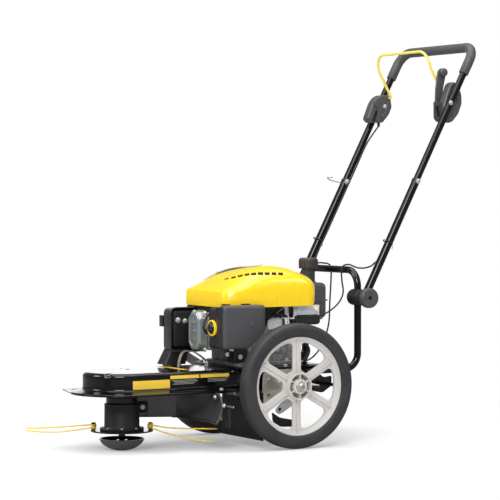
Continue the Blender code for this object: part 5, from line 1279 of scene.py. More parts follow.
@step
class MOWER_OT_deck(bpy.types.Operator):
    """The domed belt cover with its brim and pockets, the deck plate and the bearing's collar."""

    bl_idname = "mower.deck"
    bl_label = "Deck"

    def execute(self, context):
        sizes = context.scene.mower_sizes
        self.cover(sizes)
        self.plate(sizes)
        self.collar()
        self.fixings(sizes)
        return {"FINISHED"}

    def cover(self, sizes):
        top = sizes.cover_top
        edge = COVER_EDGE
        foot = 0.175
        levels = [(-0.05, top, 0.0), (-0.03, top, 0.001), (-0.02, top, 0.0035), (-0.015, top, 0.0055)]
        for i in range(8):
            turn = pi / 2 * i / 7
            levels.append((edge * (sin(turn) - 1), top - edge * (1 - cos(turn)), 0.0075 - 0.0004 * i))
        levels += [(0.0, 0.205, 0.0036), (0.0, 0.199, 0.0012), (0.0, 0.194, 0.0), (0.0, foot + 0.008, 0.0),
            (0.0003, foot + 0.0035, 0.0), (0.0014, foot + 0.0006, 0.0), (0.0036, foot - 0.0016, 0.0),
            (0.008, foot - 0.0032, 0.0), (0.018, 0.1695, 0.0), (0.027, 0.1673, 0.0), (0.0318, 0.1664, 0.0),
            (0.0335, 0.1658, 0.0), (BRIM, 0.1648, 0.0), (0.0335, 0.1636, 0.0), (0.0325, 0.1633, 0.0),
            (0.018, 0.1666, 0.0), (0.007, 0.169, 0.0), (-COVER_WALL, foot - 0.001, 0.0),
            (-COVER_WALL, 0.199, 0.0), (-COVER_WALL, top - 0.016, 0.006), (-0.006, top - 0.0095, 0.008),
            (-0.022, top - 0.006, 0.001), (-0.05, top - COVER_WALL, 0.0)]
        rings = [cover_ring(sizes, *level) for level in levels]
        put("belt_cover_dome", loft(rings), "gloss_black", "belt_cover", 45)

    def plate(self, sizes):
        half = sizes.cover_half + BRIM
        outline = arc((0, 0), half, 0, -radians(112), 60) + [Vector((-0.168, -0.104)),
            Vector((-0.172, -0.096)), Vector((-half, 0.012)), Vector((-half, 0.024))]
        turn = arc((-half + 0.069, COVER_REAR + BRIM - 0.069), 0.069, pi, pi / 2, 14)
        outline += turn + [Vector((-point.x, point.y)) for point in reversed(turn)]
        hole = circle((0, 0), 0.0263, 40)
        put("deck_base", plate([outline, hole], "Z", PLATE_BOTTOM, DECK_TOP, 0.0008), "gloss_black",
            "deck_plate")

    def collar(self):
        profile = [(0.0102, 0.1322), (0.0405, 0.1322), (0.0435, 0.133), (0.0445, 0.135), (0.0445, 0.148),
            (0.043, 0.15), (0.043, 0.154), (0.0445, 0.1556), (0.0445, 0.1597), (0.026, 0.1597),
            (0.026, 0.177), (0.0102, 0.177)]
        put("spindle_collar", turned(profile, (0, 0), "Z", 72, wrap=True), "gloss_black", "spindle_housing")
        screws("spindle_collar_screws", bolt_circle(4, 40, 0.0545, PLATE_BOTTOM, -1), "zinc", 0.0055, 0.0045)

    def fixings(self, sizes):
        places = []
        for x, y in POCKETS:
            inwards = (Vector((0, min(max(y, 0.0), 0.5))) - Vector((x, y))).normalized() * 0.007
            places.append(((x + inwards.x, y + inwards.y, sizes.cover_top - 0.007), UP))
        screws("cover_screws", places, "steel", 0.0038, 0.003)
        # A thin near-black disc on the cover's top: a hole drawn as painted shade
        hole = [(0.0, 0.2221), (0.0052, 0.2221), (0.0056, 0.2223), (0.0052, 0.2225), (0.0, 0.2224)]
        put("cover_hole_shade", turned(hole, (-0.047, 0.042), "Z", 28), "hollow_shade")
        screws("deck_bolts", [((-0.122, -0.087, DECK_TOP), UP), ((-0.128, 0.25, DECK_TOP), UP),
            ((0.128, 0.25, 0.1673), UP), ((0.128, 0.48, 0.1673), UP), ((-0.128, 0.48, 0.1673), UP)], "zinc",
            0.0058, 0.0046)


# The thin rules' ends along the wall, from the top row down, and their height, spacing and width
RULES = {"front": ((0.1, 0.18), (0.106, 0.184), (0.11, 0.176), (0.104, 0.17)),
         "rear": ((0.216, 0.283), (0.218, 0.278), (0.216, 0.274))}
RULE_TOP, RULE_STEP, RULE_WIDTH = 0.1985, 0.0036, 0.001


@step
class MOWER_OT_labels(bpy.types.Operator):
    """The plain yellow panel, the two yellow stripes and the thin rules on the cover's near wall."""

    bl_idname = "mower.labels"
    bl_label = "Plain labels"

    def execute(self, context):
        sizes = context.scene.mower_sizes
        film("label_panel", sizes, -0.021, 0.0945, 0.1762, 0.202, "yellow_label")
        film("label_stripe_front", sizes, 0.096, 0.1885, 0.203, 0.2125, "yellow_label")
        film("label_stripe_rear", sizes, 0.1925, 0.285, 0.203, 0.2125, "yellow_label")
        for row, spans in RULES.items():
            for k, (start, end) in enumerate(spans):
                height = RULE_TOP - RULE_STEP * k
                film(f"label_rule_{row}_{k}", sizes, start, end, height, height + RULE_WIDTH, "grey_label")
        put("label_top", box_shape((-0.1, 0.167, 0.2221), (0.055, 0.185, 0.2225), 0.0001, 1), "yellow_label")
        return {"FINISHED"}


# Guards

GUARD_BOTTOM = 0.08
GUARD_TOP = 0.1597
GUARD_WALL = 0.004
# How far the guard bows backwards in plan, and how far its foot kicks forwards
GUARD_BOW = 0.028
GUARD_KICK = 0.03
# How far the guard's near end flares out at its foot
GUARD_FLARE = 0.203 - 0.148


def guard_path(share):
    """The debris guard's plan at a share of its height, from the far front to its flared near end."""
    flare = GUARD_FLARE * sqrt(1 - share * share)
    start = Vector((-0.03, 0.19))
    end = Vector((0.148 + flare, 0.222))
    front = Vector((-0.078, 0.088))
    path = [front.lerp(start, i / 10) for i in range(10)]
    kick = GUARD_KICK * (1 - share) ** 2
    for i in range(49):
        s = i / 48
        bow = GUARD_BOW * sin(pi * s) - kick * min(1.0, s / 0.3)
        path.append(start.lerp(end, s) + Vector((0, bow)))
    return path


def beside(path, distance):
    """A plan line moved sideways by a distance."""
    moved = []
    for i, point in enumerate(path):
        along = heading(path, i)
        moved.append(point + Vector((-along.y, along.x)) * distance)
    return moved


@step
class MOWER_OT_guards(bpy.types.Operator):
    """The curved debris guard behind the head, with its lip and fixings, and the rubber flap."""

    bl_idname = "mower.guards"
    bl_label = "Debris guard and flap"

    def execute(self, context):
        self.guard()
        self.lip()
        self.details()
        self.flap()
        return {"FINISHED"}

    def guard(self):
        rings = []
        steps = 32
        for level in range(steps + 1):
            share = level / steps
            height = GUARD_BOTTOM + (GUARD_TOP - GUARD_BOTTOM) * share
            path = guard_path(share)
            half = GUARD_WALL / 2 - (0.0009 if level in (0, steps) else 0.0)
            front, back = beside(path, -half), beside(path, half)
            rings.append([(*point, height) for point in front + back[::-1]])
        put("debris_guard_wall", loft(rings), "gloss_grey", "debris_guard", 40)

    def lip(self):
        """A rounded lip along the guard's flared near end and its lower edge."""
        edge = []
        for level in range(33):
            share = 1 - level / 32
            point = guard_path(share)[-1]
            edge.append(Vector((*point, GUARD_BOTTOM + (GUARD_TOP - GUARD_BOTTOM) * share)))
        edge += [Vector((*point, GUARD_BOTTOM + 0.001)) for point in guard_path(0.0)[-2:8:-1]]
        put("debris_guard_lip", tube(edge, 0.003, 14), "satin_plastic")

    def details(self):
        # A black strip up the guard where its flat part meets its bow: painted shade of a groove
        put("debris_guard_groove_shade", box_shape((-0.043, 0.186, 0.083), (-0.029, 0.196, 0.159), 0.002),
            "black_plastic")
        turn = Matrix.Rotation(radians(-25), 3, "Z")
        put("guard_bracket", box_shape((-0.08, 0.088, 0.094), (-0.06, 0.118, 0.126), 0.004, turn=turn),
            "black_plastic")
        screws("guard_bolts", [((-0.061, 0.098, 0.11), (0.906, -0.423, 0)), ((0.147, 0.219, 0.15), FRONT),
            ((0.203, 0.2162, 0.13), FRONT)], "zinc", 0.0046, 0.004)
        put("guard_stay", box_shape((0.196, 0.223, 0.07), (0.22, 0.229, 0.133), 0.002), "black_plastic")
        put("guard_pin", turned([(0.0, 0.204), (0.0024, 0.204), (0.0026, 0.205), (0.0026, 0.247),
            (0.0018, 0.248), (0.0, 0.248)], (0.2215, 0.129), "X", 20), "steel")

    def flap(self):
        low, high = (-0.035, 0.345, 0.023), (0.196, 0.349, PLATE_BOTTOM - 0.0003)
        put("mud_flap_sheet", box_shape(low, high, 0.0012), "rubber", "mud_flap")
        bar_low, bar_high = (-0.035, 0.3415, 0.14), (0.196, 0.3449, 0.158)
        put("mud_flap_bar", box_shape(bar_low, bar_high, 0.0008), "gloss_black")
        screws("mud_flap_screws", [((x, 0.3415, 0.149), FRONT) for x in (-0.02, 0.05, 0.115, 0.18)], "zinc",
            0.0046, 0.0034)
        tongue = [(0.3959, 0.1), (0.4226, 0.083), (0.4662, 0.0745), (0.4679, 0.0545), (0.4259, 0.056),
            (0.3993, 0.072)]
        put("brace_tongue", prism(rounded(tongue, 0.006), "X", 0.16, 0.164, 0.001), "black_plastic")


# Frame

HINGE = (0.692, 0.42)
HINGE_RADIUS = 0.0225
RAIL_Z = 0.2115


def hinge_block(name, start, end, side, body):
    """A clamp block between two x values, with teeth round its outside."""
    profile = [(0.0046, start), (HINGE_RADIUS - 0.0015, start), (HINGE_RADIUS, start + 0.0015),
        (HINGE_RADIUS, end - 0.0015), (HINGE_RADIUS - 0.0015, end), (0.0046, end)]
    bm = turned([(radius, side * x) for radius, x in profile], HINGE, "X", 48, wrap=True)
    put(name, bm, "black_plastic", body=body)
    place = (side * (start + end) / 2, *HINGE)
    rib_ring(name + "_teeth", [(place, (side, 0, 0))], "black_plastic", 28, HINGE_RADIUS - 0.0004, 0.003,
        0.0022, (end - start) - 0.008, body=body)


@step
class MOWER_OT_frame(bpy.types.Operator):
    """The bent frame tube with its clamp blocks, and the engine's plate."""

    bl_idname = "mower.frame"
    bl_label = "Frame tube"

    def execute(self, context):
        sizes = context.scene.mower_sizes
        side = sizes.frame_half
        leg, top = 0.6994, 0.498
        corners = [(side, 0.345, RAIL_Z), (side, leg, RAIL_Z), (side, leg, top), (-side, leg, top),
            (-side, leg, RAIL_Z), (-side, 0.345, RAIL_Z)]
        bar("frame_bar", corners, (0.045, 0.05, 0.05, 0.045), sizes.tube_radius, "gloss_black", "frame_tube")
        for side, label in SIDES:
            hinge_block(f"frame_clamp_{label}", 0.13, 0.1776, side, "chassis")
        self.engine_plate()
        return {"FINISHED"}

    def engine_plate(self):
        outline = rounded(rectangle((-0.156, 0.315), (0.156, 0.6)), 0.02, 6)
        hole = circle((0, CRANK_Y), 0.03, 40)
        put("engine_base", plate([outline, hole], "Z", 0.2223, 0.2263, 0.0007), "gloss_black", "engine_plate")
        screws("engine_plate_bolts", [((x, y, 0.2263), UP) for x in (-0.14, 0.14) for y in (0.335, 0.455,
            0.58)], "zinc", 0.006, 0.005)
        screws("crankcase_bolts", [((x, y, 0.2386), UP) for x in (-0.092, 0.092) for y in (0.352, 0.488)],
            "zinc", 0.0062, 0.006)
        screws("rail_bolts", [((x, 0.35, 0.2223), (0, 0, -1)) for x in (-0.1445, 0.1445)], "zinc", 0.005,
            0.004)


# Engine

BLOWER_HALF = (0.142, 0.152)
BLOWER_Y = 0.418
BLOWER_BOTTOM = 0.3985
BLOWER_CORNER = 0.04
# The share of the plan up to which the crown's corners widen, and how fast they do
CROWN_ROUND = 0.84
CROWN_WIDENING = 0.32
# How much longer the two front corners run along the sides than across the front
FRONT_SWEEP = 0.05
PEAK_Y = 0.45
# Over how much of the rear the cover's lower edge curves up, and how far
REAR_LIFT = (0.028, 0.02)
# Half a cooling slot's length along their row
VENT_HALF = 0.0076
# Places along the row of slots on the crown's near shoulder: x, y and half a slot's width there
VENT_ROW = ((0.0371, 0.32, 0.0066), (0.0584, 0.3302, 0.0084), (0.0744, 0.3432, 0.009),
    (0.0893, 0.3569, 0.0086), (0.1025, 0.3714, 0.0086), (0.1113, 0.3888, 0.0082), (0.1173, 0.4076, 0.0071),
    (0.1209, 0.4281, 0.0063), (0.1228, 0.4492, 0.0058))
# The near edge of the crown's charcoal inset: where it starts and the way it runs
INSET_START = Vector((-0.056, 0.334))
INSET_WAY = Vector((0.811, 0.585))
CYLINDER_Z = 0.328
FILTER_X = (0.084, 0.1423, 0.172)
FILTER_TOPS = (0.3982, 0.4067)
PRIMER = (0.109, 0.342)
TANK_TOP = 0.458
CAP_CENTRE = (-0.045, 0.648)


def crown(y):
    """Height of the engine cover along its middle line."""
    front, rear = BLOWER_Y - BLOWER_HALF[1], BLOWER_Y + BLOWER_HALF[1]
    if y < PEAK_Y:
        return 0.455 + 0.06 * sin(max(0.0, y - front) / (PEAK_Y - front) * pi / 2)
    return 0.515 - 0.009 * ((y - PEAK_Y) / (rear - PEAK_Y)) ** 2


def crease(y):
    return 0.44 + 0.012 * (y - BLOWER_Y + BLOWER_HALF[1]) / (2 * BLOWER_HALF[1])


def corner_at(share):
    """The plan's corner radius where it is scaled by share: it widens up the crown, which keeps it smooth."""
    widest = BLOWER_CORNER + (1 - CROWN_ROUND) * CROWN_WIDENING
    return BLOWER_CORNER + (1
        - share) * CROWN_WIDENING if share > CROWN_ROUND else widest * share / CROWN_ROUND


def front_reach(share):
    """How far a front corner runs along the side where the plan is scaled by share."""
    return corner_at(share) + FRONT_SWEEP * max(0.0, (share - CROWN_ROUND) / (1 - CROWN_ROUND))


def cover_height(x, y):
    """Height of the engine cover's outer face over a point of its plan."""
    share = 0.5
    low, high = 0.0, 1.0
    for _ in range(18):
        share = (low + high) / 2
        half_x, half_y = (size * share for size in BLOWER_HALF)
        corner = corner_at(share)
        reach = front_reach(share) if y < BLOWER_Y else corner
        off_x = max(abs(x) - half_x + corner, 0.0)
        off_y = max(abs(y - BLOWER_Y) - half_y + reach, 0.0)
        if hypot(off_x / corner, off_y / reach) > 1:
            low = share
        else:
            high = share
    return crease(y) + (crown(y) - crease(y)) * crown_rise(share)


# The crown's rise over shares of the plan, from the middle out to the crease
RISES = ((0.0, 1.0), (0.2, 1.0), (0.36, 0.992), (0.5, 0.968), (0.64, 0.914), (0.74, 0.844), (0.82, 0.755),
    (0.88, 0.655), (0.93, 0.525), (0.96, 0.405), (0.98, 0.285), (0.992, 0.155), (1.0, 0.0))


def crown_rise(share):
    """How much of the crown's height is reached where the plan is scaled by share."""
    for (low, high), (after, less) in zip(RISES, RISES[1:]):
        if share <= after:
            return high + (less - high) * (share - low) / (after - low)
    return 0.0


def cover_shell_rings(inset):
    rings = []
    levels = [(1.0, BLOWER_BOTTOM), (1.0, BLOWER_BOTTOM + 0.004)]
    shares = [1.0, 0.992, 0.98, 0.96, 0.93, 0.88, 0.82, 0.74, 0.64, 0.5, 0.36, 0.2]
    for share, level in levels + [(share, None) for share in shares]:
        half_x, half_y = ((side - inset) * share for side in BLOWER_HALF)
        outline = []
        for x, y in ((half_x, half_y), (-half_x, half_y), (-half_x, -half_y), (half_x, -half_y)):
            turn = {(1, 1): 0, (0, 1): 1, (0, 0): 2, (1, 0): 3}[(int(x > 0), int(y > 0))] * pi / 2
            corner = corner_at(share) - inset
            reach = front_reach(share) - inset if y < 0 else corner
            centre = Vector((x - copysign(corner, x), BLOWER_Y + y - copysign(reach, y)))
            quarter = arc((0, 0), 1.0, turn, turn + pi / 2, 14)
            outline += [centre + Vector((point.x * corner, point.y * reach)) for point in quarter]
        ring = []
        for i, point in enumerate(outline):
            ring.append(point)
            if i % 15 == 14:
                after = outline[(i + 1) % len(outline)]
                ring += [point.lerp(after, k / 16) for k in range(1, 16)]
        height = []
        for point in ring:
            edge = crease(point.y)
            if level is None:
                z = edge + (crown(point.y) - edge) * crown_rise(share)
            else:
                z = level + REAR_LIFT[1] * max(0.0, (point.y - BLOWER_Y - BLOWER_HALF[1]) / REAR_LIFT[0]
                    + 1) ** 2
            height.append((point.x, point.y, z - (inset if level is None else 0.0)))
        rings.append(height)
    return rings


def carve(bm, cutters):
    """Cuts closed shapes out of a mesh."""
    objects = []
    for shape in (bm, gather(cutters)):
        bmesh.ops.recalc_face_normals(shape, faces=shape.faces)
        objects.append(placed("cut", mesh_of("cut", shape)))
    body, tool = objects
    modifier = body.modifiers.new("Cut", "BOOLEAN")
    modifier.operation = "DIFFERENCE"
    modifier.solver = "EXACT"
    modifier.object = tool
    mesh = evaluated(body)
    carved = bmesh.new()
    carved.from_mesh(mesh)
    for obj in objects:
        old = obj.data
        bpy.data.objects.remove(obj)
        bpy.data.meshes.remove(old)
    bpy.data.meshes.remove(mesh)
    return carved


def vent_at(t):
    """The middle of a cooling slot and half its width, at a share of the way along the row."""
    place = min(max(t, 0.0), 1.0) * (len(VENT_ROW) - 1)
    i = min(int(place), len(VENT_ROW) - 2)
    return Vector(VENT_ROW[i]).lerp(Vector(VENT_ROW[i + 1]), place - i)


def vent_outline(t):
    """A slot's four corners: two sides along the row of slots and two across the shoulder."""
    x, y, half = vent_at(t)
    row = (vent_at(t + 0.06) - vent_at(t - 0.06)).xy.normalized() * VENT_HALF
    across = Vector((-0.862, 0.507)) * half
    middle = Vector((x, y))
    return rounded([middle - row - across, middle + row - across, middle + row + across,
        middle - row + across], 0.0012, 2)


@step
class MOWER_OT_engine_cover(bpy.types.Operator):
    """The glossy engine cover with its slots, a near-black sheet under them as painted shade, and the
    charcoal inset.
    """

    bl_idname = "mower.engine_cover"
    bl_label = "Engine cover"

    def execute(self, context):
        sizes = context.scene.mower_sizes
        self.shell(sizes)
        self.inside()
        self.inset()
        self.fixings()
        return {"FINISHED"}

    def shell(self, sizes):
        outer = cover_shell_rings(0.0)
        inner = cover_shell_rings(0.0016)[::-1]
        bm = strip_capped(inner + outer)
        cutters = []
        for i in range(sizes.vent_count):
            outline = vent_outline(i / max(1, sizes.vent_count - 1))
            cutters.append(prism(outline, "Z", 0.46, 0.54))
        put("engine_cover_shell", carve(bm, cutters), "yellow_cover", "blower_cover", 62)

    def inside(self):
        # A near-black double sheet just under the crown where the slots are: painted shade seen through them
        points = []
        for i in range(15):
            for k in range(33):
                points.append((0.012 + (0.098 + 0.024 * k / 32) * i / 14, 0.302 + 0.174 * k / 32))
        bm = bmesh.new()
        rows = [[bm.verts.new((x, y, cover_height(x, y) - 0.0022 - 0.001 * level)) for x,
            y in points] for level in (0, 1)]
        for row, flip in zip(rows, (False, True)):
            for i in range(14):
                for k in range(32):
                    a = i * 33 + k
                    corners = [row[a], row[a + 33], row[a + 34], row[a + 1]]
                    bm.faces.new(corners[::-1] if flip else corners)
        put("engine_cover_vent_shade", bm, "hollow_shade")

    def inset(self):
        """A glossy charcoal panel let into the crown, in two parts."""
        aside = Vector((-INSET_WAY.y, INSET_WAY.x))
        for name, start, end in (("front", -0.038, -0.008), ("rear", 0.0, 0.134)):
            rings = []
            steps = 20
            for i in range(steps + 1):
                edge = INSET_START + INSET_WAY * (start + (end - start) * i / steps)
                ring = []
                for reach, lift in ((0.0, -0.001), (0.0015, 0.001), (0.014, 0.0012), (0.028, 0.0012),
                                    (0.04, 0.001), (0.0415, -0.001)):
                    x, y = edge + aside * reach
                    ring.append((x, y, cover_height(x, y) + lift))
                rings.append(ring)
            put(f"engine_cover_inset_{name}", loft(rings), "gloss_grey")

    def fixings(self):
        # Two thin near-black bands round the cover's front near corner: slits drawn as painted shade
        corner, reach = BLOWER_CORNER, BLOWER_CORNER + FRONT_SWEEP
        centre = (BLOWER_HALF[0] - corner, BLOWER_Y - BLOWER_HALF[1] + reach)
        for k, (start, end, low) in enumerate(((56, 89, 0.405), (12, 31, 0.4058))):
            rings = []
            for i in range(17):
                turn = radians(start + (end - start) * i / 16)
                rings.append([(centre[0] + (corner + out) * cos(turn), centre[1] - (reach + out) * sin(turn),
                    low + up) for out, up in ((-0.001, 0), (0.0008, 0), (0.0008, 0.004), (-0.001, 0.004))])
            put(f"engine_cover_slit_{k}", loft(rings), "hollow_shade", sharp=30)


def strip_capped(rings):
    """A loft whose two end rings, symmetric in x, are closed with strips from side to side."""
    bm = bmesh.new()
    layers = [[bm.verts.new(point) for point in ring] for ring in rings]
    count = len(layers[0])
    for low, high in zip(layers, layers[1:]):
        for i in range(count):
            j = (i + 1) % count
            bm.faces.new((low[i], low[j], high[j], high[i]))
    for ring in (layers[0], layers[-1]):
        pairs = {}
        for vert in ring:
            pairs.setdefault(round(vert.co.y, 6), []).append(vert)
        order = sorted(pairs)
        rows = [sorted(pairs[y], key=lambda vert: vert.co.x) for y in order]
        for low, high in zip(rows, rows[1:]):
            corners = low + high[::-1]
            bm.faces.new(corners)
    return bm


def side_outline(inset, top):
    """The filter housing's side view with its slanted lower rear corner, as (y, z)."""
    y0, y1 = 0.235 + inset, 0.372 - inset
    z0, z1 = 0.284 + inset, top - inset
    corners = [(y0, z0), (y1 - 0.052 + inset * 0.55, z0), (y1, z0 + 0.045 - inset * 0.4), (y1, z1), (y0, z1)]
    return rounded(corners, 0.01, 6)


@step
class MOWER_OT_air_filter(bpy.types.Operator):
    """The air filter's back box and front cover, with the primer's ring and bulb."""

    bl_idname = "mower.air_filter"
    bl_label = "Air filter and primer"

    def execute(self, context):
        back, split, front = FILTER_X
        levels = [(split, 0.0), (front - 0.009, 0.0), (front - 0.0055, 0.0009), (front - 0.0028, 0.0026),
            (front - 0.001, 0.005), (front - 0.0001, 0.0084), (front, 0.011)]
        low_top, high_top = FILTER_TOPS
        rings = [[(x, *point) for point in side_outline(inset, high_top)] for x, inset in levels]
        put("air_filter_cover", loft(rings), "grey_plastic", "filter_cover", 50)
        # A near-black sheet in the gap between the cover and the box: painted shade in the seam
        put("air_filter_seam", prism(side_outline(0.0006, low_top), "X", split - 0.0016, split), "hollow_shade")
        box = prism(side_outline(0.0, low_top), "X", back, split - 0.0014, 0.0012)
        bulb_hole = turned(pillar(0.0182, 0.22, 0.244), PRIMER, "Y", 48)
        put("air_filter_box", carve(box, [bulb_hole]), "black_plastic", "filter_box")
        self.primer()
        put("air_filter_dimple", turned([(0.0, 0.1719), (0.0082, 0.1719), (0.0086, 0.1727), (0.0078, 0.1735),
            (0.0, 0.1735)], (0.33, 0.352), "X", 32), "grey_plastic")
        put("air_filter_front", plate([rounded([(0.125, 0.288), (0.164, 0.288), (0.16, 0.345), (0.164, 0.402),
            (0.125, 0.402)], 0.004, 5)], "Y", 0.234, 0.2352, 0.0003), "black_plastic")
        put("air_filter_latch", box_shape((0.118, 0.372, 0.352), (0.152, 0.376, 0.384), 0.0015),
            "black_plastic")
        return {"FINISHED"}

    def primer(self):
        face = 0.2347
        ring = [(0.0178, face), (0.0222, face), (0.0226, face - 0.005), (0.0222, face - 0.0072),
            (0.0212, face - 0.008), (0.0192, face - 0.008), (0.0181, face - 0.0072), (0.0178, face - 0.0058)]
        put("primer_collar", turned(ring, PRIMER, "Y", 64, wrap=True), "yellow_cover", "primer_ring", 50)
        base = 0.235 + 0.0002
        bulb = [(0.0, base), (0.0172, base), (0.0175, base - 0.003), (0.0175, base - 0.005),
            (0.0158, base - 0.0066), (0.015, base - 0.009), (0.014, base - 0.0112), (0.0118, base - 0.0133),
            (0.0088, base - 0.0147), (0.0048, base - 0.0154), (0.0, base - 0.0157)]
        put("primer_dome", turned(bulb, PRIMER, "Y", 56), "gloss_rubber", "primer_bulb", 50, body="primer")
        rib_ring("primer_notches", [((PRIMER[0], face - 0.0042, PRIMER[1]), FRONT)], "yellow_cover", 24,
            0.0224, 0.001, 0.0024, 0.005)


@step
class MOWER_OT_cylinder(bpy.types.Operator):
    """The finned cylinder, its pressed valve cover, the spark plug's boot and the carburettor."""

    bl_idname = "mower.cylinder"
    bl_label = "Cylinder"

    def execute(self, context):
        core = box_shape((-0.044, 0.262, CYLINDER_Z - 0.046), (0.044, 0.3375, CYLINDER_Z + 0.046), 0.006)
        head = box_shape((-0.052, 0.2557, CYLINDER_Z - 0.054), (0.052, 0.27, CYLINDER_Z + 0.054), 0.004)
        put("cylinder_core", [core, head], "cast_aluminium", "cylinder")
        rows = [((0, 0.2755 + 0.0098 * i, CYLINDER_Z), UP) for i in range(7)]
        grow("cylinder_fins", rows, trees()["Slabs"], {"Slab Size": (0.104, 0.0036, 0.108)}, "cast_aluminium")
        self.valve_cover()
        self.boot()
        self.carburettor()
        return {"FINISHED"}

    def valve_cover(self):
        levels = [(0.2552, -0.004), (0.2526, -0.004), (0.252, -0.0036), (0.2518, -0.0004), (0.251, 0.0),
            (0.2372, 0.0), (0.234, 0.0012), (0.2316, 0.0034), (0.2304, 0.0064), (0.2302, 0.009),
            (0.2302, 0.0112), (0.2318, 0.0128), (0.2318, 0.02)]
        rings = []
        for y, inset in levels:
            a, b, cut = 0.034 - inset, 0.0555 - inset, 0.018 - inset * 0.35
            corners = [(a, b - cut), (a - cut, b), (-a + cut, b), (-a, b - cut), (-a, -b + cut),
                (-a + cut, -b), (a - cut, -b), (a, -b + cut)]
            rings.append([(u, y, CYLINDER_Z + v) for u, v in rounded(corners, 0.0055, 4)])
        ribs = [box_shape((-0.009, 0.2296, CYLINDER_Z + z - 0.0045), (0.009, 0.2325, CYLINDER_Z + z + 0.0045),
            0.0014) for z in (-0.024, 0.0, 0.024)]
        put("valve_cover_shell", [loft(rings), *ribs], "valve_metal", "valve_cover", 30)
        screws("valve_cover_screws", [((x, 0.2518, CYLINDER_Z + z), FRONT) for x in (-0.0315,
            0.0315) for z in (-0.0525, 0.0525)], "zinc", 0.0048, 0.0048)

    def boot(self):
        path = smooth([(0.0523, 0.2615, 0.328), (0.06, 0.261, 0.328), (0.067, 0.256, 0.3285),
            (0.073, 0.242, 0.3295), (0.0763, 0.2315, 0.33)], 0.002)
        radii = [0.0086 if 3 < i % 6 < 6 else 0.0078 for i in range(len(path))]
        put("spark_boot", tube(path, radii, 28), "black_plastic", "spark_plug_boot", 60)
        lead = smooth([(0.075, 0.235, 0.33), (0.0795, 0.224, 0.332), (0.079, 0.22, 0.346),
            (0.07, 0.235, 0.37), (0.064, 0.262, 0.39), (0.062, 0.286, 0.406)], 0.003)
        put("spark_lead", tube(lead, 0.0034, 16), "rubber")

    def carburettor(self):
        body = box_shape((0.0523, 0.284, 0.318), (0.0837, 0.322, 0.352), 0.003)
        bowl = turned([(0.0, 0.296), (0.01, 0.296), (0.012, 0.2985), (0.0122, 0.314), (0.013, 0.315),
            (0.013, 0.319), (0.0, 0.319)], (0.068, 0.303), "Z", 36)
        put("carburettor_body", [body, bowl], "cast_aluminium", "carburettor")
        put("carburettor_drain", turned([(0.0, 0.2925), (0.0032, 0.2925), (0.0034, 0.2965), (0.0, 0.2965)],
            (0.068, 0.303), "Z", 6), "zinc")


@step
class MOWER_OT_muffler(bpy.types.Operator):
    """The muffler in its tray-shaped guard, the duct below it and the strap that stays them."""

    bl_idname = "mower.muffler"
    bl_label = "Muffler"

    def execute(self, context):
        body = box_shape((-0.104, 0.1957, 0.2752), (-0.056, 0.2898, 0.3868), 0.011, 5)
        port = turned(pillar(0.014, -0.06, -0.0524), (0.276, 0.331), "X", 32)
        put("muffler_body", [body, port], "heat_black", "muffler")
        self.tray()
        self.duct()
        self.strap()
        screws("muffler_bolts", [((-0.056, 0.2105, 0.357), LEFT), ((-0.056, 0.234, 0.3535), LEFT)], "zinc",
            0.0058, 0.005)
        return {"FINISHED"}

    def tray(self):
        """Walls of one thickness round the muffler, open at the near side, with a rolled border."""
        def rim(grow_by):
            corners = rectangle((0.1885 - grow_by, 0.2665 - grow_by), (0.2925 + grow_by, 0.3912 + grow_by))
            return rounded(corners, 0.016 + grow_by, 8)
        levels = [(-0.0535, 0.0), (-0.0535, 0.0022), (-0.055, 0.0034), (-0.057, 0.0034), (-0.0582, 0.0022),
            (-0.06, 0.001), (-0.096, 0.0006), (-0.103, -0.001), (-0.1062, -0.004), (-0.1071, -0.01),
            (-0.1071, -0.02), (-0.1049, -0.02), (-0.1049, -0.01), (-0.104, -0.005), (-0.1015, -0.003),
            (-0.096, -0.0014), (-0.06, -0.0012)]
        rings = [[(x, *point) for point in rim(more)] for x, more in levels[::-1]]
        bm = loft(rings, wrap=True)
        floor = prism(rim(-0.0205 + 0.0008), "X", -0.1071, -0.105)
        put("muffler_tray", [bm, floor], "satin_plastic", "muffler_guard", 45)

    def duct(self):
        wall = 0.0025
        top = ((-0.1071, -0.0609), (0.1919, 0.25), 0.2725)
        foot = ((-0.1151, -0.0609), (0.172, 0.24), 0.2283)
        rings = []
        for (x, y, z), inset in ((top, 0.0), (foot, 0.0), (foot, wall), (top, wall)):
            corners = rectangle((x[0] + inset, y[0] + inset), (x[1] - inset, y[1] - inset))
            rings.append([(*point, z) for point in rounded(corners, 0.005, 4)])
        put("muffler_duct", loft(rings, wrap=True), "black_plastic")

    def strap(self):
        route = smooth([(-0.03, 0.1985, 0.2226), (-0.03, 0.2001, 0.2377), (-0.03, 0.2066, 0.2576),
            (-0.03, 0.2165, 0.2674), (-0.03, 0.2362, 0.2681), (-0.03, 0.256, 0.2616), (-0.03, 0.2792, 0.2462),
            (-0.03, 0.294, 0.233)], 0.004)
        rings = []
        for i, point in enumerate(route):
            along = heading(route, i)
            square = Vector((0, -along.z, along.y))
            half, thin = Vector((0.006, 0, 0)), square * 0.0012
            rings.append([point - half - thin, point + half - thin, point + half + thin, point - half + thin])
        put("muffler_strap", loft(rings), "zinc", sharp=30)
        screws("muffler_stud", [((-0.02, 0.286, 0.2223), UP)], "zinc", 0.006, 0.012)
        put("muffler_latch", box_shape((-0.125, 0.186, 0.336), (-0.107, 0.193, 0.369), 0.002),
            "satin_plastic")


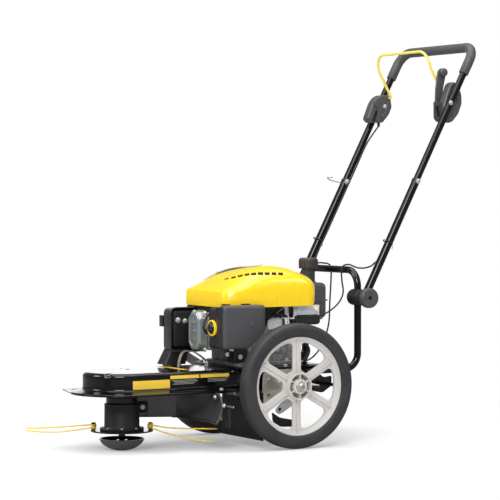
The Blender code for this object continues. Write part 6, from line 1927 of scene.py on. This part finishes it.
@step
class MOWER_OT_engine_block(bpy.types.Operator):
    """The crankcase with its flange, the zinc control plate and the small parts round it."""

    bl_idname = "mower.engine_block"
    bl_label = "Engine block"

    def execute(self, context):
        body = box_shape((-0.082, 0.33, 0.2266), (0.082, 0.51, 0.36), 0.02, 5)
        outline = rounded(rectangle((-0.104, 0.324), (0.104, 0.516)), 0.02, 6)
        flange = prism(outline, "Z", 0.2266, 0.2386, 0.0015)
        side = prism(rounded(rectangle((0.355, 0.262), (0.47, 0.342)), 0.02, 6), "X", 0.08, 0.0885, 0.002)
        boss = turned([(0.0, 0.088), (0.021, 0.088), (0.022, 0.089), (0.022, 0.0935), (0.0205, 0.095),
            (0.0, 0.095)], (0.436, 0.3), "X", 40)
        pad = box_shape((0.04, 0.49, 0.236), (0.082, 0.523, 0.345), 0.009, 4)
        put("crankcase_body", [body, flange, side, boss, pad], "cast_aluminium", "crankcase")
        ribs = [((0.0, 0.5105, 0.245 + 0.018 * i), UP) for i in range(6)]
        grow("crankcase_ribs", ribs, trees()["Slabs"], {"Slab Size": (0.12, 0.005, 0.0035)}, "cast_aluminium")
        screws("crankcase_side_screws", [((0.0885, y, z), LEFT) for y in (0.366, 0.459) for z in (0.272,
            0.333)], "zinc", 0.0048, 0.0048)
        self.control_plate()
        self.small_parts()
        self.hoses()
        return {"FINISHED"}

    def control_plate(self):
        corners = [(0.02, 0.462), (0.088, 0.462), (0.118, 0.498), (0.118, 0.56), (0.093, 0.585),
            (0.0325, 0.585), (0.02, 0.5725)]
        slot = rounded(rectangle((0.046, 0.535), (0.072, 0.541)), 0.0029, 4)
        sheet = plate([rounded(corners, 0.004, 4), slot], "Z", 0.3603, 0.3633, 0.0006)
        tab = box_shape((0.115, 0.496, 0.362), (0.118, 0.584, 0.399), 0.0014)
        put("control_plate", [sheet, tab], "zinc_with_painted_reflection", "control_bracket")
        screws("control_plate_bolts", [((0.118, 0.571, 0.386), LEFT), ((0.118, 0.508, 0.386), LEFT)],
            "zinc_with_painted_reflection", 0.0068, 0.006)
        screws("control_plate_screws", [((0.04, 0.478, 0.3633), UP), ((0.084, 0.478, 0.3633), UP)], "zinc",
            0.005, 0.0045)
        spring = [Vector((0.06 + 0.003 * cos(i * 0.7), 0.48 + i * 0.0004,
            0.37 + 0.003 * sin(i * 0.7))) for i in range(150)]
        put("control_spring", tube(spring, 0.0005, 6), "steel")

    def small_parts(self):
        outline = rounded(rectangle((0.072, 0.496), (0.127, 0.59)), 0.024, 8)
        bowl = prism(outline, "Z", 0.3425, 0.3718, 0.006)
        rim = prism(rounded(rectangle((0.0705, 0.4945), (0.1285, 0.5915)), 0.0255, 8), "Z", 0.364, 0.369,
            0.0012)
        put("governor_case", [bowl, rim], "black_plastic")
        put("governor_arm", prism(rounded([(0.424, 0.33), (0.47, 0.334), (0.476, 0.356), (0.452, 0.372),
            (0.426, 0.366)], 0.006, 4), "X", 0.0892, 0.0916, 0.0005), "zinc_with_painted_reflection")
        put("governor_bar", prism(rounded([(0.4775, 0.338), (0.4915, 0.338), (0.4905, 0.362), (0.486, 0.398),
            (0.474, 0.398), (0.475, 0.362)], 0.002, 4), "X", 0.1015, 0.104, 0.0006), "pale_steel")
        # Near-black discs on the bar's face: its holes drawn as painted shade
        holes = [turned(pillar(0.0018, 0.104, 0.1044), (0.483, z), "X", 16) for z in (0.35, 0.366)]
        put("governor_holes", holes, "hollow_shade")
        rod = smooth([(0.105, 0.448, 0.378), (0.105, 0.462, 0.388), (0.105, 0.474, 0.3965)], 0.004)
        put("governor_rod", tube(rod, 0.001, 10), "zinc_with_painted_reflection")
        shelf = box_shape((-0.09, 0.5103, 0.348), (-0.01, 0.677, 0.351), 0.001)
        face = box_shape((-0.09, 0.5103, 0.307), (-0.01, 0.5133, 0.3505), 0.001)
        put("tank_shelf", [shelf, face], "gloss_black", "tank_bracket")
        # Black boxes in front of the crankcase below the filter: painted shade where the crankcase's front
        # lies in shadow, with a zinc clip and two screws on them
        shade_boxes = [box_shape((0.05, 0.312, 0.24), (0.099, 0.324, 0.285), 0.004),
            box_shape((0.089, 0.318, 0.24), (0.099, 0.354, 0.296), 0.004), box_shape((0.06, 0.302, 0.252),
            (0.086, 0.315, 0.272), 0.003)]
        put("crankcase_front_shade", shade_boxes, "black_plastic")
        put("shade_box_clip", box_shape((0.07, 0.308, 0.272), (0.092, 0.312, 0.284), 0.0012), "zinc_with_painted_reflection")
        screws("shade_box_screws", [((0.099, 0.329, 0.256), LEFT), ((0.074, 0.302, 0.262), FRONT)],
            "zinc_with_painted_reflection", 0.005, 0.0048)
        put("oil_plug", turned([(0.0, 0.095), (0.015, 0.095), (0.016, 0.096), (0.016, 0.101),
            (0.0135, 0.1025), (0.0, 0.1025)], (0.436, 0.3), "X", 32), "black_plastic")

    def hoses(self):
        put("fan_shroud", turned([(0.0985, 0.3645), (0.1005, 0.3645), (0.1005, 0.3975), (0.0985, 0.3975)],
            (0, CRANK_Y), "Z", 96, wrap=True), "black_plastic")
        put("front_baffle", box_shape((-0.116, 0.272, 0.374), (0.078, 0.316, 0.3975), 0.004), "black_plastic")
        fuel = smooth([(0.09, 0.415, 0.352), (0.098, 0.425, 0.364), (0.104, 0.445, 0.373),
            (0.104, 0.47, 0.372), (0.1, 0.485, 0.366), (0.09, 0.505, 0.37), (0.07, 0.54, 0.38),
            (0.04, 0.575, 0.378), (0.01, 0.6, 0.372)], 0.004)
        put("fuel_hose", tube(fuel, 0.0042, 18), "rubber")
        drain = smooth([(0.03, 0.513, 0.3), (0.04, 0.545, 0.296), (0.05, 0.5703, 0.285), (0.05, 0.5876, 0.27),
            (0.05, 0.589, 0.255), (0.05, 0.581, 0.24), (0.05, 0.575, 0.229)], 0.004)
        put("breather_hose", tube(drain, 0.005, 18), "rubber")


@step
class MOWER_OT_tank(bpy.types.Operator):
    """The fuel tank with its ribbed neck and ribbed cap."""

    bl_idname = "mower.tank"
    bl_label = "Fuel tank"

    def execute(self, context):
        upper = box_shape((-0.115, 0.5855, 0.352), (0.015, 0.678, TANK_TOP), 0.015, 5)
        seam_low, seam_high = (-0.1155, 0.585, 0.404), (0.0155, 0.6785, 0.4085)
        seam = box_shape(seam_low, seam_high, 0.0018)
        neck = [(0.0, TANK_TOP - 0.004), (0.024, TANK_TOP - 0.004), (0.0225, TANK_TOP + 0.002)]
        for i in range(7):
            low = TANK_TOP + 0.004 + 0.0048 * i
            neck += [(0.0188, low), (0.0205, low + 0.0012), (0.0205, low + 0.003), (0.0188, low + 0.0042)]
        neck += [(0.0188, 0.498), (0.0, 0.498)]
        parts = [upper, seam, turned(neck, CAP_CENTRE, "Z", 56)]
        put("fuel_tank_body", parts, "grey_plastic", "fuel_tank", 50)
        cap = [(0.0, 0.4987), (0.0268, 0.4987), (0.0274, 0.4994), (0.0274, 0.525), (0.0268, 0.5276),
            (0.0252, 0.5296), (0.0228, 0.5305), (0.0195, 0.53), (0.0185, 0.5292), (0.0, 0.5292)]
        put("fuel_cap_body", turned(cap, CAP_CENTRE, "Z", 72), "cap_plastic", "fuel_cap", 50, body="cap")
        rib_ring("fuel_cap_ribs", [((*CAP_CENTRE, 0.5125), UP)], "cap_plastic", 24, 0.0276, 0.0026, 0.0034,
            0.025, body="cap")
        return {"FINISHED"}


# Where the starter's rope comes out, as (y, z)
ROPE_AT = (0.43, 0.428)


@step
class MOWER_OT_starter(bpy.types.Operator):
    """The starter's pull grip with its guide, on the far side of the engine cover."""

    bl_idname = "mower.starter"
    bl_label = "Starter"

    def execute(self, context):
        grip = box_shape((-0.188, 0.385, 0.417), (-0.164, 0.475, 0.439), 0.008, 5)
        stem = turned([(0.0, -0.166), (0.006, -0.166), (0.005, -0.15), (0.005, -0.1424), (0.0, -0.1424)],
            ROPE_AT, "X", 24)
        put("starter_handle", [grip, stem], "black_plastic", "starter_grip", body="starter")
        put("starter_eyelet", turned([(0.008, -0.1418), (0.012, -0.1418), (0.0125, -0.1436),
            (0.0105, -0.1448), (0.008, -0.144)], ROPE_AT, "X", 36, wrap=True), "black_plastic")
        self.rope()
        pedal = [prism(rounded([(0.633, 0.137), (0.668, 0.13), (0.7, 0.15), (0.7, 0.18), (0.672, 0.176),
            (0.65, 0.193), (0.633, 0.182)], 0.007), "X", -0.004, 0.004, 0.0012),
            box_shape((-0.004, 0.64, 0.15), (0.004, 0.656, 0.166), 0.003)]
        put("rear_bracket", pedal, "gloss_black")
        put("rear_stay", box_shape((-0.134, 0.684, 0.15), (0.078, 0.693, 0.16), 0.003), "gloss_black")
        return {"FINISHED"}

    def rope(self):
        """The starter's rope: short and inside the grip's stem at rest."""
        inside, held = Vector((-0.134, *ROPE_AT)), Vector((-0.162, *ROPE_AT))
        bm = tube([inside.lerp(held, i / 28) for i in range(29)], 0.0018, 14)
        blended("starter_rope", bm)


# Handle

HANDLE_BEND = 0.045
LOWER_TUBE = (0.01, 0.385)
SOCKET_WALL = 0.0015
FOAM_LEG = 0.092
# How far up each leg the screws of its tube joint are
JOINT_REACH = 0.384
# How far up each leg its cable tie sits
TIE_REACH = 0.18
CONTROL_X = (0.15, 0.1802)
THROTTLE_OUTLINE = ((0.984, 0.946), (0.997, 0.931), (1.014, 0.936), (1.036, 0.96), (1.048, 0.99),
    (1.047, 1.016), (1.036, 1.044), (1.018, 1.055), (1.004, 1.046), (0.99, 1.012), (0.98, 0.98))
BAIL_OUTLINE = ((0.928, 0.952), (0.939, 0.94), (0.986, 0.941), (1.01, 0.967), (1.0205, 0.99), (1.017, 1.01),
    (1.012, 1.027), (0.978, 1.026), (0.96, 1.016), (0.948, 1.0))
BAIL_PIVOT = (1.008, 1.018)
LEVER_PIVOT = (0.982, 0.985)
LEVER_KNOB = (0.999, 1.083)


def along(sizes, distance, x, ahead=0.0):
    """The point so far up a handle leg from its hinge, and so far in front of it."""
    lean = sizes.handle_lean
    y = HINGE[0] + distance * sin(lean) - ahead * cos(lean)
    z = HINGE[1] + distance * cos(lean) + ahead * sin(lean)
    return Vector((x, y, z))


def bent(corners, reach, steps=14):
    """A path through corners, each rounded with an arc of the given radius."""
    path = [corners[0]]
    for before, corner, after in zip(corners, corners[1:], corners[2:]):
        a = (before - corner).normalized()
        b = (after - corner).normalized()
        half = a.angle(b) / 2
        start, end = corner + a * reach / tan(half), corner + b * reach / tan(half)
        centre = corner + (a + b).normalized() * reach / sin(half)
        for i in range(steps + 1):
            spoke = (start - centre).normalized().slerp((end - centre).normalized(), i / steps)
            path.append(centre + spoke * reach)
    return path + [corners[-1]]


def hoop(sizes, low):
    """The corners of the bar up one leg, across and down the other, from so far up the legs."""
    x, top = sizes.handle_half, sizes.handle_length
    return [along(sizes, low, x), along(sizes, top, x), along(sizes, top, -x), along(sizes, low, -x)]


@step
class MOWER_OT_handle(bpy.types.Operator):
    """The two lower tubes with their clamp blocks, the bent upper bar and its joint screws."""

    bl_idname = "mower.handle"
    bl_label = "Handle tubes"

    def execute(self, context):
        sizes = context.scene.mower_sizes
        x = sizes.handle_half
        radius = sizes.tube_radius
        for side, label in SIDES:
            ends = [along(sizes, reach, side * x) for reach in LOWER_TUBE]
            bar(f"handle_tube_{label}", ends, (), radius + SOCKET_WALL, "gloss_black",
                f"lower_handle_{label}", body="handle")
            mouth = [along(sizes, reach, side * x) for reach in (0.3835, 0.3842, 0.3872, 0.388)]
            ring = [radius + 0.0022, radius + 0.0026, radius + 0.0026, radius + 0.002]
            put(f"handle_collar_{label}", tube(mouth, ring, 32), "black_plastic", body="handle")
            hinge_block(f"handle_clamp_{label}", 0.1779, 0.203, side, "handle")
        bar("handle_bar", hoop(sizes, LOWER_TUBE[1] - 0.02), (HANDLE_BEND, HANDLE_BEND), radius,
            "gloss_black", "upper_handle", body="handle")
        self.screws(sizes, x, radius)
        self.guide()
        self.ties(sizes, x, radius)
        return {"FINISHED"}

    def screws(self, sizes, x, radius):
        face = radius + SOCKET_WALL - 0.0006
        screws("handle_joint_screws", [(tuple(along(sizes, JOINT_REACH, side * x + way * face)),
            (way, 0, 0)) for side in (1, -1) for way in (1, -1)], "zinc", 0.0056, 0.0042, body="handle")
        screws("control_clamp_screws", [((0.201, 0.9913, 0.9909), LEFT), ((-0.15, 0.9931, 0.9913), LEFT)],
            "zinc", 0.005, 0.0036, body="handle")

    def guide(self):
        """The curled wire on the far leg that holds the starter rope."""
        route = smooth([(-0.191, 0.865, 0.754), (-0.191, 0.845, 0.7575), (-0.191, 0.823, 0.762),
            (-0.19, 0.812, 0.7665), (-0.187, 0.806, 0.7705), (-0.181, 0.805, 0.7725), (-0.176, 0.81, 0.772),
            (-0.176, 0.816, 0.77)], 0.003)
        put("rope_guide", tube(route, 0.0016, 12), "steel", body="handle")
        put("rope_guide_foot", turned(pillar(0.006, -0.179, -0.1774), (0.87, 0.756), "X", 24), "zinc",
            body="handle")

    def ties(self, sizes, x, radius):
        for side, label in SIDES:
            wide = radius + 0.0052
            turn = Matrix.Rotation(-sizes.handle_lean, 4, "X")
            ring = turned([(wide - 0.0012, -0.0016), (wide, -0.0012), (wide, 0.0012),
                (wide - 0.0012, 0.0016)], (0, 0), "Z", 36, wrap=True)
            tail = tube([Vector((0.0, wide, 0.0)), Vector((0.0, wide + 0.0045, -0.004)), Vector((0.0,
                wide + 0.007, -0.012))], 0.0008, 8)
            bm = gather([ring, tail])
            bmesh.ops.transform(bm, verts=bm.verts, matrix=turn)
            bmesh.ops.translate(bm, verts=bm.verts, vec=along(sizes, TIE_REACH, side * x, 0.003))
            put(f"cable_tie_{label}", bm, "rubber", body="handle")


@step
class MOWER_OT_grip(bpy.types.Operator):
    """The foam grip round the crossbar and the tops of both legs."""

    bl_idname = "mower.grip"
    bl_label = "Foam grip"

    def execute(self, context):
        sizes = context.scene.mower_sizes
        path = bent(hoop(sizes, sizes.handle_length - FOAM_LEG), HANDLE_BEND, 20)
        path = [path[0], path[0].lerp(path[1], 0.02), *path[1:-1], path[-1].lerp(path[-2], 0.02), path[-1]]
        radius = sizes.foam_radius
        outer = [radius - 0.0009] + [radius] * (len(path) - 2) + [radius - 0.0009]
        rings = sections(path, outer, 40)
        inner = sections(path, sizes.tube_radius + 0.0002, 40)
        grip = put("grip_foam", loft(rings + inner[::-1], wrap=True), "foam", "foam_grip", 50, body="handle")
        return {"FINISHED"}


@step
class MOWER_OT_knobs(bpy.types.Operator):
    """The two round hinge knobs with their cross bolts."""

    bl_idname = "mower.knobs"
    bl_label = "Hinge knobs"

    def execute(self, context):
        for side, label in SIDES:
            start, end = 0.2033, 0.2253
            profile = [(0.0, 0.1225), (0.0036, 0.1225), (0.004, 0.1232), (0.004, start), (0.0235, start),
                (0.0268, start + 0.0012), (0.0284, start + 0.0036), (0.029, start + 0.0072),
                (0.029, end - 0.006), (0.0284, end - 0.003), (0.0268, end - 0.0009), (0.0245, end),
                (0.009, end - 0.0016), (0.0062, end - 0.0018), (0.0056, end - 0.003), (0.0054, end - 0.009),
                (0.0, end - 0.009)]
            put(f"knob_{label}_disc", turned([(radius, side * x) for radius, x in profile], HINGE, "X", 72),
                "grey_plastic", f"handle_knob_{label}", 45, body=f"knob_{label}")
            # A near-black disc down the knob's bore: painted shade at its bottom
            put(f"knob_{label}_bore", turned(pillar(0.005, side * (end - 0.0088), side * (end - 0.007)),
                HINGE, "X", 24), "hollow_shade", body=f"knob_{label}")
            rib_ring(f"knob_{label}_ridges", [((side * (start + 0.0115), *HINGE), (side, 0, 0))],
                "grey_plastic", 36, 0.0289, 0.0008, 0.0016, 0.01, body=f"knob_{label}")
        return {"FINISHED"}


def housing_shape(outline, side):
    """A control housing with a raised middle, rounded rims and a hole for the bail's end."""
    low, high = CONTROL_X
    ends = sorted((side * low, side * high))
    body = prism(rounded(outline, 0.006, 4), "X", *ends, 0.0035)
    hole = turned(pillar(0.0043, side * 0.149, side * 0.168), BAIL_PIVOT, "X", 28)
    return body, hole


@step
class MOWER_OT_controls(bpy.types.Operator):
    """The two control housings, the throttle lever and the yellow bail."""

    bl_idname = "mower.controls"
    bl_label = "Controls"

    def execute(self, context):
        body, hole = housing_shape(THROTTLE_OUTLINE, 1)
        pin_hole = turned(pillar(0.0048, 0.149, 0.168), LEVER_PIVOT, "X", 28)
        put("throttle_case", carve(body, [hole, pin_hole]), "housing_plastic", "throttle_housing",
            body="handle")
        put("throttle_ridge", prism(rounded([(1.012, 0.945), (1.022, 0.95), (1.038, 0.985), (1.037, 1.015),
            (1.022, 1.04), (1.012, 1.036), (1.026, 1.01), (1.026, 0.985)], 0.004, 4), "X", 0.1795, 0.1822,
            0.0012), "housing_plastic", body="handle")
        slot = rounded([(0.966, 0.981), (0.976, 0.981), (0.986, 0.953), (0.976, 0.95)], 0.003, 4)
        edge = rounded([(0.96, 0.996), (0.986, 0.996), (0.998, 0.942), (0.974, 0.933), (0.961, 0.944)], 0.006,
            4)
        put("throttle_bracket", plate([edge, slot], "X", 0.1545, 0.1585, 0.0008), "housing_plastic",
            body="handle")
        put("throttle_bracket_back", prism(rounded([(0.964, 0.984), (0.978, 0.984), (0.989, 0.95),
            (0.974, 0.947)], 0.003, 4), "X", 0.153, 0.1546), "black_plastic", body="handle")
        body, hole = housing_shape(BAIL_OUTLINE, -1)
        put("bail_case", carve(body, [hole]), "housing_plastic", "bail_housing", body="handle")
        wedge = prism(rounded([(1.012, 1.016), (1.016, 0.992), (1.006, 0.97), (0.984, 0.945), (0.98, 0.96),
            (0.996, 0.984), (1.0, 1.004)], 0.003, 4), "X", -0.1505, -0.1465, 0.0012)
        boss = turned([(0.0, -0.1505), (0.011, -0.1505), (0.011, -0.1465), (0.0095, -0.145), (0.0, -0.145)],
            (0.96, 1.0), "X", 32)
        put("bail_case_ridge", [wedge, boss], "housing_plastic", body="handle")
        # A near-black strip on the housing: its groove drawn as painted shade
        put("bail_case_groove", prism(rounded([(0.944, 0.944), (0.955, 0.944), (0.966, 0.975),
            (0.96, 0.982)], 0.003, 4), "X", -0.1502, -0.1492), "hollow_shade", body="handle")
        self.lever()
        self.bail()
        return {"FINISHED"}

    def lever(self):
        y, z = LEVER_PIVOT
        knob_y, knob_z = LEVER_KNOB
        outline = [(y - 0.01, z - 0.004), (y, z - 0.011), (y + 0.01, z - 0.004), (y + 0.013, z + 0.02),
            (y + 0.02, z + 0.055), (knob_y + 0.011, knob_z - 0.008), (knob_y + 0.008, knob_z + 0.01),
            (knob_y - 0.006, knob_z + 0.013), (knob_y - 0.017, knob_z + 0.004), (y - 0.008, z + 0.05)]
        stem = prism(rounded(outline, 0.005, 4), "X", 0.1432, 0.1492, 0.0012)
        knob = turned([(0.0, 0.142), (0.0095, 0.142), (0.0118, 0.1436), (0.0125, 0.146), (0.0125, 0.1545),
            (0.012, 0.157), (0.0106, 0.1588), (0.0085, 0.1596), (0.0, 0.1598)], LEVER_KNOB, "X", 40)
        pin = turned(pillar(0.0044, 0.144, 0.1635), LEVER_PIVOT, "X", 24)
        put("throttle_stem", [stem, knob, pin], "housing_plastic", "throttle_lever", body="throttle")

    def bail(self):
        y, z = BAIL_PIVOT
        arm, pin = 0.137, 0.1635
        half = [(pin, y, z), (arm, y, z), (arm, 0.962, 1.098), (arm, 0.95, 1.146)]
        corners = half + [(-x, *rest) for x, *rest in reversed(half)]
        bar("bail_hoop", corners, (0.008, 0.04, 0.042, 0.042, 0.04, 0.008), 0.004, "yellow_bar", "bail_bar",
            20, body="bail")


# Cables

CABLE_SIDE = 0.165
THROTTLE_LOOP = ((0.169, 0.737, 0.5155), (0.158, 0.73, 0.508), (0.14, 0.721, 0.504), (0.12, 0.713, 0.505),
    (0.103, 0.706, 0.511), (0.095, 0.7015, 0.5135), (0.088, 0.692, 0.5125), (0.0848, 0.6845, 0.506),
    (0.084, 0.682, 0.49), (0.086, 0.6825, 0.465), (0.09, 0.684, 0.43), (0.083, 0.67, 0.398),
    (0.07, 0.64, 0.372), (0.07, 0.6, 0.3618), (0.07, 0.5853, 0.3618))
BELT_LOOP = ((-0.165, 0.738, 0.497), (-0.13, 0.728, 0.508), (-0.09, 0.716, 0.5135), (-0.05, 0.707, 0.5135),
    (-0.032, 0.7085, 0.5125), (-0.026, 0.7155, 0.503), (-0.024, 0.715, 0.47), (-0.026, 0.712, 0.4),
    (-0.024, 0.706, 0.33), (-0.02, 0.68, 0.27), (-0.015, 0.645, 0.236), (-0.015, 0.615, 0.2243),
    (-0.015, 0.6003, 0.2243))


@step
class MOWER_OT_cables(bpy.types.Operator):
    """The throttle and belt cables, each one piece from its housing to its end, bent across the hinge."""

    bl_idname = "mower.cables"
    bl_label = "Control cables"

    def execute(self, context):
        sizes = context.scene.mower_sizes
        self.cable(sizes, "throttle_cable", 1, THROTTLE_OUTLINE[0:2], THROTTLE_LOOP)
        self.cable(sizes, "belt_cable", -1, ((0.968, 0.941), (0.99, 0.942)), BELT_LOOP)
        return {"FINISHED"}

    def cable(self, sizes, name, side, port, loop):
        radius = sizes.cable_radius
        start, end = Vector(port[0]), Vector(port[1])
        way = (end - start).normalized()
        out = Vector((0, way.y, -way.x))
        middle = (start + end) / 2
        top = Vector((side * CABLE_SIDE, middle.x, middle.y)) + out * 0.0004
        route = [top - out * 0.004, top + out * radius * 2, top + out * radius * 4]
        route += [along(sizes, reach, side * 0.1755, -0.006) for reach in (0.52, 0.433, 0.303, 0.22)]
        route.append(along(sizes, 0.15 if side < 0 else 0.145, side * 0.1745, -0.005))
        path = smooth(route + list(loop), 0.006)
        bm = loft(sections(path, radius, 14))
        cable = blended(f"{name}_whole", bm)
        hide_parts(f"{name}_upper", f"{name}_lower")
        boot = [top - out * 0.003, top + out * 0.001, top + out * 0.012, top + out * 0.0135]
        put(f"{name}_boot", tube(boot, [0.0046, 0.0046, 0.0036, 0.0028], 20), "black_plastic", body="handle")
        last, before = Vector(loop[-1]), Vector(loop[-2])
        back = (before - last).normalized()
        ferrule = [last + back * 0.0006, last + back * 0.0012, last + back * 0.011, last + back * 0.0122]
        put(f"{name}_ferrule", tube(ferrule, [0.003, 0.0035, 0.0035, 0.0028], 18), "zinc")


class MOWER_PT_panel(bpy.types.Panel):
    """Lists the steps, the sizes and the colours."""

    bl_label = "Mower"
    bl_idname = "MOWER_PT_panel"
    bl_space_type = "VIEW_3D"
    bl_region_type = "UI"
    bl_category = "Mower"

    def draw(self, context):
        layout = self.layout
        for made in STEPS:
            layout.operator(made.bl_idname)
        for group in (context.scene.mower_sizes, context.scene.mower_colors):
            box = layout.box()
            for name in group.__annotations__:
                box.prop(group, name)


CLASSES = (MowerSizes, MowerColors, *STEPS, MOWER_PT_panel)


def register():
    for made in CLASSES:
        bpy.utils.register_class(made)
    bpy.types.Scene.mower_sizes = PointerProperty(type=MowerSizes)
    bpy.types.Scene.mower_colors = PointerProperty(type=MowerColors)


def unregister():
    del bpy.types.Scene.mower_colors
    del bpy.types.Scene.mower_sizes
    for made in reversed(CLASSES):
        bpy.utils.unregister_class(made)


def main():
    """Registers the add-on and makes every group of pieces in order."""
    register()
    for made in STEPS:
        getattr(bpy.ops.mower, made.bl_idname.split(".")[1])()


if __name__ == "__main__":
    main()
